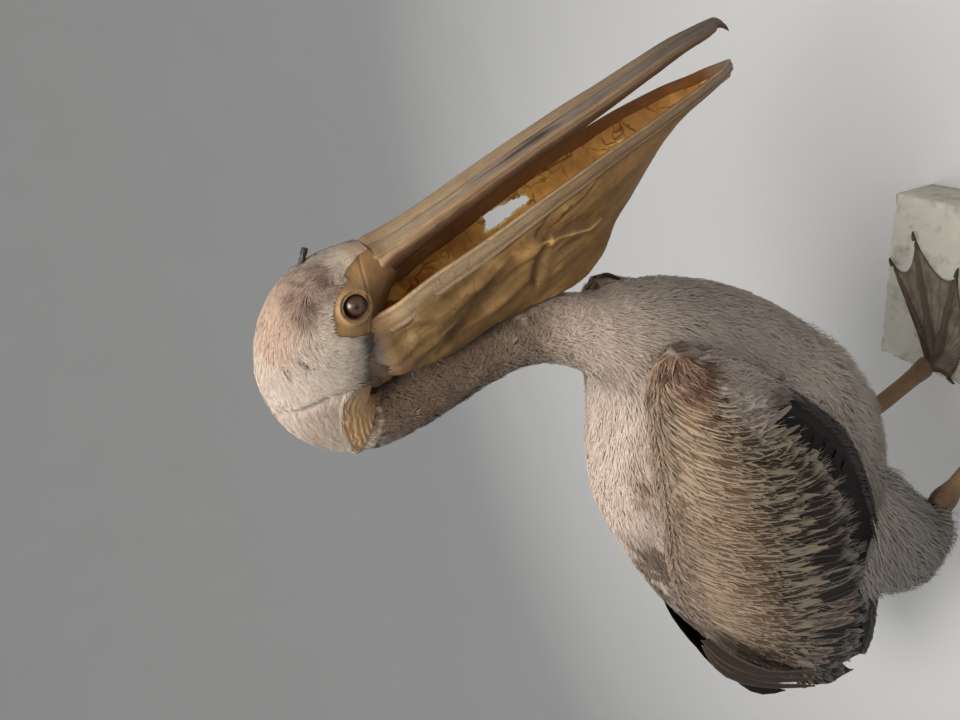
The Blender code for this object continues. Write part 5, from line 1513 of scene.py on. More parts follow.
# short feathers over the rounded front and the upper edge of each wing
for side in ("right", "left"):
    na, nb = 120, 60
    a, b = np.linspace(0.0, 0.99, na), np.linspace(0, 1, nb)
    outer = wing_surface(a[:, None], b[None, :], side, 0.0, 0.0040)
    inner = wing_surface(a[:, None], b[None, :], side, 1.0, 0.0010)
    grid = np.concatenate([outer, inner[:, ::-1]], 1)
    guv = np.stack(np.broadcast_arrays(a[:, None], np.linspace(0.0, 0.12, 2 * nb)[None, :]), -1)
    guv = guv * np.array([0.98, 1]) + np.array([0.01, 0.70 if side == "right" else 0.83])
    p, uv, rr, cc = sample(grid, guv, 0.0024 * thin)
    aa = rr / (na - 1)
    cb = np.where(cc < nb, cc, 2 * nb - 1 - cc) / (nb - 1)
    ok = on_skin(p, 0.0060) & ((aa < 0.13) | ((aa < 0.21) & (cb > 0.40)) | (cb < 0.06) | (cb > 0.93) | (cc > nb))
    p, uv, aa, cb = p[ok], uv[ok], aa[ok], cb[ok]
    fr, co, _ = wing_tones(aa, cb)
    colour = lerp(fr, co, (rng.random(len(p)) ** 1.5)[:, None])
    dark_edge = smooth(0.17, 0.24, aa) * smooth(0.86, 0.92, cb)
    colour = lerp(colour, srgb(46, 40, 37), dark_edge[:, None])
    pinkish = smooth(0.20, 0.10, aa) * smooth(0.42, 0.56, cb)
    colour = lerp(colour, srgb(178, 162, 150) * (0.80 + 0.40 * fbm(p, 60, 71)[:, None]), pinkish[:, None] * 0.9)
    speck = smooth(0.56, 0.66, fbm(p, 110, 73)) * smooth(0.16, 0.04, cb) * smooth(0.25, 0.12, aa)
    colour = lerp(colour, srgb(72, 52, 44), speck[:, None])
    rusty = np.exp(-(((aa - 0.21) / 0.05) ** 2) - (((cb - 0.80) / 0.09) ** 2))
    colour = lerp(colour, srgb(104, 70, 66), rusty[:, None] * 0.8)
    ang = wing_lie(aa, cb)
    lie = np.stack([0 * ang, np.sin(ang), -np.cos(ang)], -1)
    me = tuft_mesh("coat_wing_" + side, p, lie, 0.019 * rng.uniform(0.8, 1.2, len(p)), 0.0015, (0.0026, 0.0042, 0.0046), colour, uv, curl=0.12, bend=0.25, clump=0.006, roll=0.2, seed=500 + (side == "left"))
    piece("coat_wing_" + side, me, COAT)

# ---------------------------------------------------------------- tail
def tail_point(s, x, h):
    """A point of the tail: s from its root to the tip, x across, h over its middle plane."""
    s, x, h = np.broadcast_arrays(s, x, h)
    return turned(TAIL_ROOT + TAIL_AXIS * s[..., None] + np.array([1.0, 0, 0]) * x[..., None] + TAIL_UP * h[..., None])


def tail_pieces():
    r = np.random.default_rng(810)
    n = 16
    place = np.linspace(-1, 1, n)
    order = np.abs(place)
    s = V_S[None, :, None]
    x = V_X[None, None, :]
    end = 0.995 - 0.16 * order**2
    w = 0.0115 * np.minimum(1, 0.5 + 1.4 * s) * (1 - s**6 * 0.98) ** 0.6
    middle = place[:, None, None] * (0.010 + 0.0235 * s)
    run = 0.22 + (end[:, None, None] - 0.22) * s
    h = 0.0030 - 0.0022 * order[:, None, None] + 0.0016 * x * np.sign(-place[:, None, None]) - 0.0012 * x * x - 0.0010 * s
    pts = tail_point(run, middle + w * x, h)
    full = pts.shape[:3]
    fr = srgb(138, 124, 112) * r.uniform(0.8, 1.1, (n, 1))
    co = srgb(82, 69, 60) * r.uniform(0.75, 1.15, (n, 1))
    mm = (run * np.linalg.norm(TAIL_AXIS) - 0.9 * np.abs(x) * w) * 1000
    top = (pts, np.broadcast_to(x, full), np.broadcast_to(s, full), np.broadcast_to(r.random(n)[:, None, None], full), np.broadcast_to(mm, full), np.full(full, 0.66),
           np.broadcast_to(fr[:, None, None], pts.shape), np.broadcast_to(co[:, None, None], pts.shape), row_uv(0, 4, n))
    # shorter feathers over and under the root
    groups = [top]
    for row, (sign, start, stop, hh, m) in enumerate(((1, 0.02, 0.55, 0.012, 13), (-1, 0.02, 0.50, -0.010, 13), (1, -0.10, 0.36, 0.024, 11)), 1):
        place = np.linspace(-1, 1, m)
        middle = place[:, None, None] * (0.027 + 0.004 * s)
        run = start + (stop - start) * s * (1 - 0.12 * np.abs(place)[:, None, None])
        h = (hh * (1 - 0.80 * s) * (1 - 0.3 * place[:, None, None] ** 2)) + sign * 0.0022 * s - sign * 0.0014 * x * x + 0.0012 * x
        w = 0.0085 * np.minimum(1, 0.5 + 1.4 * s) * (1 - s**3 * 0.98) ** 0.6
        pts = tail_point(run, middle + w * x, h)
        full = pts.shape[:3]
        fr = srgb(152, 138, 126) * r.uniform(0.85, 1.1, (m, 1))
        co = srgb(112, 97, 86) * r.uniform(0.8, 1.15, (m, 1))
        mm = (run * 0.21 - 0.9 * np.abs(x) * w) * 1000
        groups.append((pts, np.broadcast_to(x, full), np.broadcast_to(s, full), np.broadcast_to(r.random(m)[:, None, None], full), np.broadcast_to(mm, full), np.full(full, 0.5),
                       np.broadcast_to(fr[:, None, None], pts.shape), np.broadcast_to(co[:, None, None], pts.shape), row_uv(row, 4, m)))
    stack_vanes("feathers_tail", groups, ("tail",))
    sg2 = np.linspace(-0.28, 0.50, 50)
    j = np.arange(72) * 2 * np.pi / 72
    half = []
    root_half = np.array([0, TRUNK[-1][0][0] - TRUNK[-1][1][0], TRUNK[-1][0][1] - TRUNK[-1][1][1]]) / 2
    for v in sg2:
        k = min(1.0, max(v, 0) / 0.35)
        k = k * k * (3 - 2 * k)
        half.append(root_half * 0.80 * (1 - k) + TAIL_UP * 0.0075 * k)
    w = np.interp(sg2, [-0.3, 0, 0.35, 0.55], [0.034, 0.034, 0.032, 0.024])
    grid = turned(TAIL_ROOT + TAIL_AXIS * sg2[:, None, None] + np.array(half)[:, None] * np.cos(j)[None, :, None] + np.array([1.0, 0, 0]) * (w[:, None] * np.sin(j))[..., None])
    guv = np.stack(np.broadcast_arrays(np.linspace(0.01, 0.99, 72)[None, :], np.linspace(0.675, 0.695, 50)[:, None]), -1)
    p, uv, rr, cc = sample(grid, guv, 0.0026 * thin)
    ok = on_skin(p)
    p, uv, rr = p[ok], uv[ok], rr[ok]
    lie = np.broadcast_to(turned(TAIL_ROOT + TAIL_AXIS) - turned(TAIL_ROOT), p.shape)
    me = tuft_mesh("coat_tail", p, lie, 0.026 * rng.uniform(0.8, 1.2, len(p)), 0.0020, (0.0030, 0.0046, 0.0046), marks(p), uv, curl=0.14, bend=0.25, clump=0.0075, roll=0.4, seed=600)
    piece("coat_tail", me, COAT)


tail_pieces()


# ---------------------------------------------------------------- the skin under the wings takes the wings' tones
for side in ("right", "left"):
    q = unturned(skin_co)
    sign = -1 if side == "right" else 1
    shift = WING_SHIFT[side]
    y0_ = q[:, 1] - shift[1]
    a0_ = look(HMAP[1], y0_, q[:, 2] - shift[2])
    z0_ = q[:, 2] - shift[2] - WING_LIFT[side] * a0_ * a0_
    a0_, b0_, o0_ = (look(m, y0_, z0_) for m in (HMAP[1], HMAP[2], HMAP[0]))
    on = (look(HIN.astype(float), y0_, z0_) > 0.3) & (sign * (q[:, 0] - shift[0]) > o0_ - 0.011) & (o0_ > 0.02)
    fr, co, wd = wing_tones(a0_, b0_)
    c = lerp(fr, co, 0.5 + 0.5 * fbm(skin_co, 200, 65)[:, None]) * 0.75
    c = lerp(c, srgb(28, 25, 25), (smooth(0.70, 0.80, b0_) * smooth(0.12, 0.20, a0_))[:, None])
    tint = np.where(on[:, None], c, tint)
layer = skin_me.color_attributes["tint"]
layer.data.foreach_set("color", np.concatenate([np.clip(tint, 0, 1), np.ones((len(tint), 1))], 1).astype(np.float32).ravel())


# ---------------------------------------------------------------- horn and bare skin
def surface_material(name, rough, spec=0.4, coat=0.0, coat_rough=0.2, sss=0.0, fine=900.0, fine_by=0.3, depth=0.0006, streak=0.0, cracks=0.0, patch=0.25, bump_by=0.35, wet=0.0):
    """Painted colour, broken up by noise; streaks follow the grain of the piece."""
    mat, tree, p = new_material(name)
    at = tree.nodes.new("ShaderNodeTexCoord").outputs["Object"]
    c = attribute(tree, "tint")
    small = noise_of(tree, fine, 3.0, at, rough=0.6)
    broad = noise_of(tree, fine * 0.12, 3.0, at, rough=0.55)
    c = blend(tree, "MULTIPLY", 1.0, c, blend(tree, "MIX", broad, (1 - patch,) * 3, (1 + patch,) * 3))
    c = blend(tree, "MULTIPLY", 1.0, c, blend(tree, "MIX", small, (1 - fine_by,) * 3, (1 + fine_by,) * 3))
    relief = maths(tree, "MULTIPLY", small, 0.6)
    if streak:
        grain = attribute(tree, "grain", "Vector")
        s1 = noise_of(tree, 1.0, 4.0, grain, rough=0.62)
        s2 = noise_of(tree, 3.7, 3.0, grain, rough=0.6)
        both = maths(tree, "ADD", maths(tree, "MULTIPLY", s1, 0.6), maths(tree, "MULTIPLY", s2, 0.4))
        c = blend(tree, "MULTIPLY", 1.0, c, blend(tree, "MIX", ramp(tree, both, 0.28, 0.70), (1 - streak, 1 - streak, 1 - streak * 0.92), (1 + streak * 0.8,) * 3))
        dark = ramp(tree, s2, 0.30, 0.40, 1.0, 0.0)
        c = blend(tree, "MULTIPLY", maths(tree, "MULTIPLY", dark, streak), c, (0.45, 0.40, 0.38))
        relief = maths(tree, "ADD", relief, maths(tree, "MULTIPLY", both, 1.6))
    if cracks:
        v = tree.nodes.new("ShaderNodeTexVoronoi")
        v.feature = "DISTANCE_TO_EDGE"
        v.inputs["Scale"].default_value = cracks
        wob = tree.nodes.new("ShaderNodeVectorMath")
        wob.operation = "MULTIPLY_ADD"
        tree.links.new(noise_colour(tree, cracks * 0.9, at), wob.inputs[0])
        wob.inputs[1].default_value = (1.1 / cracks,) * 3
        tree.links.new(at, wob.inputs[2])
        tree.links.new(wob.outputs[0], v.inputs["Vector"])
        line = ramp(tree, v.outputs["Distance"], 0.0, 0.055, 1.0, 0.0)
        line = maths(tree, "MULTIPLY", line, ramp(tree, broad, 0.35, 0.62))
        c = blend(tree, "MULTIPLY", maths(tree, "MULTIPLY", line, attribute(tree, "veins", "Fac")), c, (0.34, 0.26, 0.20))
        relief = maths(tree, "SUBTRACT", relief, maths(tree, "MULTIPLY", line, 0.35))
    tree.links.new(c, p.inputs["Base Color"])
    p.inputs["Roughness"].default_value = rough
    p.inputs["Specular IOR Level"].default_value = spec
    p.inputs["Coat Weight"].default_value = coat
    p.inputs["Coat Roughness"].default_value = coat_rough
    if sss:
        p.inputs["Subsurface Weight"].default_value = sss
        p.inputs["Subsurface Radius"].default_value = (1.0, 0.45, 0.18)
        p.inputs["Subsurface Scale"].default_value = 0.004
    bump(tree, p, relief, bump_by, depth)
    return mat


def noise_colour(tree, scale, at):
    n = tree.nodes.new("ShaderNodeTexNoise")
    n.inputs["Scale"].default_value = scale
    n.inputs["Detail"].default_value = 2.0
    tree.links.new(at, n.inputs["Vector"])
    s = tree.nodes.new("ShaderNodeVectorMath")
    s.operation = "SUBTRACT"
    tree.links.new(n.outputs["Color"], s.inputs[0])
    s.inputs[1].default_value = (0.5, 0.5, 0.5)
    return s.outputs[0]


HORN = surface_material("bill horn", 0.52, 0.30, fine=700, fine_by=0.14, depth=0.0005, streak=0.38, patch=0.16, bump_by=0.55)
JAW = surface_material("jaw horn", 0.56, 0.30, fine=800, fine_by=0.16, depth=0.0005, streak=0.24, cracks=95.0, patch=0.16, bump_by=0.5)
POUCH = surface_material("pouch skin", 0.56, 0.28, coat=0.04, coat_rough=0.45, sss=0.10, fine=620, fine_by=0.16, depth=0.0006, cracks=46.0, patch=0.22, bump_by=0.5)
LEGSKIN = surface_material("leg skin", 0.55, 0.40, fine=900, fine_by=0.26, depth=0.0007, cracks=330.0, patch=0.25, bump_by=0.7)
FOOTSKIN = surface_material("foot skin", 0.62, 0.35, fine=760, fine_by=0.26, depth=0.0007, cracks=300.0, patch=0.28, bump_by=0.7)
CLAWHORN = surface_material("claw horn", 0.38, 0.5, fine=1200, fine_by=0.25, depth=0.0003, patch=0.2)
PLASTER = surface_material("plaster", 0.88, 0.22, fine=420, fine_by=0.10, depth=0.0007, patch=0.10, bump_by=0.5)
CABLE = surface_material("dark wire", 0.45, 0.5, fine=1500, fine_by=0.25, depth=0.0003, patch=0.2)


def rings_piece(name, grid, colours, mat, replaces=(), grain=None, veins=None):
    """A closed piece from rings, with one colour per point of each ring."""
    me = closed_tube(name, grid)
    if volume_sign(me) < 0:
        me = closed_tube(name, grid, False)
    ends = lambda v: np.concatenate([v.reshape(-1, v.shape[-1]), v[0].mean(0)[None], v[-1].mean(0)[None]])
    paint(me, ends(colours))
    if grain is not None:
        note(me, "grain", ends(grain))
    note(me, "veins", ends(np.full(grid.shape[:2] + (1,), 1.0) if veins is None else veins[..., None])[:, 0])
    return piece(name, me, mat, replaces)


# ---------------------------------------------------------------- upper bill
def bill_frame(s):
    y, z = np.moveaxis(curve(CULMEN, s), -1, 0)
    a, b = curve(CULMEN, np.maximum(0, s - 0.02)), curve(CULMEN, np.minimum(1, s + 0.02))
    d = unit(b - a)
    o = np.zeros_like(y)
    up = np.stack([o, d[..., 1], -d[..., 0]], -1)
    up = np.where(up[..., 1:2] > 0, -up, up)
    return np.stack([o, y, z], -1), np.stack([o, d[..., 0], d[..., 1]], -1), up


def upper_bill():
    n, m = 330, 132
    s = np.concatenate([np.linspace(0, 1, n - 26), 1 + np.linspace(0, 1, 27)[1:]])
    ang = np.arange(m) * 2 * np.pi / m
    # more points on the edges of the bill
    ang = ang - 0.22 * np.sin(2 * ang)
    sc = np.minimum(s, 1)
    top, d, up = (v[:, None] for v in bill_frame(sc))
    h, w = along(BILL_H, sc)[:, None], along(BILL_W, sc)[:, None]
    c, x = np.cos(ang)[None], np.sin(ang)[None]
    ridge = np.exp(-((x / 0.40) ** 2))
    y_top = -h * 0.5 + h * (0.24 * c + 0.26 * ridge * c)
    y_low = -h * 0.5 + h * 0.5 * c * (1 - 0.45 * np.exp(-((x / 0.55) ** 2)) * np.minimum(1, sc[:, None] * 4))
    y = np.where(c >= 0, y_top, y_low)
    ax = np.abs(x)
    on_top = smooth(-0.02, 0.10, c)
    p0 = np.stack([x * w, sc[:, None] * 0.4 + 0 * x, y], -1)
    rough = fbm(np.stack([x * 9 + 0 * sc[:, None], sc[:, None] * 5 + 0 * x, 0 * y], -1), 1.0, 61) - 0.5
    fine = fbm(np.stack([x * 34 + 0 * sc[:, None], sc[:, None] * 9 + 0 * x, 0 * y], -1), 1.0, 63) - 0.5
    fade = np.minimum(1, s * 12)[:, None] * (1 - smooth(0.96, 1.02, s)[:, None] * 0.7)
    g1 = 0.335 + 0.05 * np.sin(sc[:, None] * 5)
    relief = -0.0010 * np.exp(-(((ax - g1) / 0.045) ** 2)) * fade  # the groove beside the ridge
    relief = relief - 0.0008 * np.exp(-(((ax - 0.86) / 0.035) ** 2)) * fade  # the groove over the cutting edge
    relief = relief - 0.0006 * np.exp(-(((ax - 0.62) / 0.09) ** 2)) * smooth(0.15, 0.5, s)[:, None]
    relief = relief + 0.0011 * np.exp(-(((ax - 0.985) / 0.025) ** 2)) * fade * (c > -0.25)
    relief = relief * on_top + (0.0009 * rough + 0.00045 * fine) * (0.5 + 0.5 * on_top)
    # transverse lifts where the horn flakes
    relief = relief + 0.0004 * (fbm(p0, 120, 67) - 0.5)
    grid = top + up * (y + relief)[..., None] + np.stack([x * w + np.sign(x) * relief * ax * 0.6, 0 * y, 0 * y], -1)
    # the hooked nail over the tip
    e = np.clip(s - 1, 0, 1)[:, None]
    tip, dt, ut = bill_frame(np.array(1.0))
    mid = tip - ut * 0.004
    shrink = (0.30 * e + 0.62 * e**2)[..., None]
    hook = grid + dt * (NAIL_L * (0.62 * e + 0.36 * np.sin(e * np.pi / 2)))[..., None] - ut * (NAIL_HOOK * (0.10 * e + 0.80 * e**2))[..., None]
    centre = mid + dt * (NAIL_L * (0.62 * e + 0.36 * np.sin(e * np.pi / 2)))[..., None] - ut * (NAIL_HOOK * (0.10 * e + 0.80 * e**2))[..., None]
    grid = np.where((s > 1)[:, None, None], hook + (centre - hook) * shrink, grid)
    # colours
    full = grid.shape[:2]
    S = np.broadcast_to(s[:, None], full)[..., None]
    A = np.broadcast_to(ax, full)[..., None]
    n1 = fbm(np.stack([x * 3 + 0 * sc[:, None], sc[:, None] * 7 + 0 * x, 0 * y], -1), 1.0, 71)[..., None]
    n2 = fbm(np.stack([x * 16 + 0 * sc[:, None], sc[:, None] * 5 + 0 * x, 0 * y], -1), 1.0, 73)[..., None]
    flank, band, crest = srgb(178, 138, 92), srgb(176, 150, 118), srgb(184, 152, 110)
    col = lerp(band, flank, smooth(0.66, 0.84, A + 0.10 * (n1 - 0.5)))
    col = lerp(crest, col, smooth(0.26, 0.40, A + 0.06 * (n1 - 0.5)))
    grey = smooth(0.20, 0.42, S) * smooth(0.34, 0.46, A) * smooth(0.86, 0.70, A)
    col = lerp(col, srgb(150, 132, 116), grey * (0.55 + 0.45 * n1))
    blot = np.exp(-(((S - 0.45) / 0.055) ** 2) - (((A - 0.55) / 0.16) ** 2))
    col = lerp(col, srgb(82, 62, 52), np.clip(blot * (0.2 + 1.5 * smooth(0.42, 0.60, n2)), 0, 1))
    streaks = smooth(0.52, 0.66, n2) * smooth(0.10, 0.35, S) * smooth(0.30, 0.42, A)
    col = lerp(col, srgb(108, 88, 76), streaks * 0.55)
    pale = np.exp(-(((A - 0.30) / 0.05) ** 2)) * smooth(0.16, 0.02, S) + np.exp(-(((A - 0.70) / 0.05) ** 2)) * smooth(0.26, 0.06, S) * 0.8
    col = lerp(col, srgb(214, 184, 146), np.clip(pale, 0, 1) * 0.5)
    base = smooth(0.13, 0.01, S)
    col = lerp(col, srgb(166, 130, 88), base * 0.95)
    col = lerp(col, srgb(122, 106, 94), smooth(0.66, 0.94, S) * 0.72)
    col = lerp(col, srgb(86, 68, 54), smooth(1.15, 1.9, S) * 0.8)
    rim = np.exp(-(((A - 0.97) / 0.035) ** 2)) * on_top[..., None]
    col = lerp(col, srgb(72, 52, 38), np.clip(rim, 0, 1) * 0.75 * smooth(0.05, 0.2, S))
    # painted shade in the grooves beside the ridge and over the cutting edge
    groove_shading = np.exp(-(((A - g1[..., None]) / 0.030) ** 2)) + 0.8 * np.exp(-(((A - 0.86) / 0.025) ** 2))
    col = col * (1 - 0.34 * np.clip(groove_shading, 0, 1) * on_top[..., None])
    below = smooth(0.04, -0.10, c)[..., None] * np.ones_like(S)
    col = lerp(col, srgb(120, 80, 44) * (0.75 + 0.5 * n1), below)
    foot = grid.mean(1, keepdims=True)
    grid = grid + (foot - grid) * (0.07 * smooth(0.035, 0.0, s))[:, None, None]
    # its root swells to lie flush with the skin of the face
    flat = grid[0]
    q, nq, _ = nearest(skin_tree, flat)
    short = np.clip(-((flat - q) * nq).sum(1) - 0.0004, 0, 0.0042) * (np.cos(ang) > -0.25) + 0.0012 * (np.cos(ang) > 0.5)
    short = short * (1 - 0.9 * np.exp(-(((np.abs(np.sin(ang)) - 1) / 0.14) ** 2)))
    for _ in range(3):
        short = (np.roll(short, 1) + 2 * short + np.roll(short, -1)) / 4
    around = unit(grid_normals(grid[:60], True))
    if ((grid[:60] - grid[:60].mean(1, keepdims=True)) * around).sum(-1).mean() < 0:
        around = -around
    grid[:60] += around * (short[None, :] * smooth(0.070, 0.0, s[:60])[:, None])[..., None]
    # painted light on the flanks, which lie in shade, and painted shade on the crest against its sheen
    col = col * (1 + 0.30 * smooth(0.74, 0.86, A) * on_top[..., None]) * (1 - 0.10 * smooth(0.36, 0.24, A))
    grey = col.mean(-1, keepdims=True) * np.array([1.13, 1.0, 0.84])
    col = lerp(col, grey, 0.22) * (0.84 - 0.16 * smooth(0.35, 0.80, S))
    grain = np.stack([x * 26 + 0 * S[..., 0], S[..., 0] * 9, np.where(c >= 0, 0, 4) + 0 * S[..., 0]], -1)
    rings_piece("bill_upper_horn", grid, np.clip(col, 0, 1), HORN, ("bill_upper",), grain)


upper_bill()


# ---------------------------------------------------------------- lower jaw
_d = np.array([0, JAW_TIP[0] - JAW_ROOT[0], JAW_TIP[1] - JAW_ROOT[1]])
JAW_AXIS = _d / np.linalg.norm(_d)
JAW_LENGTH = np.linalg.norm(_d)
JAW_UP = np.array([0, JAW_AXIS[2], -JAW_AXIS[1]])
JAW_UP = -JAW_UP if JAW_UP[1] > 0 else JAW_UP


def root_shift():
    """How far inwards the jaw stands at its root, so that it comes out of the skin of the face."""
    t = np.linspace(-0.04, 0.09, 27)
    x = along(JAW_SPREAD, np.clip(t, 0, 1))
    p = np.stack([-x, JAW_ROOT[0] + (JAW_TIP[0] - JAW_ROOT[0]) * t, JAW_ROOT[1] + (JAW_TIP[1] - JAW_ROOT[1]) * t], -1)
    q, n, _ = nearest(skin_tree, p)
    over = ((p - q) * n).sum(1) + JAW_T / 2 + 0.0012
    print("jaw over the face", np.round(over[::4], 4))
    return t, np.clip(over, 0, 0.012) * smooth(0.075, -0.005, t)


ROOT_T, ROOT_X = root_shift()


def jaw_point(t):
    t = np.asarray(t, float)
    tc = np.clip(t, 0, 1)
    base = np.stack([along(JAW_SPREAD, tc) - np.interp(t, ROOT_T, ROOT_X), JAW_ROOT[0] + (JAW_TIP[0] - JAW_ROOT[0]) * t, JAW_ROOT[1] + (JAW_TIP[1] - JAW_ROOT[1]) * t], -1)
    bow = JAW_BOW * np.sin(np.pi * tc) - 0.0035 * np.exp(-(((tc - 0.13) / 0.10) ** 2)) * smooth(-0.02, 0.05, t)
    return base - JAW_UP * bow[..., None]


FAR_RISE = 0.0045  # the mounted jaw is a little askew


def askew(p, t):
    """The jaw's left side stands a little nearer to the bill."""
    lift = FAR_RISE * smooth(0.0, 0.03, p[..., 0]) * smooth(0.03, 0.2, t) * smooth(0.99, 0.80, t)
    return p + JAW_UP * np.asarray(lift)[..., None]


def lower_jaw():
    half = np.concatenate([np.linspace(-0.030, 0.0, 8)[:-1], np.linspace(0.0, 0.90, 170)[:-1], np.linspace(0.90, 0.992, 36)])
    m = 44
    ang = np.arange(m) * 2 * np.pi / m
    path = jaw_point(half)
    path = np.concatenate([path, jaw_point(np.array(1.0))[None], (path * np.array([-1, 1, 1]))[::-1]])
    t = np.concatenate([half, [1.0], half[::-1]])
    path = askew(path, t)
    # a rounder turn at the tip
    for _ in range(6):
        inner = path[1:-1] * 0.5 + (path[:-2] + path[2:]) * 0.25
        path[1:-1] = np.where((t[1:-1] > 0.93)[:, None], inner, path[1:-1])
    run = unit(np.gradient(path, axis=0))
    out = unit(np.cross(run, JAW_UP))
    flip = np.where((out * (path - np.array([0, 0, 0]) - np.stack([0 * t, path[:, 1], path[:, 2]], -1))).sum(-1) < 0, -1, 1)
    flip = np.where(t > 0.985, np.sign((out * JAW_AXIS).sum(-1)), flip)
    out = out * flip[:, None]
    h = along(JAW_H, np.clip(t, 0, 1))[:, None] / 2
    grow = np.interp(t, [-0.03, -0.022, 0.0, 1], [0.30, 0.72, 1, 1])[:, None]
    h = h * grow
    c, s = np.cos(ang)[None], np.sin(ang)[None]
    power = 0.72
    cu, so = np.sign(c) * np.abs(c) ** power, np.sign(s) * np.abs(s) ** power
    place = np.stack([t[:, None] * 60 + 0 * c, c * 2.2 + 0 * t[:, None], s * 2 + 0 * t[:, None]], -1)
    n1, n2 = fbm(place, 0.25, 81), fbm(place * np.array([0.35, 2.4, 1]), 1.0, 83)
    thick = JAW_T / 2 * (1 + 0.10 * smooth(0.7, 1.0, t)[:, None]) * grow
    bulge = so * thick
    outer = smooth(0.0, 0.4, s)
    # grooves along the outer face and a lip on the upper edge
    bulge = bulge - 0.0011 * np.exp(-(((c + 0.30) / 0.13) ** 2)) * outer * smooth(-0.01, 0.06, t)[:, None]
    bulge = bulge + 0.0007 * np.exp(-(((c - 0.78) / 0.16) ** 2)) * outer
    bulge = bulge - 0.0005 * np.exp(-(((c - 0.42) / 0.07) ** 2)) * outer
    bulge = bulge + (0.0009 * (n1 - 0.5) + 0.0006 * (n2 - 0.5)) * (0.4 + 0.6 * outer)
    rise = cu * h * (1 + 0.03 * (n1 - 0.5))
    grid = path[:, None] + JAW_UP * rise[..., None] + out[:, None] * bulge[..., None]
    T = np.broadcast_to(t[:, None], c.shape[:1] + c.shape[1:] if False else (len(t), m))[..., None]
    C = np.broadcast_to(c, (len(t), m))[..., None]
    O = np.broadcast_to(outer, (len(t), m))[..., None]
    col = lerp(srgb(158, 134, 103), srgb(138, 112, 82), smooth(0.25, 0.60, T))
    col = lerp(col, srgb(138, 118, 98), smooth(0.80, 0.96, T))
    col = col * (0.80 + 0.40 * n1[..., None]) * (0.88 + 0.24 * n2[..., None])
    # painted shade in the groove of the outer face and along the lower edge
    col = lerp(col, srgb(92, 62, 38), np.exp(-(((C + 0.30) / 0.12) ** 2)) * O * (0.35 + 0.45 * smooth(0.3, 0.8, T)))
    col = lerp(col, srgb(92, 66, 42), smooth(-0.60, -0.92, C) * 0.85)
    col = lerp(col, srgb(190, 164, 130), smooth(0.60, 0.90, C) * O * 0.45)
    col = lerp(col, srgb(132, 102, 68), smooth(0.07, 0.02, T) * 0.9)
    inside = lerp(srgb(120, 78, 42), srgb(166, 114, 64), n1[..., None])
    col = lerp(col, inside, (1 - O) * smooth(0.99, 0.93, T))
    grain = np.stack([C[..., 0] * 9 + s * 5, T[..., 0] * 18, 0 * C[..., 0]], -1)
    rings_piece("jaw_horn", grid, np.clip(col, 0, 1), JAW, ("bill_lower",), grain, veins=np.broadcast_to(0.55 * smooth(0.7, 0.2, t)[:, None], (len(t), m)))


lower_jaw()

# ---------------------------------------------------------------- pouch
EDGE = (  # the rear and lower edge of the hanging pouch on one side
    (0.0370, -0.1486, 0.8345), (0.0355, -0.1455, 0.8180), (0.0330, -0.1470, 0.7912), (0.0300, -0.1494, 0.7661), (0.0260, -0.1571, 0.7392), (0.0220, -0.1645, 0.7168),
    (0.0160, -0.1656, 0.6836), (0.0110, -0.1683, 0.6495), (0.0070, -0.1762, 0.6253), (0.0040, -0.1839, 0.6101), (0.0010, -0.1974, 0.5948), (0.0010, -0.2241, 0.5809), (0.0010, -0.2484, 0.5587),
    (0.0010, -0.2968, 0.5167),
)
EDGE_T = (None, None, 0.035, 0.105, 0.175, 0.232, 0.307, 0.385, 0.447, 0.488, 0.534, 0.590, 0.662, 0.800, 0.920, 0.985)
NECK_FRONT = ((0.640, -0.170), (0.682, -0.168), (0.726, -0.158), (0.768, -0.146), (0.808, -0.134), (0.840, -0.127))
RIDGE = ((-0.1928, 0.7935), (-0.1952, 0.7675), (-0.2075, 0.7508), (-0.2162, 0.7196), (-0.2260, 0.6993), (-0.2291, 0.6816), (-0.2305, 0.6679))
HOLLOW = ((-0.1683, 0.7662), (-0.1822, 0.7471), (-0.1965, 0.7299), (-0.2091, 0.7205), (-0.2198, 0.7039))
STEP = ((-0.1975, 0.6770), (-0.2100, 0.6745), (-0.2270, 0.6683))
CREASE = ((-0.2309, 0.6814), (-0.2314, 0.6599), (-0.2310, 0.6421), (-0.2301, 0.6220), (-0.2366, 0.6093))
UNDER = ((-0.2049, 0.8110), (-0.2186, 0.7801), (-0.2315, 0.7527), (-0.2459, 0.7230), (-0.2620, 0.6900))
VEINS = (((-0.2380, 0.6806), (-0.2485, 0.6718), (-0.2594, 0.6648), (-0.2742, 0.6518)), ((-0.2313, 0.6756), (-0.2514, 0.6521), (-0.2584, 0.6436)), ((-0.2514, 0.6521), (-0.2620, 0.6300), (-0.2790, 0.6130)))
LUMPS = ((-0.1984, 0.7725, 0.008, 0.010), (-0.1741, 0.8004, 0.010, 0.007), (-0.2242, 0.7223, 0.007, 0.012), (-0.2663, 0.6641, 0.006, 0.016), (-0.2575, 0.6476, 0.006, 0.010), (-0.2760, 0.6226, 0.007, 0.010), (-0.2150, 0.6830, 0.012, 0.007), (-0.2900, 0.6000, 0.006, 0.012))
TEAR = ((-0.2300, 0.7010), (-0.2414, 0.6985), (-0.2470, 0.7010), (-0.2535, 0.7000), (-0.2515, 0.6910), (-0.2548, 0.6750), (-0.2590, 0.6530), (-0.2525, 0.6490), (-0.2430, 0.6660), (-0.2330, 0.6860))
TORN = ((-0.2470, 0.7010), (-0.2539, 0.7013), (-0.2631, 0.7000), (-0.2690, 0.6880), (-0.2752, 0.6760))
FAR_VEINS = (((-0.2250, 0.7900), (-0.2321, 0.7665), (-0.2375, 0.7399), (-0.2426, 0.7110)), ((-0.2375, 0.7399), (-0.2480, 0.7280), (-0.2560, 0.7100)), ((-0.2600, 0.6900), (-0.2720, 0.6650), (-0.2740, 0.6400), (-0.2860, 0.6050)),
             ((-0.2720, 0.6650), (-0.2880, 0.6450), (-0.3000, 0.6100)), ((-0.2818, 0.6813), (-0.2900, 0.6500), (-0.2930, 0.6300)))
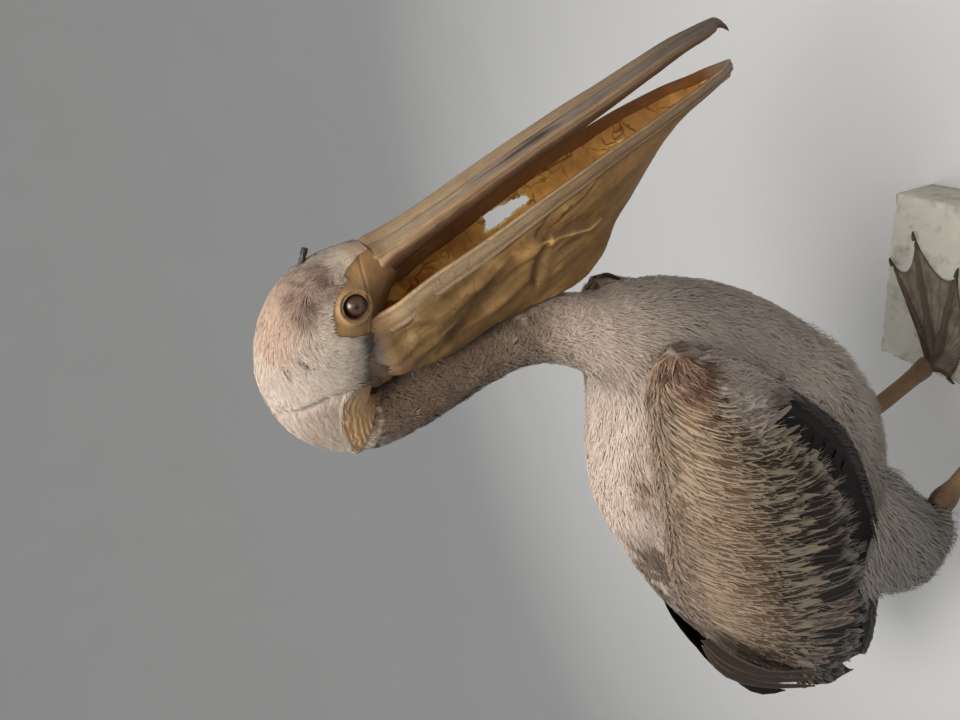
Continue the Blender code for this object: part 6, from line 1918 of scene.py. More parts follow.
FAR_PAINTED_GLOW = ((-0.2874, 0.6622, 0.006, 0.010), (-0.2861, 0.6166, 0.008, 0.010), (-0.2147, 0.7800, 0.008, 0.014), (-0.2420, 0.7250, 0.004, 0.008), (-0.2700, 0.6350, 0.005, 0.012))


def pouch_rings(nv, nu):
    rings = []
    for k, t in enumerate(EDGE_T):
        if t is None:
            top = np.array(((0.0365, -0.1480, 0.8350), (0.0365, -0.1690, 0.8320))[k])
        else:
            top = jaw_point(np.array(t)) - JAW_UP * (along(JAW_H, t) / 2 - 0.0018)
        if k < len(EDGE):
            edge = np.array(EDGE[k])
        else:
            edge = np.array([0.001, *(top[1:] - JAW_UP[1:] * (0.0095, 0.0060)[k - len(EDGE)])])
        front = np.interp(edge[2], *zip(*NECK_FRONT))
        low = edge.copy()
        low[0] = 0
        low[1] = min(edge[1] - 0.0015, front - 0.004) if edge[0] > 0.0015 else edge[1]
        if edge[0] <= 0.0015:
            low = edge * np.array([0, 1, 1])
            edge = low + np.array([0.16, 0, 0]) * (top[0] * 0.3) + (top - low) * np.array([0.18, 0.10, 0.10])
        mid = (top + edge) / 2 + np.array([0.0042 * min(1, np.linalg.norm(top - edge) / 0.03), 0, 0])
        if k == 0:
            mid = (top + edge) / 2
        if t is None:
            tuck = np.array(((0.0270, -0.1500, 0.8500), (0.0280, -0.1700, 0.8470))[k])
        else:
            tuck = jaw_point(np.array(t)) - np.array([0.0012, 0, 0]) + JAW_UP * along(JAW_H, t) * 0.10
        left = np.stack([tuck, top, mid, edge, low])
        far = left * np.array([1.0, 1, 1])
        if t is not None:
            far[:3] = askew(far[:3], t)
        rings.append(np.concatenate([left * np.array([-1, 1, 1]), far[-2::-1]]))
    rings = np.array(rings)  # right side first
    v = np.linspace(0, 1, nv)
    smooth_rings = curve(rings.reshape(len(rings), -1), v).reshape(nv, 9, 3)
    out = np.empty((nv, nu, 3))
    u = np.linspace(0, 1, 241)
    for i in range(nv):
        line = curve(smooth_rings[i], u)
        d = np.concatenate([[0], np.cumsum(np.linalg.norm(np.diff(line, axis=0), axis=1))])
        place = np.linspace(0, d[-1], nu)
        out[i] = np.stack([np.interp(place, d, line[:, k]) for k in range(3)], -1)
    # the top of the pouch runs into the skin of the face
    rows = int((v < 0.26).sum())
    amount, way = np.zeros((rows, nu)), np.zeros((rows, nu, 3))
    for i in range(rows):
        high = np.where(out[i, :, 2] > 0.812)[0]
        if len(high):
            q, n, _ = nearest(skin_tree, out[i, high])
            over = ((out[i, high] - q) * n).sum(1)
            w = smooth(0.818, 0.833, out[i, high, 2]) * smooth(0.24, 0.17, v[i])
            amount[i, high] = np.clip(-0.0016 - over, -0.014, 0) * w
            way[i, high] = n

    def calm(m):
        for _ in range(40):
            m = np.concatenate([m[:1], m, m[-1:]])
            m = (m[:-2] + 2 * m[1:-1] + m[2:]) / 4
            m = np.concatenate([m[:, :1], m, m[:, -1:]], 1)
            m = (m[:, :-2] + 2 * m[:, 1:-1] + m[:, 2:]) / 4
        return m

    amount, way = calm(amount), calm(way)
    out[:rows] += unit(way + 1e-9) * amount[..., None]
    for i in range(rows):
        high = np.where(out[i, :, 2] > 0.812)[0]
        if len(high):
            q, n, _ = nearest(skin_tree, out[i, high])
            over = ((out[i, high] - q) * n).sum(1)
            w = smooth(0.820, 0.831, out[i, high, 2]) * smooth(0.24, 0.17, v[i])
            out[i, high] += n * (np.clip(-0.0016 - over, -0.014, 0) * w)[:, None]
    return out, v


def pouch_relief(p, u):
    """Height of the folds over the plain pouch, on each wall."""
    q = p[..., 1:3]
    g = lambda d, w: np.exp(-((d / w) ** 2))
    run = np.array([-0.46, -0.888])
    along_q = np.stack([q @ run * 0.26, q @ np.array([-0.888, 0.46]), p[..., 0] * 0.4], -1)
    crumple = fbm(along_q, 66, 91) - 0.5
    fine = fbm(along_q, 330, 93) - 0.5
    cross = fbm(np.stack([q @ np.array([-0.3814, -0.9244]), q @ np.array([-0.9244, 0.3814]) * 0.4, p[..., 0]], -1), 110, 95) - 0.5
    near = smooth(0.004, -0.004, p[..., 0])
    d, s = line_distance(q, RIDGE)
    wob = 0.0022 * crumple * 2
    h = 0.0058 * g(d + wob, 0.0078) * (1 - 0.3 * s)
    d, s = line_distance(q, HOLLOW)
    h = h - 0.0078 * g(d + wob, 0.0080)
    d, s = line_distance(q, UNDER)
    h = h - 0.0030 * g(d, 0.0036)
    d, s = line_distance(q, STEP)
    h = h + 0.0014 * g(d - 0.005, 0.0060) - 0.0040 * g(d + 0.0040, 0.0045)
    d, s = line_distance(q, CREASE)
    d = d + 0.0012 * crumple
    h = h + (0.0010 * np.exp(-np.abs(d) / 0.0010) + 0.0012 * g(d, 0.0055) - 0.0030 * g(d + 0.0075, 0.0050) - 0.0010 * g(d - 0.0090, 0.0050)) * smooth(0.0, 0.12, s) * smooth(1.0, 0.85, s)
    for v in VEINS:
        d, s = line_distance(q, v)
        h = h - 0.0012 * g(d, 0.0011)
    for cy, cz, ry, rz in LUMPS:
        h = h + 0.0020 * np.exp(-(((q[..., 0] - cy) / ry) ** 2) - (((q[..., 1] - cz) / rz) ** 2))
    far = -0.0034 * np.abs(crumple) * 2 + 0.0030 * cross
    for v in FAR_VEINS:
        d, s = line_distance(q, v)
        far = far - 0.0022 * g(d, 0.0016) + 0.0012 * g(np.abs(d) - 0.004, 0.002)
    d, s = line_distance(q, TORN)
    far = far - 0.0020 * g(d, 0.0012) * (p[..., 0] > 0)
    fan = np.sin(q @ np.array([-0.9244, 0.3814]) * 2 * np.pi / 0.0105 + 9 * crumple + 2.2 * np.sin(q @ np.array([-0.3814, -0.9244]) * 60))
    high = smooth(0.60, 0.66, q[..., 1])
    h = h * near + far * (1 - near) + 0.0046 * crumple * (0.55 + 0.20 * high) + 0.0004 * fan * high * near + 0.0009 * fine + 0.0016 * cross * (0.3 + 0.7 * high)
    long = fbm(np.stack([q @ run * 0.10, q @ np.array([-0.888, 0.46]), p[..., 0] * 0.4], -1), 120, 111) - 0.5
    h = h + 0.0060 * long * near * smooth(0.62, 0.68, q[..., 1])
    return h * smooth(0.0, 0.05, np.minimum(u, 1 - u))


def pouch_marks(p, inner):
    """The colour of the pouch's skin on its outer or inner face, with painted light and shade on its folds, lumps and
    edges.
    """
    q = p[..., 1:3]
    w = lambda v: np.asarray(v)[..., None]
    g = lambda d, s: np.exp(-((d / s) ** 2))
    n1, n2 = fbm(p, 36, 101)[..., None], fbm(p, 150, 103)[..., None]
    run = fbm(np.stack([q @ np.array([-0.46, -0.888]) * 0.22, q @ np.array([-0.888, 0.46]), p[..., 0] * 0.5], -1), 74, 109)[..., None]
    c = lerp(srgb(124, 94, 58), srgb(176, 144, 100), smooth(0.28, 0.70, 0.3 * n1 + 0.7 * run))
    olive = w(smooth(0.76, 0.81, q[..., 1]))
    c = lerp(c, srgb(150, 124, 84), olive * 0.6)
    down = w(smooth(0.66, 0.60, q[..., 1] + 0.25 * (q[..., 0] + 0.22)))
    c = lerp(c, srgb(140, 108, 70), down * 0.8)
    # painted shade in the hollow
    d, _ = line_distance(q, HOLLOW)
    c = lerp(c, srgb(112, 80, 46), w(g(d - 0.001, 0.0075)) * 0.62)
    # painted light along the ridge
    d, _ = line_distance(q, RIDGE)
    c = lerp(c, srgb(196, 160, 108), w(g(d, 0.0050)) * 0.45)
    # painted highlights on the lumps
    for cy, cz, ry, rz in LUMPS:
        c = lerp(c, srgb(208, 176, 122), w(np.exp(-(((q[..., 0] - cy) / ry) ** 2) - (((q[..., 1] - cz) / rz) ** 2))) * (0.15 + 0.3 * n2))
    # painted shadow under the lower edge of the jaw
    d, _ = line_distance(q, UNDER)
    c = lerp(c, srgb(92, 64, 36), w(g(d + 0.001, 0.0048)) * 0.75)
    # painted shadow under the step, where the upper fold hangs over
    d, _ = line_distance(q, STEP)
    c = lerp(c, srgb(104, 78, 48), w(g(d + 0.006, 0.0065)) * 0.70)
    for v in VEINS:
        d, _ = line_distance(q, v)
        c = lerp(c, srgb(84, 54, 32), w(g(d, 0.0013)) * 0.75)
    # a painted highlight on the crease's ridge and painted shade in the hollow beside it
    d, s = line_distance(q, CREASE)
    c = lerp(c, srgb(226, 196, 150), w(g(d, 0.0009) * smooth(0.0, 0.1, s)) * 0.8)
    c = lerp(c, srgb(110, 80, 50), w(g(d + 0.0055, 0.0030) * smooth(0.0, 0.15, s)) * 0.5)
    root = w(smooth(0.822, 0.838, q[..., 1] + 0.35 * (q[..., 0] + 0.17)))
    c = lerp(c, srgb(138, 108, 76), root * 0.6)
    # inside
    i = lerp(srgb(136, 88, 44), srgb(206, 148, 80), smooth(0.22, 0.78, n1))
    i = lerp(i, srgb(176, 124, 76), w(smooth(0.66, 0.58, q[..., 1])) * 0.6)
    i = lerp(i, srgb(234, 186, 108), smooth(0.58, 0.72, fbm(p * np.array([1, 1.6, 0.7]), 52, 105)[..., None]) * 0.7)
    # painted light: glowing, lit patches on the far wall
    for cy, cz, ry, rz in FAR_PAINTED_GLOW:
        i = lerp(i, srgb(208, 162, 92), w(np.exp(-(((q[..., 0] - cy) / ry) ** 2) - (((q[..., 1] - cz) / rz) ** 2))) * 0.75)
    for v in FAR_VEINS:
        d, _ = line_distance(q, v)
        i = lerp(i, srgb(64, 34, 16), w(g(d, 0.0013)) * 0.85)
    c = np.where(w(inner), i, c)
    hole = region(q, TEAR) - 0.0016
    far = p[..., 0] > 0.004
    c = lerp(c, srgb(236, 216, 172), w(g(hole, 0.0014) * far) * 0.9)
    d, s = line_distance(q, TORN)
    c = lerp(c, srgb(236, 214, 170), w(g(d, 0.0008) * far * smooth(1.0, 0.7, s)) * 0.85)
    # painted shade on the outer face, darker at the top in the shadow of the bill and head and between the folds;
    # painted light on the inner face, brighter as if lit through the skin
    up = w(smooth(0.70, 0.80, q[..., 1]) * (1 - inner))
    fold_shade = w(smooth(0.40, 0.60, fbm(np.stack([q @ np.array([-0.46, -0.888]) * 0.16, q @ np.array([-0.888, 0.46]), p[..., 0] * 0.5], -1), 95, 107)))
    c = c * (0.95 - 0.42 * up + 0.55 * w(inner)) * (1 - 0.28 * fold_shade * (1 - w(inner))) * np.array([1.04, 0.95, 0.76])
    c = c * lerp(np.ones(3), np.array([0.92, 1.14, 1.22]), w(inner))
    # the down of the cheek runs on to its upper edge
    cheek = w(smooth(0.826, 0.834, q[..., 1] + 0.005 * (n2[..., 0] - 0.5)) * smooth(-0.192, -0.184, q[..., 0]))
    c = lerp(c, srgb(112, 84, 56), w(smooth(0.800, 0.816, q[..., 1]) * smooth(-0.166, -0.152, q[..., 0])) * 0.8)
    c = lerp(c, srgb(76, 68, 59) * (0.75 + 0.5 * n2), cheek * 0.92)
    return np.clip(c * (0.84 + 0.32 * n2), 0, 1)


def shell(points, quads, normals, thickness):
    """Both faces of a thin sheet and the strip round its edges."""
    used = np.unique(quads)
    back = np.full(len(points), -1)
    back[used] = np.arange(len(used))
    q = back[quads]
    p, n = points[used], normals[used]
    k = len(p)
    verts = np.concatenate([p + n * thickness / 2, p - n * thickness / 2])
    e = np.concatenate([q[:, [0, 1]], q[:, [1, 2]], q[:, [2, 3]], q[:, [3, 0]]])
    key = np.sort(e, 1)
    _, inv, cnt = np.unique(key, axis=0, return_inverse=True, return_counts=True)
    rim = e[cnt[inv.reshape(-1)] == 1]
    strip = np.stack([rim[:, 1], rim[:, 0], rim[:, 0] + k, rim[:, 1] + k], -1)
    return verts, np.concatenate([q, q[:, ::-1] + k, strip]), used, k


def pouch_piece():
    nv, nu = 264, 166
    g, v = pouch_rings(nv, nu)
    u = np.broadcast_to(np.linspace(0, 1, nu)[None], (nv, nu))
    nrm = grid_normals(g, False)
    out = g - np.stack([0 * g[..., 0], g[..., 1] * 0 - 0.235, g[..., 2] * 0 + 0.72], -1)
    if (nrm[:, : nu // 4] * np.array([-1.0, 0, 0])).sum(-1).mean() < 0:
        nrm = -nrm
    relief = pouch_relief(g, u)
    fade = np.minimum(1, smooth(-0.02, 0.05, v)) * smooth(1.0, 0.80, v)
    relief = relief * smooth(0.836, 0.808, g[..., 2])
    edge_keep = 1 - 0.55 * np.exp(-((np.minimum(np.abs(u - 0.36), np.abs(u - 0.64)) / 0.05) ** 2))
    g = g + nrm * (relief * fade[:, None] * edge_keep)[..., None]
    # nothing of the pouch enters the neck behind it
    front = np.interp(g[..., 2], *zip(*NECK_FRONT)) - 0.0016
    near_neck = np.abs(g[..., 0]) < 0.020
    g[..., 1] = np.where(near_neck & (g[..., 1] > front), front, g[..., 1])
    quads = grid_faces(nv, nu)
    mid = g.reshape(-1, 3)[quads].mean(1)
    rag = 0.0030 * (fbm(mid, 260, 111) - 0.5)
    hole = (mid[:, 0] > 0.010) & (region(mid[:, 1:3], TEAR) + rag - 0.0016 > 0)
    # and nothing stands up behind the cheek
    quads = quads[~(hole | ((mid[:, 1] > -0.1570) & (mid[:, 2] > 0.8290)))]
    verts, faces, used, k = shell(g.reshape(-1, 3), quads, nrm.reshape(-1, 3), 0.0012)
    me = mesh_of("pouch_skin", verts, faces)
    if volume_sign(me) < 0:
        me = mesh_of("pouch_skin", verts, faces[:, ::-1])
    inner = np.arange(2 * k) >= k
    paint(me, pouch_marks(verts, inner))
    note(me, "veins", np.where(inner, 1.0, 0.35) * np.ones(2 * k))
    piece("pouch_skin", me, POUCH, ("pouch",))


pouch_piece()


def throat_piece():
    rows = []
    spec = ((0.0165, 0.0015, 0.046, 0.0300), (-0.03, 0.005, 0.054, 0.0312), (-0.08, 0.008, 0.052, 0.0296), (-0.115, 0.006, 0.040, 0.0240))
    s = np.linspace(0, 1, 60)
    table = curve(np.array(spec), s)
    ang = np.arange(80) * 2 * np.pi / 80
    for t, up_by, down_by, w in table:
        chord = np.array([0, JAW_ROOT[0] + (JAW_TIP[0] - JAW_ROOT[0]) * t, JAW_ROOT[1] + (JAW_TIP[1] - JAW_ROOT[1]) * t])
        a, b = chord + JAW_UP * up_by, chord - JAW_UP * down_by
        rows.append((a + b) / 2 + (a - b) / 2 * np.cos(ang)[:, None] + np.array([1.0, 0, 0]) * (w * np.sign(np.sin(ang)) * np.abs(np.sin(ang)) ** 0.8)[:, None])
    g = np.array(rows)
    # a domed end instead of a flat one
    first = g[0]
    cap = [first + (first.mean(0) - first) * (1 - math.cos(a)) + JAW_AXIS * 0.012 * math.sin(a) for a in np.linspace(math.pi / 2 * 0.96, 0.12, 14)]
    g = np.concatenate([np.array(cap), g])
    n = grid_normals(g)
    n = np.where(((g - g.mean(1, keepdims=True)) * n).sum(-1, keepdims=True) < 0, -n, n)
    g = g + n * (0.0032 * (fbm(g, 110, 121) - 0.5) + 0.0012 * (fbm(g, 340, 123) - 0.5) - 0.0012)[..., None]
    c = lerp(srgb(132, 92, 46), srgb(178, 132, 70), fbm(g, 60, 125)[..., None])
    d = np.abs(fbm(g, 120, 127) - 0.5)[..., None]
    c = lerp(c, srgb(60, 36, 20), smooth(0.035, 0.010, d) * 0.75)
    c = np.asarray(c)
    c = c * 0.62
    c = lerp(c, srgb(94, 82, 68), (smooth(0.812, 0.838, g[..., 2]) * 0.85)[..., None])
    rings_piece("throat_skin", g, np.clip(c, 0, 1), POUCH, ("throat",))


throat_piece()


# ---------------------------------------------------------------- eyes
def eye_material():
    mat, tree, p = new_material("glass eye")
    c = attribute(tree, "tint")
    at = tree.nodes.new("ShaderNodeTexCoord").outputs["Object"]
    c = blend(tree, "MULTIPLY", 1.0, c, blend(tree, "MIX", noise_of(tree, 1400.0, 3.0, at), (0.75,) * 3, (1.25,) * 3))
    tree.links.new(c, p.inputs["Base Color"])
    p.inputs["Roughness"].default_value = 0.36
    p.inputs["Coat Weight"].default_value = 0.7
    p.inputs["Coat Roughness"].default_value = 0.17
    p.inputs["Specular IOR Level"].default_value = 0.35
    return mat


EYE = eye_material()
for side, sign in (("left", 1), ("right", -1)):
    at = np.array([sign * EYE_AT[0], EYE_AT[1], EYE_AT[2]])
    axis = unit(np.array([sign * 1.0, -0.10, 0.0]))
    e1 = unit(np.cross(axis, np.array([0, 0, 1.0])))
    e2 = np.cross(axis, e1)
    polar = np.concatenate([np.linspace(0.0, 0.95, 64)[1:], np.linspace(0.95, np.pi, 40)[1:-1]])
    spin = np.arange(112) * 2 * np.pi / 112
    r = EYE_R + 0.00045 * np.exp(-((polar / 0.50) ** 4))
    g = at + (axis * np.cos(polar)[:, None, None] + (e1 * np.cos(spin)[None, :, None] + e2 * np.sin(spin)[None, :, None]) * np.sin(polar)[:, None, None]) * r[:, None, None]
    rad = (np.sin(polar) * EYE_R)[:, None] * 1000 * np.where(polar > np.pi / 2, 1, 1)[:, None] + np.where(polar > 1.4, 30, 0)[:, None]
    ray_ = fbm(np.stack([np.cos(spin)[None] * 5 + 0 * rad, np.sin(spin)[None] * 5 + 0 * rad, rad * 0.35 + 0 * spin[None]], -1), 1.6, 131)
    iris = lerp(srgb(74, 42, 32), srgb(100, 62, 48), ray_[..., None])
    c = lerp(iris, srgb(50, 30, 24), smooth(5.0, 8.2, rad)[..., None])
    c = lerp(srgb(34, 17, 13), c, smooth(1.7, 2.6, rad)[..., None])
    c = lerp(c, srgb(44, 28, 22), smooth(8.2, 9.6, rad)[..., None])
    rings_piece("eyeball_" + side, g, c, EYE, ("eye_" + side,))

# ---------------------------------------------------------------- the cut end of the wire in the forehead
WIRE_AT, WIRE_TO, WIRE_R = np.array([0.0, -0.238, 0.881]), np.array([0.0, -0.264, 0.871]), 0.0030
s = np.concatenate([np.linspace(0, 1, 46), np.full(5, 1.0)])
shut = np.concatenate([np.ones(46), np.linspace(0.86, 0.15, 5)])
spin = np.arange(40) * 2 * np.pi / 40
axis = unit(WIRE_TO - WIRE_AT)
e1 = np.array([1.0, 0, 0])
e2 = np.cross(axis, e1)
strands = 1 - 0.09 * np.abs(np.sin(3.0 * spin[None, :] + 9.0 * s[:, None]))
r = WIRE_R * 0.96 * shut[:, None] * strands * (1 + 0.05 * np.sin(s * 31))[:, None]
bend = np.array([0, 0.0006, 0.0010]) * np.sin(s * np.pi)[:, None]
g = (WIRE_AT + (WIRE_TO - WIRE_AT) * s[:, None] + bend + axis * (0.0006 * (1 - shut))[:, None])[:, None] + r[..., None] * (e1 * np.cos(spin)[None, :, None] + e2 * np.sin(spin)[None, :, None])
c = np.broadcast_to(srgb(38, 36, 38), g.shape) * (0.6 + 0.8 * fbm(g, 500, 141)[..., None])
c = lerp(c, srgb(116, 108, 98), np.broadcast_to((1 - shut)[:, None, None], g.shape[:2] + (1,)) * 0.8)
rings_piece("wire_stub", g, c, CABLE, ("wire_end",))


# ---------------------------------------------------------------- legs
def leg_piece(side):
    ankle, heel = np.array(LEGS[side][0]), LEGS[side][1]
    foot_at = np.array([heel[0], heel[1], FLOOR + 0.0205 + GAP * 2])
    top = ankle + unit(ankle - foot_at) * 0.012
    axis = unit(top - foot_at)
    fore = unit(np.array([0, 1.0, 0]) - axis * axis[1])
    across = np.cross(axis, fore)
    n, m = 190, 72
    s = np.linspace(0.0, 1.02, n)
    ang = np.arange(m) * 2 * np.pi / m
    stout = 1.16
    mid = foot_at + (top - foot_at) * s[:, None] + fore * (0.004 * np.sin(np.pi * np.minimum(s, 1)))[:, None]
    k = (1.0 + 0.42 * np.exp(-(((s - 0.94) / 0.10) ** 2)) + 0.22 * np.exp(-((s / 0.12) ** 2))) * 0.93 * stout
    c, sn = np.cos(ang)[None], np.sin(ang)[None]
    g = mid[:, None] + fore * (SHANK_D * k[:, None] * c)[..., None] + across * (SHANK_W * k[:, None] * sn)[..., None]
    g[:, :, 2] = np.where(s[:, None] < 0.10, np.maximum(g[:, :, 2], foot_at[2] - 0.004), g[:, :, 2])
    nrm = unit(fore * (c / SHANK_D)[..., None] + across * (sn / SHANK_W)[..., None]) + 0 * g
    length = np.linalg.norm(top - foot_at)
    # overlapping plates down the front, small scales elsewhere
    pl = (s[:, None] * length / 0.0046 + 0.30 * np.abs(sn) * 2 + 0.6 * (fbm(g, 120, 151) - 0.5))
    saw = 1 - np.mod(pl, 1.0)
    front = smooth(-0.25, -0.70, c)
    h = 0.00065 * (saw - 0.5) * front
    cell = np.sin(s[:, None] * length / 0.0021 * 2 * np.pi + 2.0 * np.sin(ang * 7)[None]) * np.sin(ang * 16)[None]
    h = h + 0.00022 * cell * (1 - front)
    # tendons: hollows along both sides
    h = h - 0.0011 * np.exp(-(((c + 0.05) / 0.35) ** 2)) * smooth(0.10, 0.2, s)[:, None] * smooth(0.88, 0.75, s)[:, None]
    folds = np.sin((s[:, None] - 0.94) * length / 0.0030 * 2 * np.pi + 1.5 * c) * np.exp(-(((s[:, None] - 0.94) / 0.07) ** 2))
    h = h + 0.00050 * folds + 0.0010 * (fbm(g, 90, 153) - 0.5)
    g = g + nrm * h[..., None]
    col = lerp(srgb(128, 98, 66), srgb(150, 118, 80), fbm(g, 45, 155)[..., None])
    col = lerp(col, srgb(92, 66, 46), np.clip(np.exp(-(((s - 0.93) / 0.12) ** 2))[:, None, None] * (0.4 + 0.8 * fbm(g, 100, 157)[..., None]), 0, 1))
    col = lerp(col, srgb(112, 94, 74), smooth(0.22, 0.02, s)[:, None, None] * 0.6 + 0 * col[..., :1])
    line = (front * np.exp(-(((saw - 0.02) / 0.10) ** 2)))[..., None]
    col = lerp(col, srgb(70, 50, 34), line * 0.6)
    rings_piece("shank_" + side, g, np.clip(col, 0, 1), LEGSKIN, ("leg_" + side,))


# ---------------------------------------------------------------- feet
TOE_R, WEB_T, CLAW_L = 0.0062, 0.0012, 0.011


def foot_top(x, y, toes, heel):
    """Height of the foot over its sole: web, toes with their knuckles, and the mound under the leg."""
    h = np.full(x.shape, WEB_T)
    on_toe = np.zeros(x.shape)
    seg = np.zeros(x.shape)
    for number, tip in enumerate(toes):
        ax, ay = tip[0] - heel[0], tip[1] - heel[1]
        length = math.hypot(ax, ay)
        s = np.clip(((x - heel[0]) * ax + (y - heel[1]) * ay) / length**2, 0, 1)
        dist = np.hypot(x - heel[0] - ax * s, y - heel[1] - ay * s)
        joints = (0.33, 0.62, 0.84) if number < 3 else (0.6,)
        swell = sum(np.exp(-(((s - j) / 0.035) ** 2)) for j in joints)
        pinch = sum(np.exp(-(((s - j - 0.075) / 0.04) ** 2)) for j in joints)
        r = TOE_R * (1.22 - 0.62 * s) * (1 + 0.16 * swell - 0.07 * pinch)
        prof = np.sqrt(np.maximum(r * r - dist * dist, 0)) * 1.25 * (1 - 0.35 * s) * (1 + 0.20 * swell)
        foot_web = 0.0016 * np.exp(-(((dist - r) / 0.003) ** 2)) * (dist > r)
        # plates across the top of the toe
        plates = 0.00022 * np.sin(s * length / 0.0034 * 2 * np.pi) * (prof > 0.001)
        h = np.maximum(h, WEB_T + prof + plates + foot_web * 0)
        h = np.where(dist > r, np.maximum(h, WEB_T + foot_web), h)
        near = smooth(r * 1.25, r * 0.7, dist)
        seg = np.where(near > on_toe, s * length / 0.0034, seg)
        on_toe = np.maximum(on_toe, near)
    d = np.hypot(x - heel[0], y - heel[1])
    h = np.maximum(h, 0.021 * np.exp(-((d / 0.014) ** 2)))
    return h, on_toe, seg


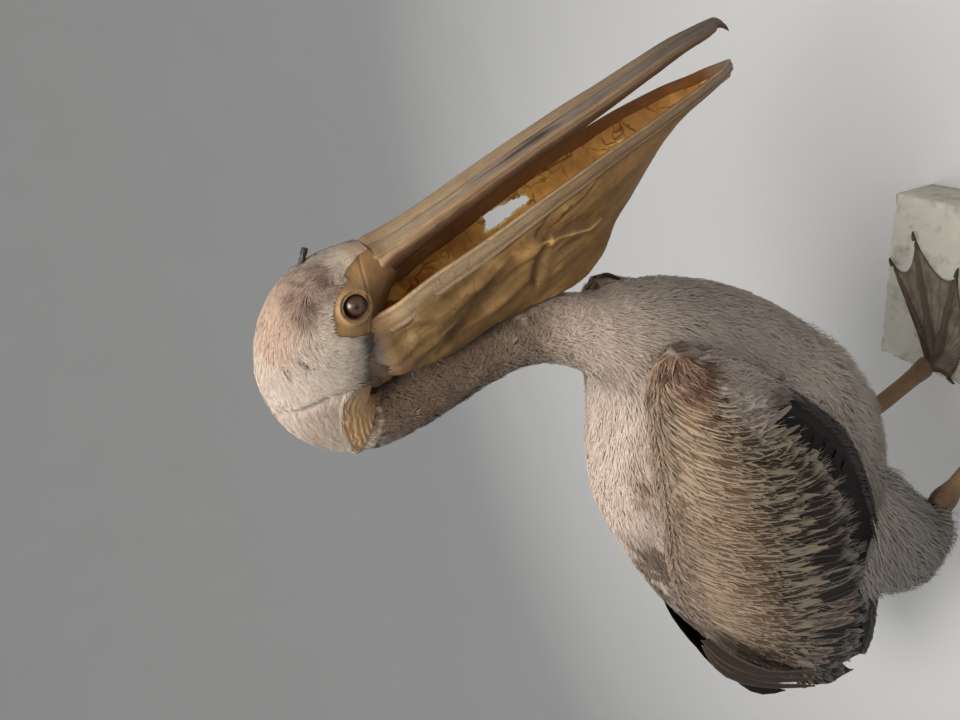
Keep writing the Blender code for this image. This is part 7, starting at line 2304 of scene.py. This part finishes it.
def foot_piece(side):
    ankle, heel, middle, outer, inner, hind = LEGS[side]
    toes = (outer, middle, inner, hind)
    polar = lambda p: (math.atan2(p[1] - heel[1], p[0] - heel[0]), math.hypot(p[0] - heel[0], p[1] - heel[1]))
    turn = 1 if side == "left" else -1
    stops = [polar(p) for p in toes]
    base = stops[0][0]
    marks_ = []
    for a, r in stops:
        x = (a - base) * -turn
        while x < -1e-6:
            x += 2 * math.pi
        marks_.append((x, r))
    span = marks_[-1][0]
    n_a, n_r = 250, 64
    x = np.linspace(0, span, n_a)
    xs = np.array([a for a, _ in marks_])
    rs = np.array([r for _, r in marks_])
    # denser rays towards each toe
    x = np.sort(np.concatenate([x, *(np.clip(a + np.linspace(-0.05, 0.05, 13), 0, span) for a in xs)]))
    i = np.clip(np.searchsorted(xs, x, "right") - 1, 0, 2)
    u = (x - xs[i]) / (xs[i + 1] - xs[i])
    chord = 1 / ((1 - u) / rs[i] + u / rs[i + 1])
    rag = 0.012 * (fbm(np.stack([x * 9, 0 * x, 0 * x], -1), 1.0, 161 + turn) - 0.5)
    reach = chord * (1 - 0.17 * np.sin(np.pi * u) ** 0.62 + rag * np.sin(np.pi * u))
    gap = 2 * math.pi - span
    back = np.linspace(0, 1, 60)[1:-1]
    ang = np.concatenate([base - turn * x, base - turn * (span + gap * back)])
    rim = np.concatenate([reach, 0.0105 + 0.001 * np.sin(np.pi * back)])
    blend_ends = np.minimum(np.minimum(back, 1 - back) / 0.16, 1)
    rim[len(x):] = rim[len(x):] + (np.where(back < 0.5, rs[-1], rs[0]) * 0.0 + 0.006) * (1 - blend_ends) ** 2
    f = np.linspace(0, 1, n_r + 1)[1:] ** 1.10
    px = heel[0] + np.cos(ang)[None] * rim[None] * f[:, None]
    py = heel[1] + np.sin(ang)[None] * rim[None] * f[:, None]
    h, toe, seg = foot_top(px, py, toes, heel)
    pts = np.stack([px, py, 0 * px], -1)
    web = 1 - toe
    # folds of the web run out between the toes
    fan = np.sin(ang[None] * 46 + 5 * (fbm(pts, 60, 165) - 0.5)) * smooth(0.15, 0.5, f)[:, None]
    curl = 0.0024 * smooth(0.86, 1.0, f)[:, None] * (fbm(np.stack([ang * 5, 0 * ang, 0 * ang], -1), 1.0, 167)[None]) * web
    h = h + web * (0.00035 * fan + 0.0010 * (fbm(pts, 130, 163) - 0.35)) + toe * 0.0004 * (fbm(pts, 300, 169) - 0.5) + curl
    end = smooth(0.955, 1.0, f)[:, None]
    h = np.maximum(h * (1 - end) + np.minimum(h, 0.0011 + curl) * end, 0.0009)
    low = np.maximum(0, np.minimum(curl * 0.9, h - 0.0008)) * smooth(0.8, 1.0, f)[:, None]
    m = len(ang)
    top = np.stack([px, py, FLOOR + h], -1)
    sole = np.stack([px, py, FLOOR + low], -1)
    centre = np.array([[heel[0], heel[1], FLOOR + 0.0212], [heel[0], heel[1], FLOOR]])
    verts = np.concatenate([top.reshape(-1, 3), sole.reshape(-1, 3), centre])
    k = n_r * m
    q1 = grid_faces(n_r, m, True)
    q2 = q1[:, ::-1] + k
    j = np.arange(m)
    j2 = (j + 1) % m
    edge = np.stack([(n_r - 1) * m + j, (n_r - 1) * m + j2, k + (n_r - 1) * m + j2, k + (n_r - 1) * m + j], -1)[:, ::-1]
    t1 = np.stack([np.full(m, 2 * k), j, j2], -1)[:, ::-1]
    t2 = np.stack([np.full(m, 2 * k + 1), k + j2, k + j], -1)[:, ::-1]
    me = mesh_of("foot_skin_" + side, verts, np.concatenate([q1, q2, edge]), np.concatenate([t1, t2]))
    if volume_sign(me) < 0:
        me = mesh_of("foot_skin_" + side, verts, np.concatenate([q1, q2, edge])[:, ::-1], np.concatenate([t1, t2])[:, ::-1])
    col = lerp(srgb(104, 90, 76), srgb(134, 118, 100), fbm(pts, 40, 171)[..., None])
    col = lerp(col, srgb(92, 76, 62), toe[..., None] * 0.75)
    joint = np.exp(-(((np.mod(seg, 1.0) - 0.5) / 0.14) ** 2)) * toe
    col = lerp(col, srgb(58, 46, 38), joint[..., None] * 0.45)
    col = lerp(col, srgb(152, 138, 122), (smooth(0.40, 0.65, fbm(pts, 70, 173)) * web)[..., None] * 0.55)
    col = lerp(col, srgb(64, 52, 44), (web * smooth(0.62, 0.9, fan * 0.5 + 0.5))[..., None] * 0.35)
    col = lerp(col, srgb(70, 56, 44), smooth(0.93, 1.0, f)[:, None, None] * 0.5 + 0 * col[..., :1])
    col = col.reshape(-1, 3)
    paint(me, np.clip(np.concatenate([col, col * 0.7, col[:1], col[:1]]), 0, 1))
    note(me, "veins", np.concatenate([toe.ravel() * 0.8 + 0.2, toe.ravel(), [1, 1]]))
    piece("foot_skin_" + side, me, FOOTSKIN, ("foot_" + side,))
    for number, tip in enumerate(toes):
        a = math.atan2(tip[1] - heel[1], tip[0] - heel[0])
        d = np.array([math.cos(a), math.sin(a), 0])
        cross_ = np.array([-d[1], d[0], 0])
        start = np.array([tip[0], tip[1], FLOOR + 0.0030]) - d * 0.0018
        s = np.linspace(0, 1, 26)
        spin = np.arange(28) * 2 * np.pi / 28
        mid = start + d * ((CLAW_L + 0.0018) * np.sin(s * 1.45) / math.sin(1.45))[:, None] + np.array([0, 0, 1.0]) * (0.0012 * np.sin(s * np.pi * 0.7) - 0.0026 * s**2)[:, None]
        r = 0.00262 * (1 - s) ** 0.62 + 0.00022
        g = mid[:, None] + cross_ * (r[:, None] * np.cos(spin) * 0.86)[..., None] + np.array([0, 0, 1.0]) * (r[:, None] * np.sin(spin) * (1 + 0.15 * (np.sin(spin) > 0)))[..., None]
        g[..., 2] = np.maximum(g[..., 2], FLOOR + 0.00015)
        c = lerp(srgb(66, 54, 44), srgb(40, 32, 28), s[:, None, None]) * (0.8 + 0.4 * fbm(g, 700, 175)[..., None])
        nm = ("outer", "middle", "inner", "hind")[number]
        rings_piece(f"nail_{side}_{nm}", g, c, CLAWHORN, (f"claw_{side}_{nm}",))


for side in ("left", "right"):
    leg_piece(side)
    foot_piece(side)


# ---------------------------------------------------------------- the block
def block_piece():
    half = np.array([BLOCK_W, BLOCK_L, BLOCK_H]) / 2

    def ticks(h, count):
        r = 0.0040
        e = np.array([0, 0.0007, 0.0016, 0.0028, r])
        return np.concatenate([-h + e, np.linspace(-h + r, h - r, count)[1:-1], h - e[::-1]])

    X, Y, Z = (ticks(h, c) for h, c in zip(half, (92, 78, 26)))
    nx, ny, nz = len(X), len(Y), len(Z)
    quads = []

    def code(i, j, k):
        return (i * ny + j) * nz + k

    def face(a, b, f, flip):
        A, B = np.meshgrid(np.arange(a - 1), np.arange(b - 1), indexing="ij")
        q = np.stack([f(A, B), f(A + 1, B), f(A + 1, B + 1), f(A, B + 1)], -1).reshape(-1, 4)
        quads.append(q[:, ::-1] if flip else q)

    face(nx, ny, lambda i, j: code(i, j, nz - 1), False)
    face(nx, ny, lambda i, j: code(i, j, 0), True)
    face(nx, nz, lambda i, k: code(i, 0, k), False)
    face(nx, nz, lambda i, k: code(i, ny - 1, k), True)
    face(ny, nz, lambda j, k: code(0, j, k), True)
    face(ny, nz, lambda j, k: code(nx - 1, j, k), False)
    q = np.concatenate(quads)
    used, inv = np.unique(q, return_inverse=True)
    q = inv.reshape(q.shape)
    i, rest = used // (ny * nz), used % (ny * nz)
    p = np.stack([X[i], Y[rest // nz], Z[rest % nz]], -1)
    r = 0.0040
    inner = np.clip(p, -half + r, half - r)
    d = p - inner
    ln = np.linalg.norm(d, axis=1, keepdims=True)
    cheb = np.abs(d).max(1, keepdims=True)
    n = d / np.maximum(ln, 1e-9)
    p = inner + n * np.minimum(cheb, r)
    gap_to_edge = np.sort(half - np.abs(p), axis=1)
    edge = gap_to_edge[:, 1]  # small near an edge of the block
    chips = smooth(0.60, 0.70, fbm(p, 55, 181)) * np.exp(-edge / 0.0045) * 0.0042 + 0.0016 * smooth(0.5, 0.7, fbm(p, 150, 183)) * np.exp(-edge / 0.0030)
    dents = 0.0005 * fbm(p, 40, 185) + 0.0014 * smooth(0.73, 0.80, fbm(p, 95, 187))
    top_mid = (p[:, 2] > half[2] - 0.001) & (edge > 0.012)
    p = p - n * (chips + np.where(top_mid, 0.0003 * fbm(p, 60, 189), dents))[:, None]
    p[:, 2] += half[2]
    p[:, 2] = np.clip(p[:, 2], 0, BLOCK_H)
    me = mesh_of("plaster_block", p, q)
    if volume_sign(me) < 0:
        me = mesh_of("plaster_block", p, q[:, ::-1])
    n1, n2, n3 = fbm(p, 14, 191)[:, None], fbm(p, 70, 193)[:, None], fbm(p, 240, 195)[:, None]
    c = lerp(srgb(198, 194, 180), srgb(216, 211, 196), n1)
    c = lerp(c, srgb(150, 144, 130), smooth(0.52, 0.72, n2) * 0.45)
    c = lerp(c, srgb(118, 110, 98), smooth(0.66, 0.78, n3 * 0.6 + n2 * 0.4) * 0.6)
    c = lerp(c, srgb(142, 128, 108), smooth(0.016, 0.0, p[:, 2:3]) * 0.5)
    c = lerp(c, srgb(232, 229, 218), np.clip(chips[:, None] / 0.0025, 0, 1) * 0.6)
    c = lerp(c, srgb(126, 118, 104), (np.exp(-edge[:, None] / 0.0022) * smooth(0.45, 0.6, n2)) * 0.55)
    paint(me, np.clip(c, 0, 1))
    note(me, "veins", np.zeros(len(p)))
    piece("plaster_block", me, PLASTER, ("base_block",))


block_piece()


# ---------------------------------------------------------------- floor, light and camera
def stage_floor():
    # a seamless bowl: flat under the bird and far past it, then rising into a wall
    r = np.concatenate([np.linspace(0.02, 3.4, 40), 3.4 + 1.6 * np.sin(np.linspace(0, np.pi / 2, 24)[1:]), np.full(6, 5.0)])
    z = np.concatenate([np.zeros(40), 1.6 - 1.6 * np.cos(np.linspace(0, np.pi / 2, 24)[1:]), np.linspace(1.6, 4.6, 7)[1:]])
    a = np.arange(96) * 2 * np.pi / 96
    g = np.stack(np.broadcast_arrays(r[:, None] * np.cos(a), r[:, None] * np.sin(a), z[:, None]), -1)
    k = np.arange(96)
    centre = np.stack([np.full(96, g[..., 0].size), k, (k + 1) % 96], -1)
    me = mesh_of("floor", np.concatenate([g.reshape(-1, 3), [[0, 0, 0]]]), grid_faces(len(r), 96, True)[:, ::-1], centre)
    ob = bpy.data.objects.new("floor", me)
    scene.collection.objects.link(ob)
    mat, tree, p = new_material("floor")
    c = blend(tree, "MIX", noise_of(tree, 2.5, 3.0), (0.74, 0.735, 0.72), (0.79, 0.785, 0.77))
    tree.links.new(c, p.inputs["Base Color"])
    p.inputs["Roughness"].default_value = 0.85
    me.materials.append(mat)


stage_floor()


def lamp(name, at, to, size, power, colour):
    data = bpy.data.lights.new(name, "AREA")
    data.shape, data.size, data.energy, data.color = "DISK", size, power, colour
    ob = bpy.data.objects.new(name, data)
    scene.collection.objects.link(ob)
    ob.location = at
    ob.rotation_euler = (Vector(to) - Vector(at)).to_track_quat("-Z", "Y").to_euler()


lamp("key", (-0.55, -0.38, 2.0), (0, 0.02, 0.62), 0.9, 23, (1.0, 0.975, 0.93))
lamp("fill", (-2.4, -0.6, 1.4), (0, 0, 0.5), 1.6, 5.5, (0.98, 0.98, 1.0))
lamp("back", (1.4, 0.8, 2.4), (0, 0, 0.5), 1.4, 12, (1.0, 0.985, 0.96))
world = bpy.data.worlds.new("studio")
scene.world = world
world.use_nodes = True
world.node_tree.nodes["Background"].inputs["Color"].default_value = (0.93, 0.95, 1.0, 1)
world.node_tree.nodes["Background"].inputs["Strength"].default_value = 0.36

PITCH, ROLL, TURN = math.radians(16), math.radians(16), math.radians(26)
level = Vector((math.cos(TURN), math.sin(TURN), 0))
right = Vector((math.sin(TURN), -math.cos(TURN), 0))
ahead = level * math.cos(PITCH) - Vector((0, 0, math.sin(PITCH)))
up = level * math.sin(PITCH) + Vector((0, 0, math.cos(PITCH)))
across = right * math.cos(ROLL) - up * math.sin(ROLL)
above = right * math.sin(ROLL) + up * math.cos(ROLL)
camera = bpy.data.objects.new("camera", bpy.data.cameras.new("camera"))
scene.collection.objects.link(camera)
camera.data.lens, camera.data.sensor_width = 28.5, 36
camera.data.clip_start = 0.01
camera.matrix_world = Matrix.Translation((-0.629, -0.427, 0.935)) @ Matrix(((-above.x, across.x, -ahead.x), (-above.y, across.y, -ahead.y), (-above.z, across.z, -ahead.z))).to_4x4()
scene.camera = camera
scene.view_settings.view_transform = "Standard"
scene.view_settings.exposure = 0.0
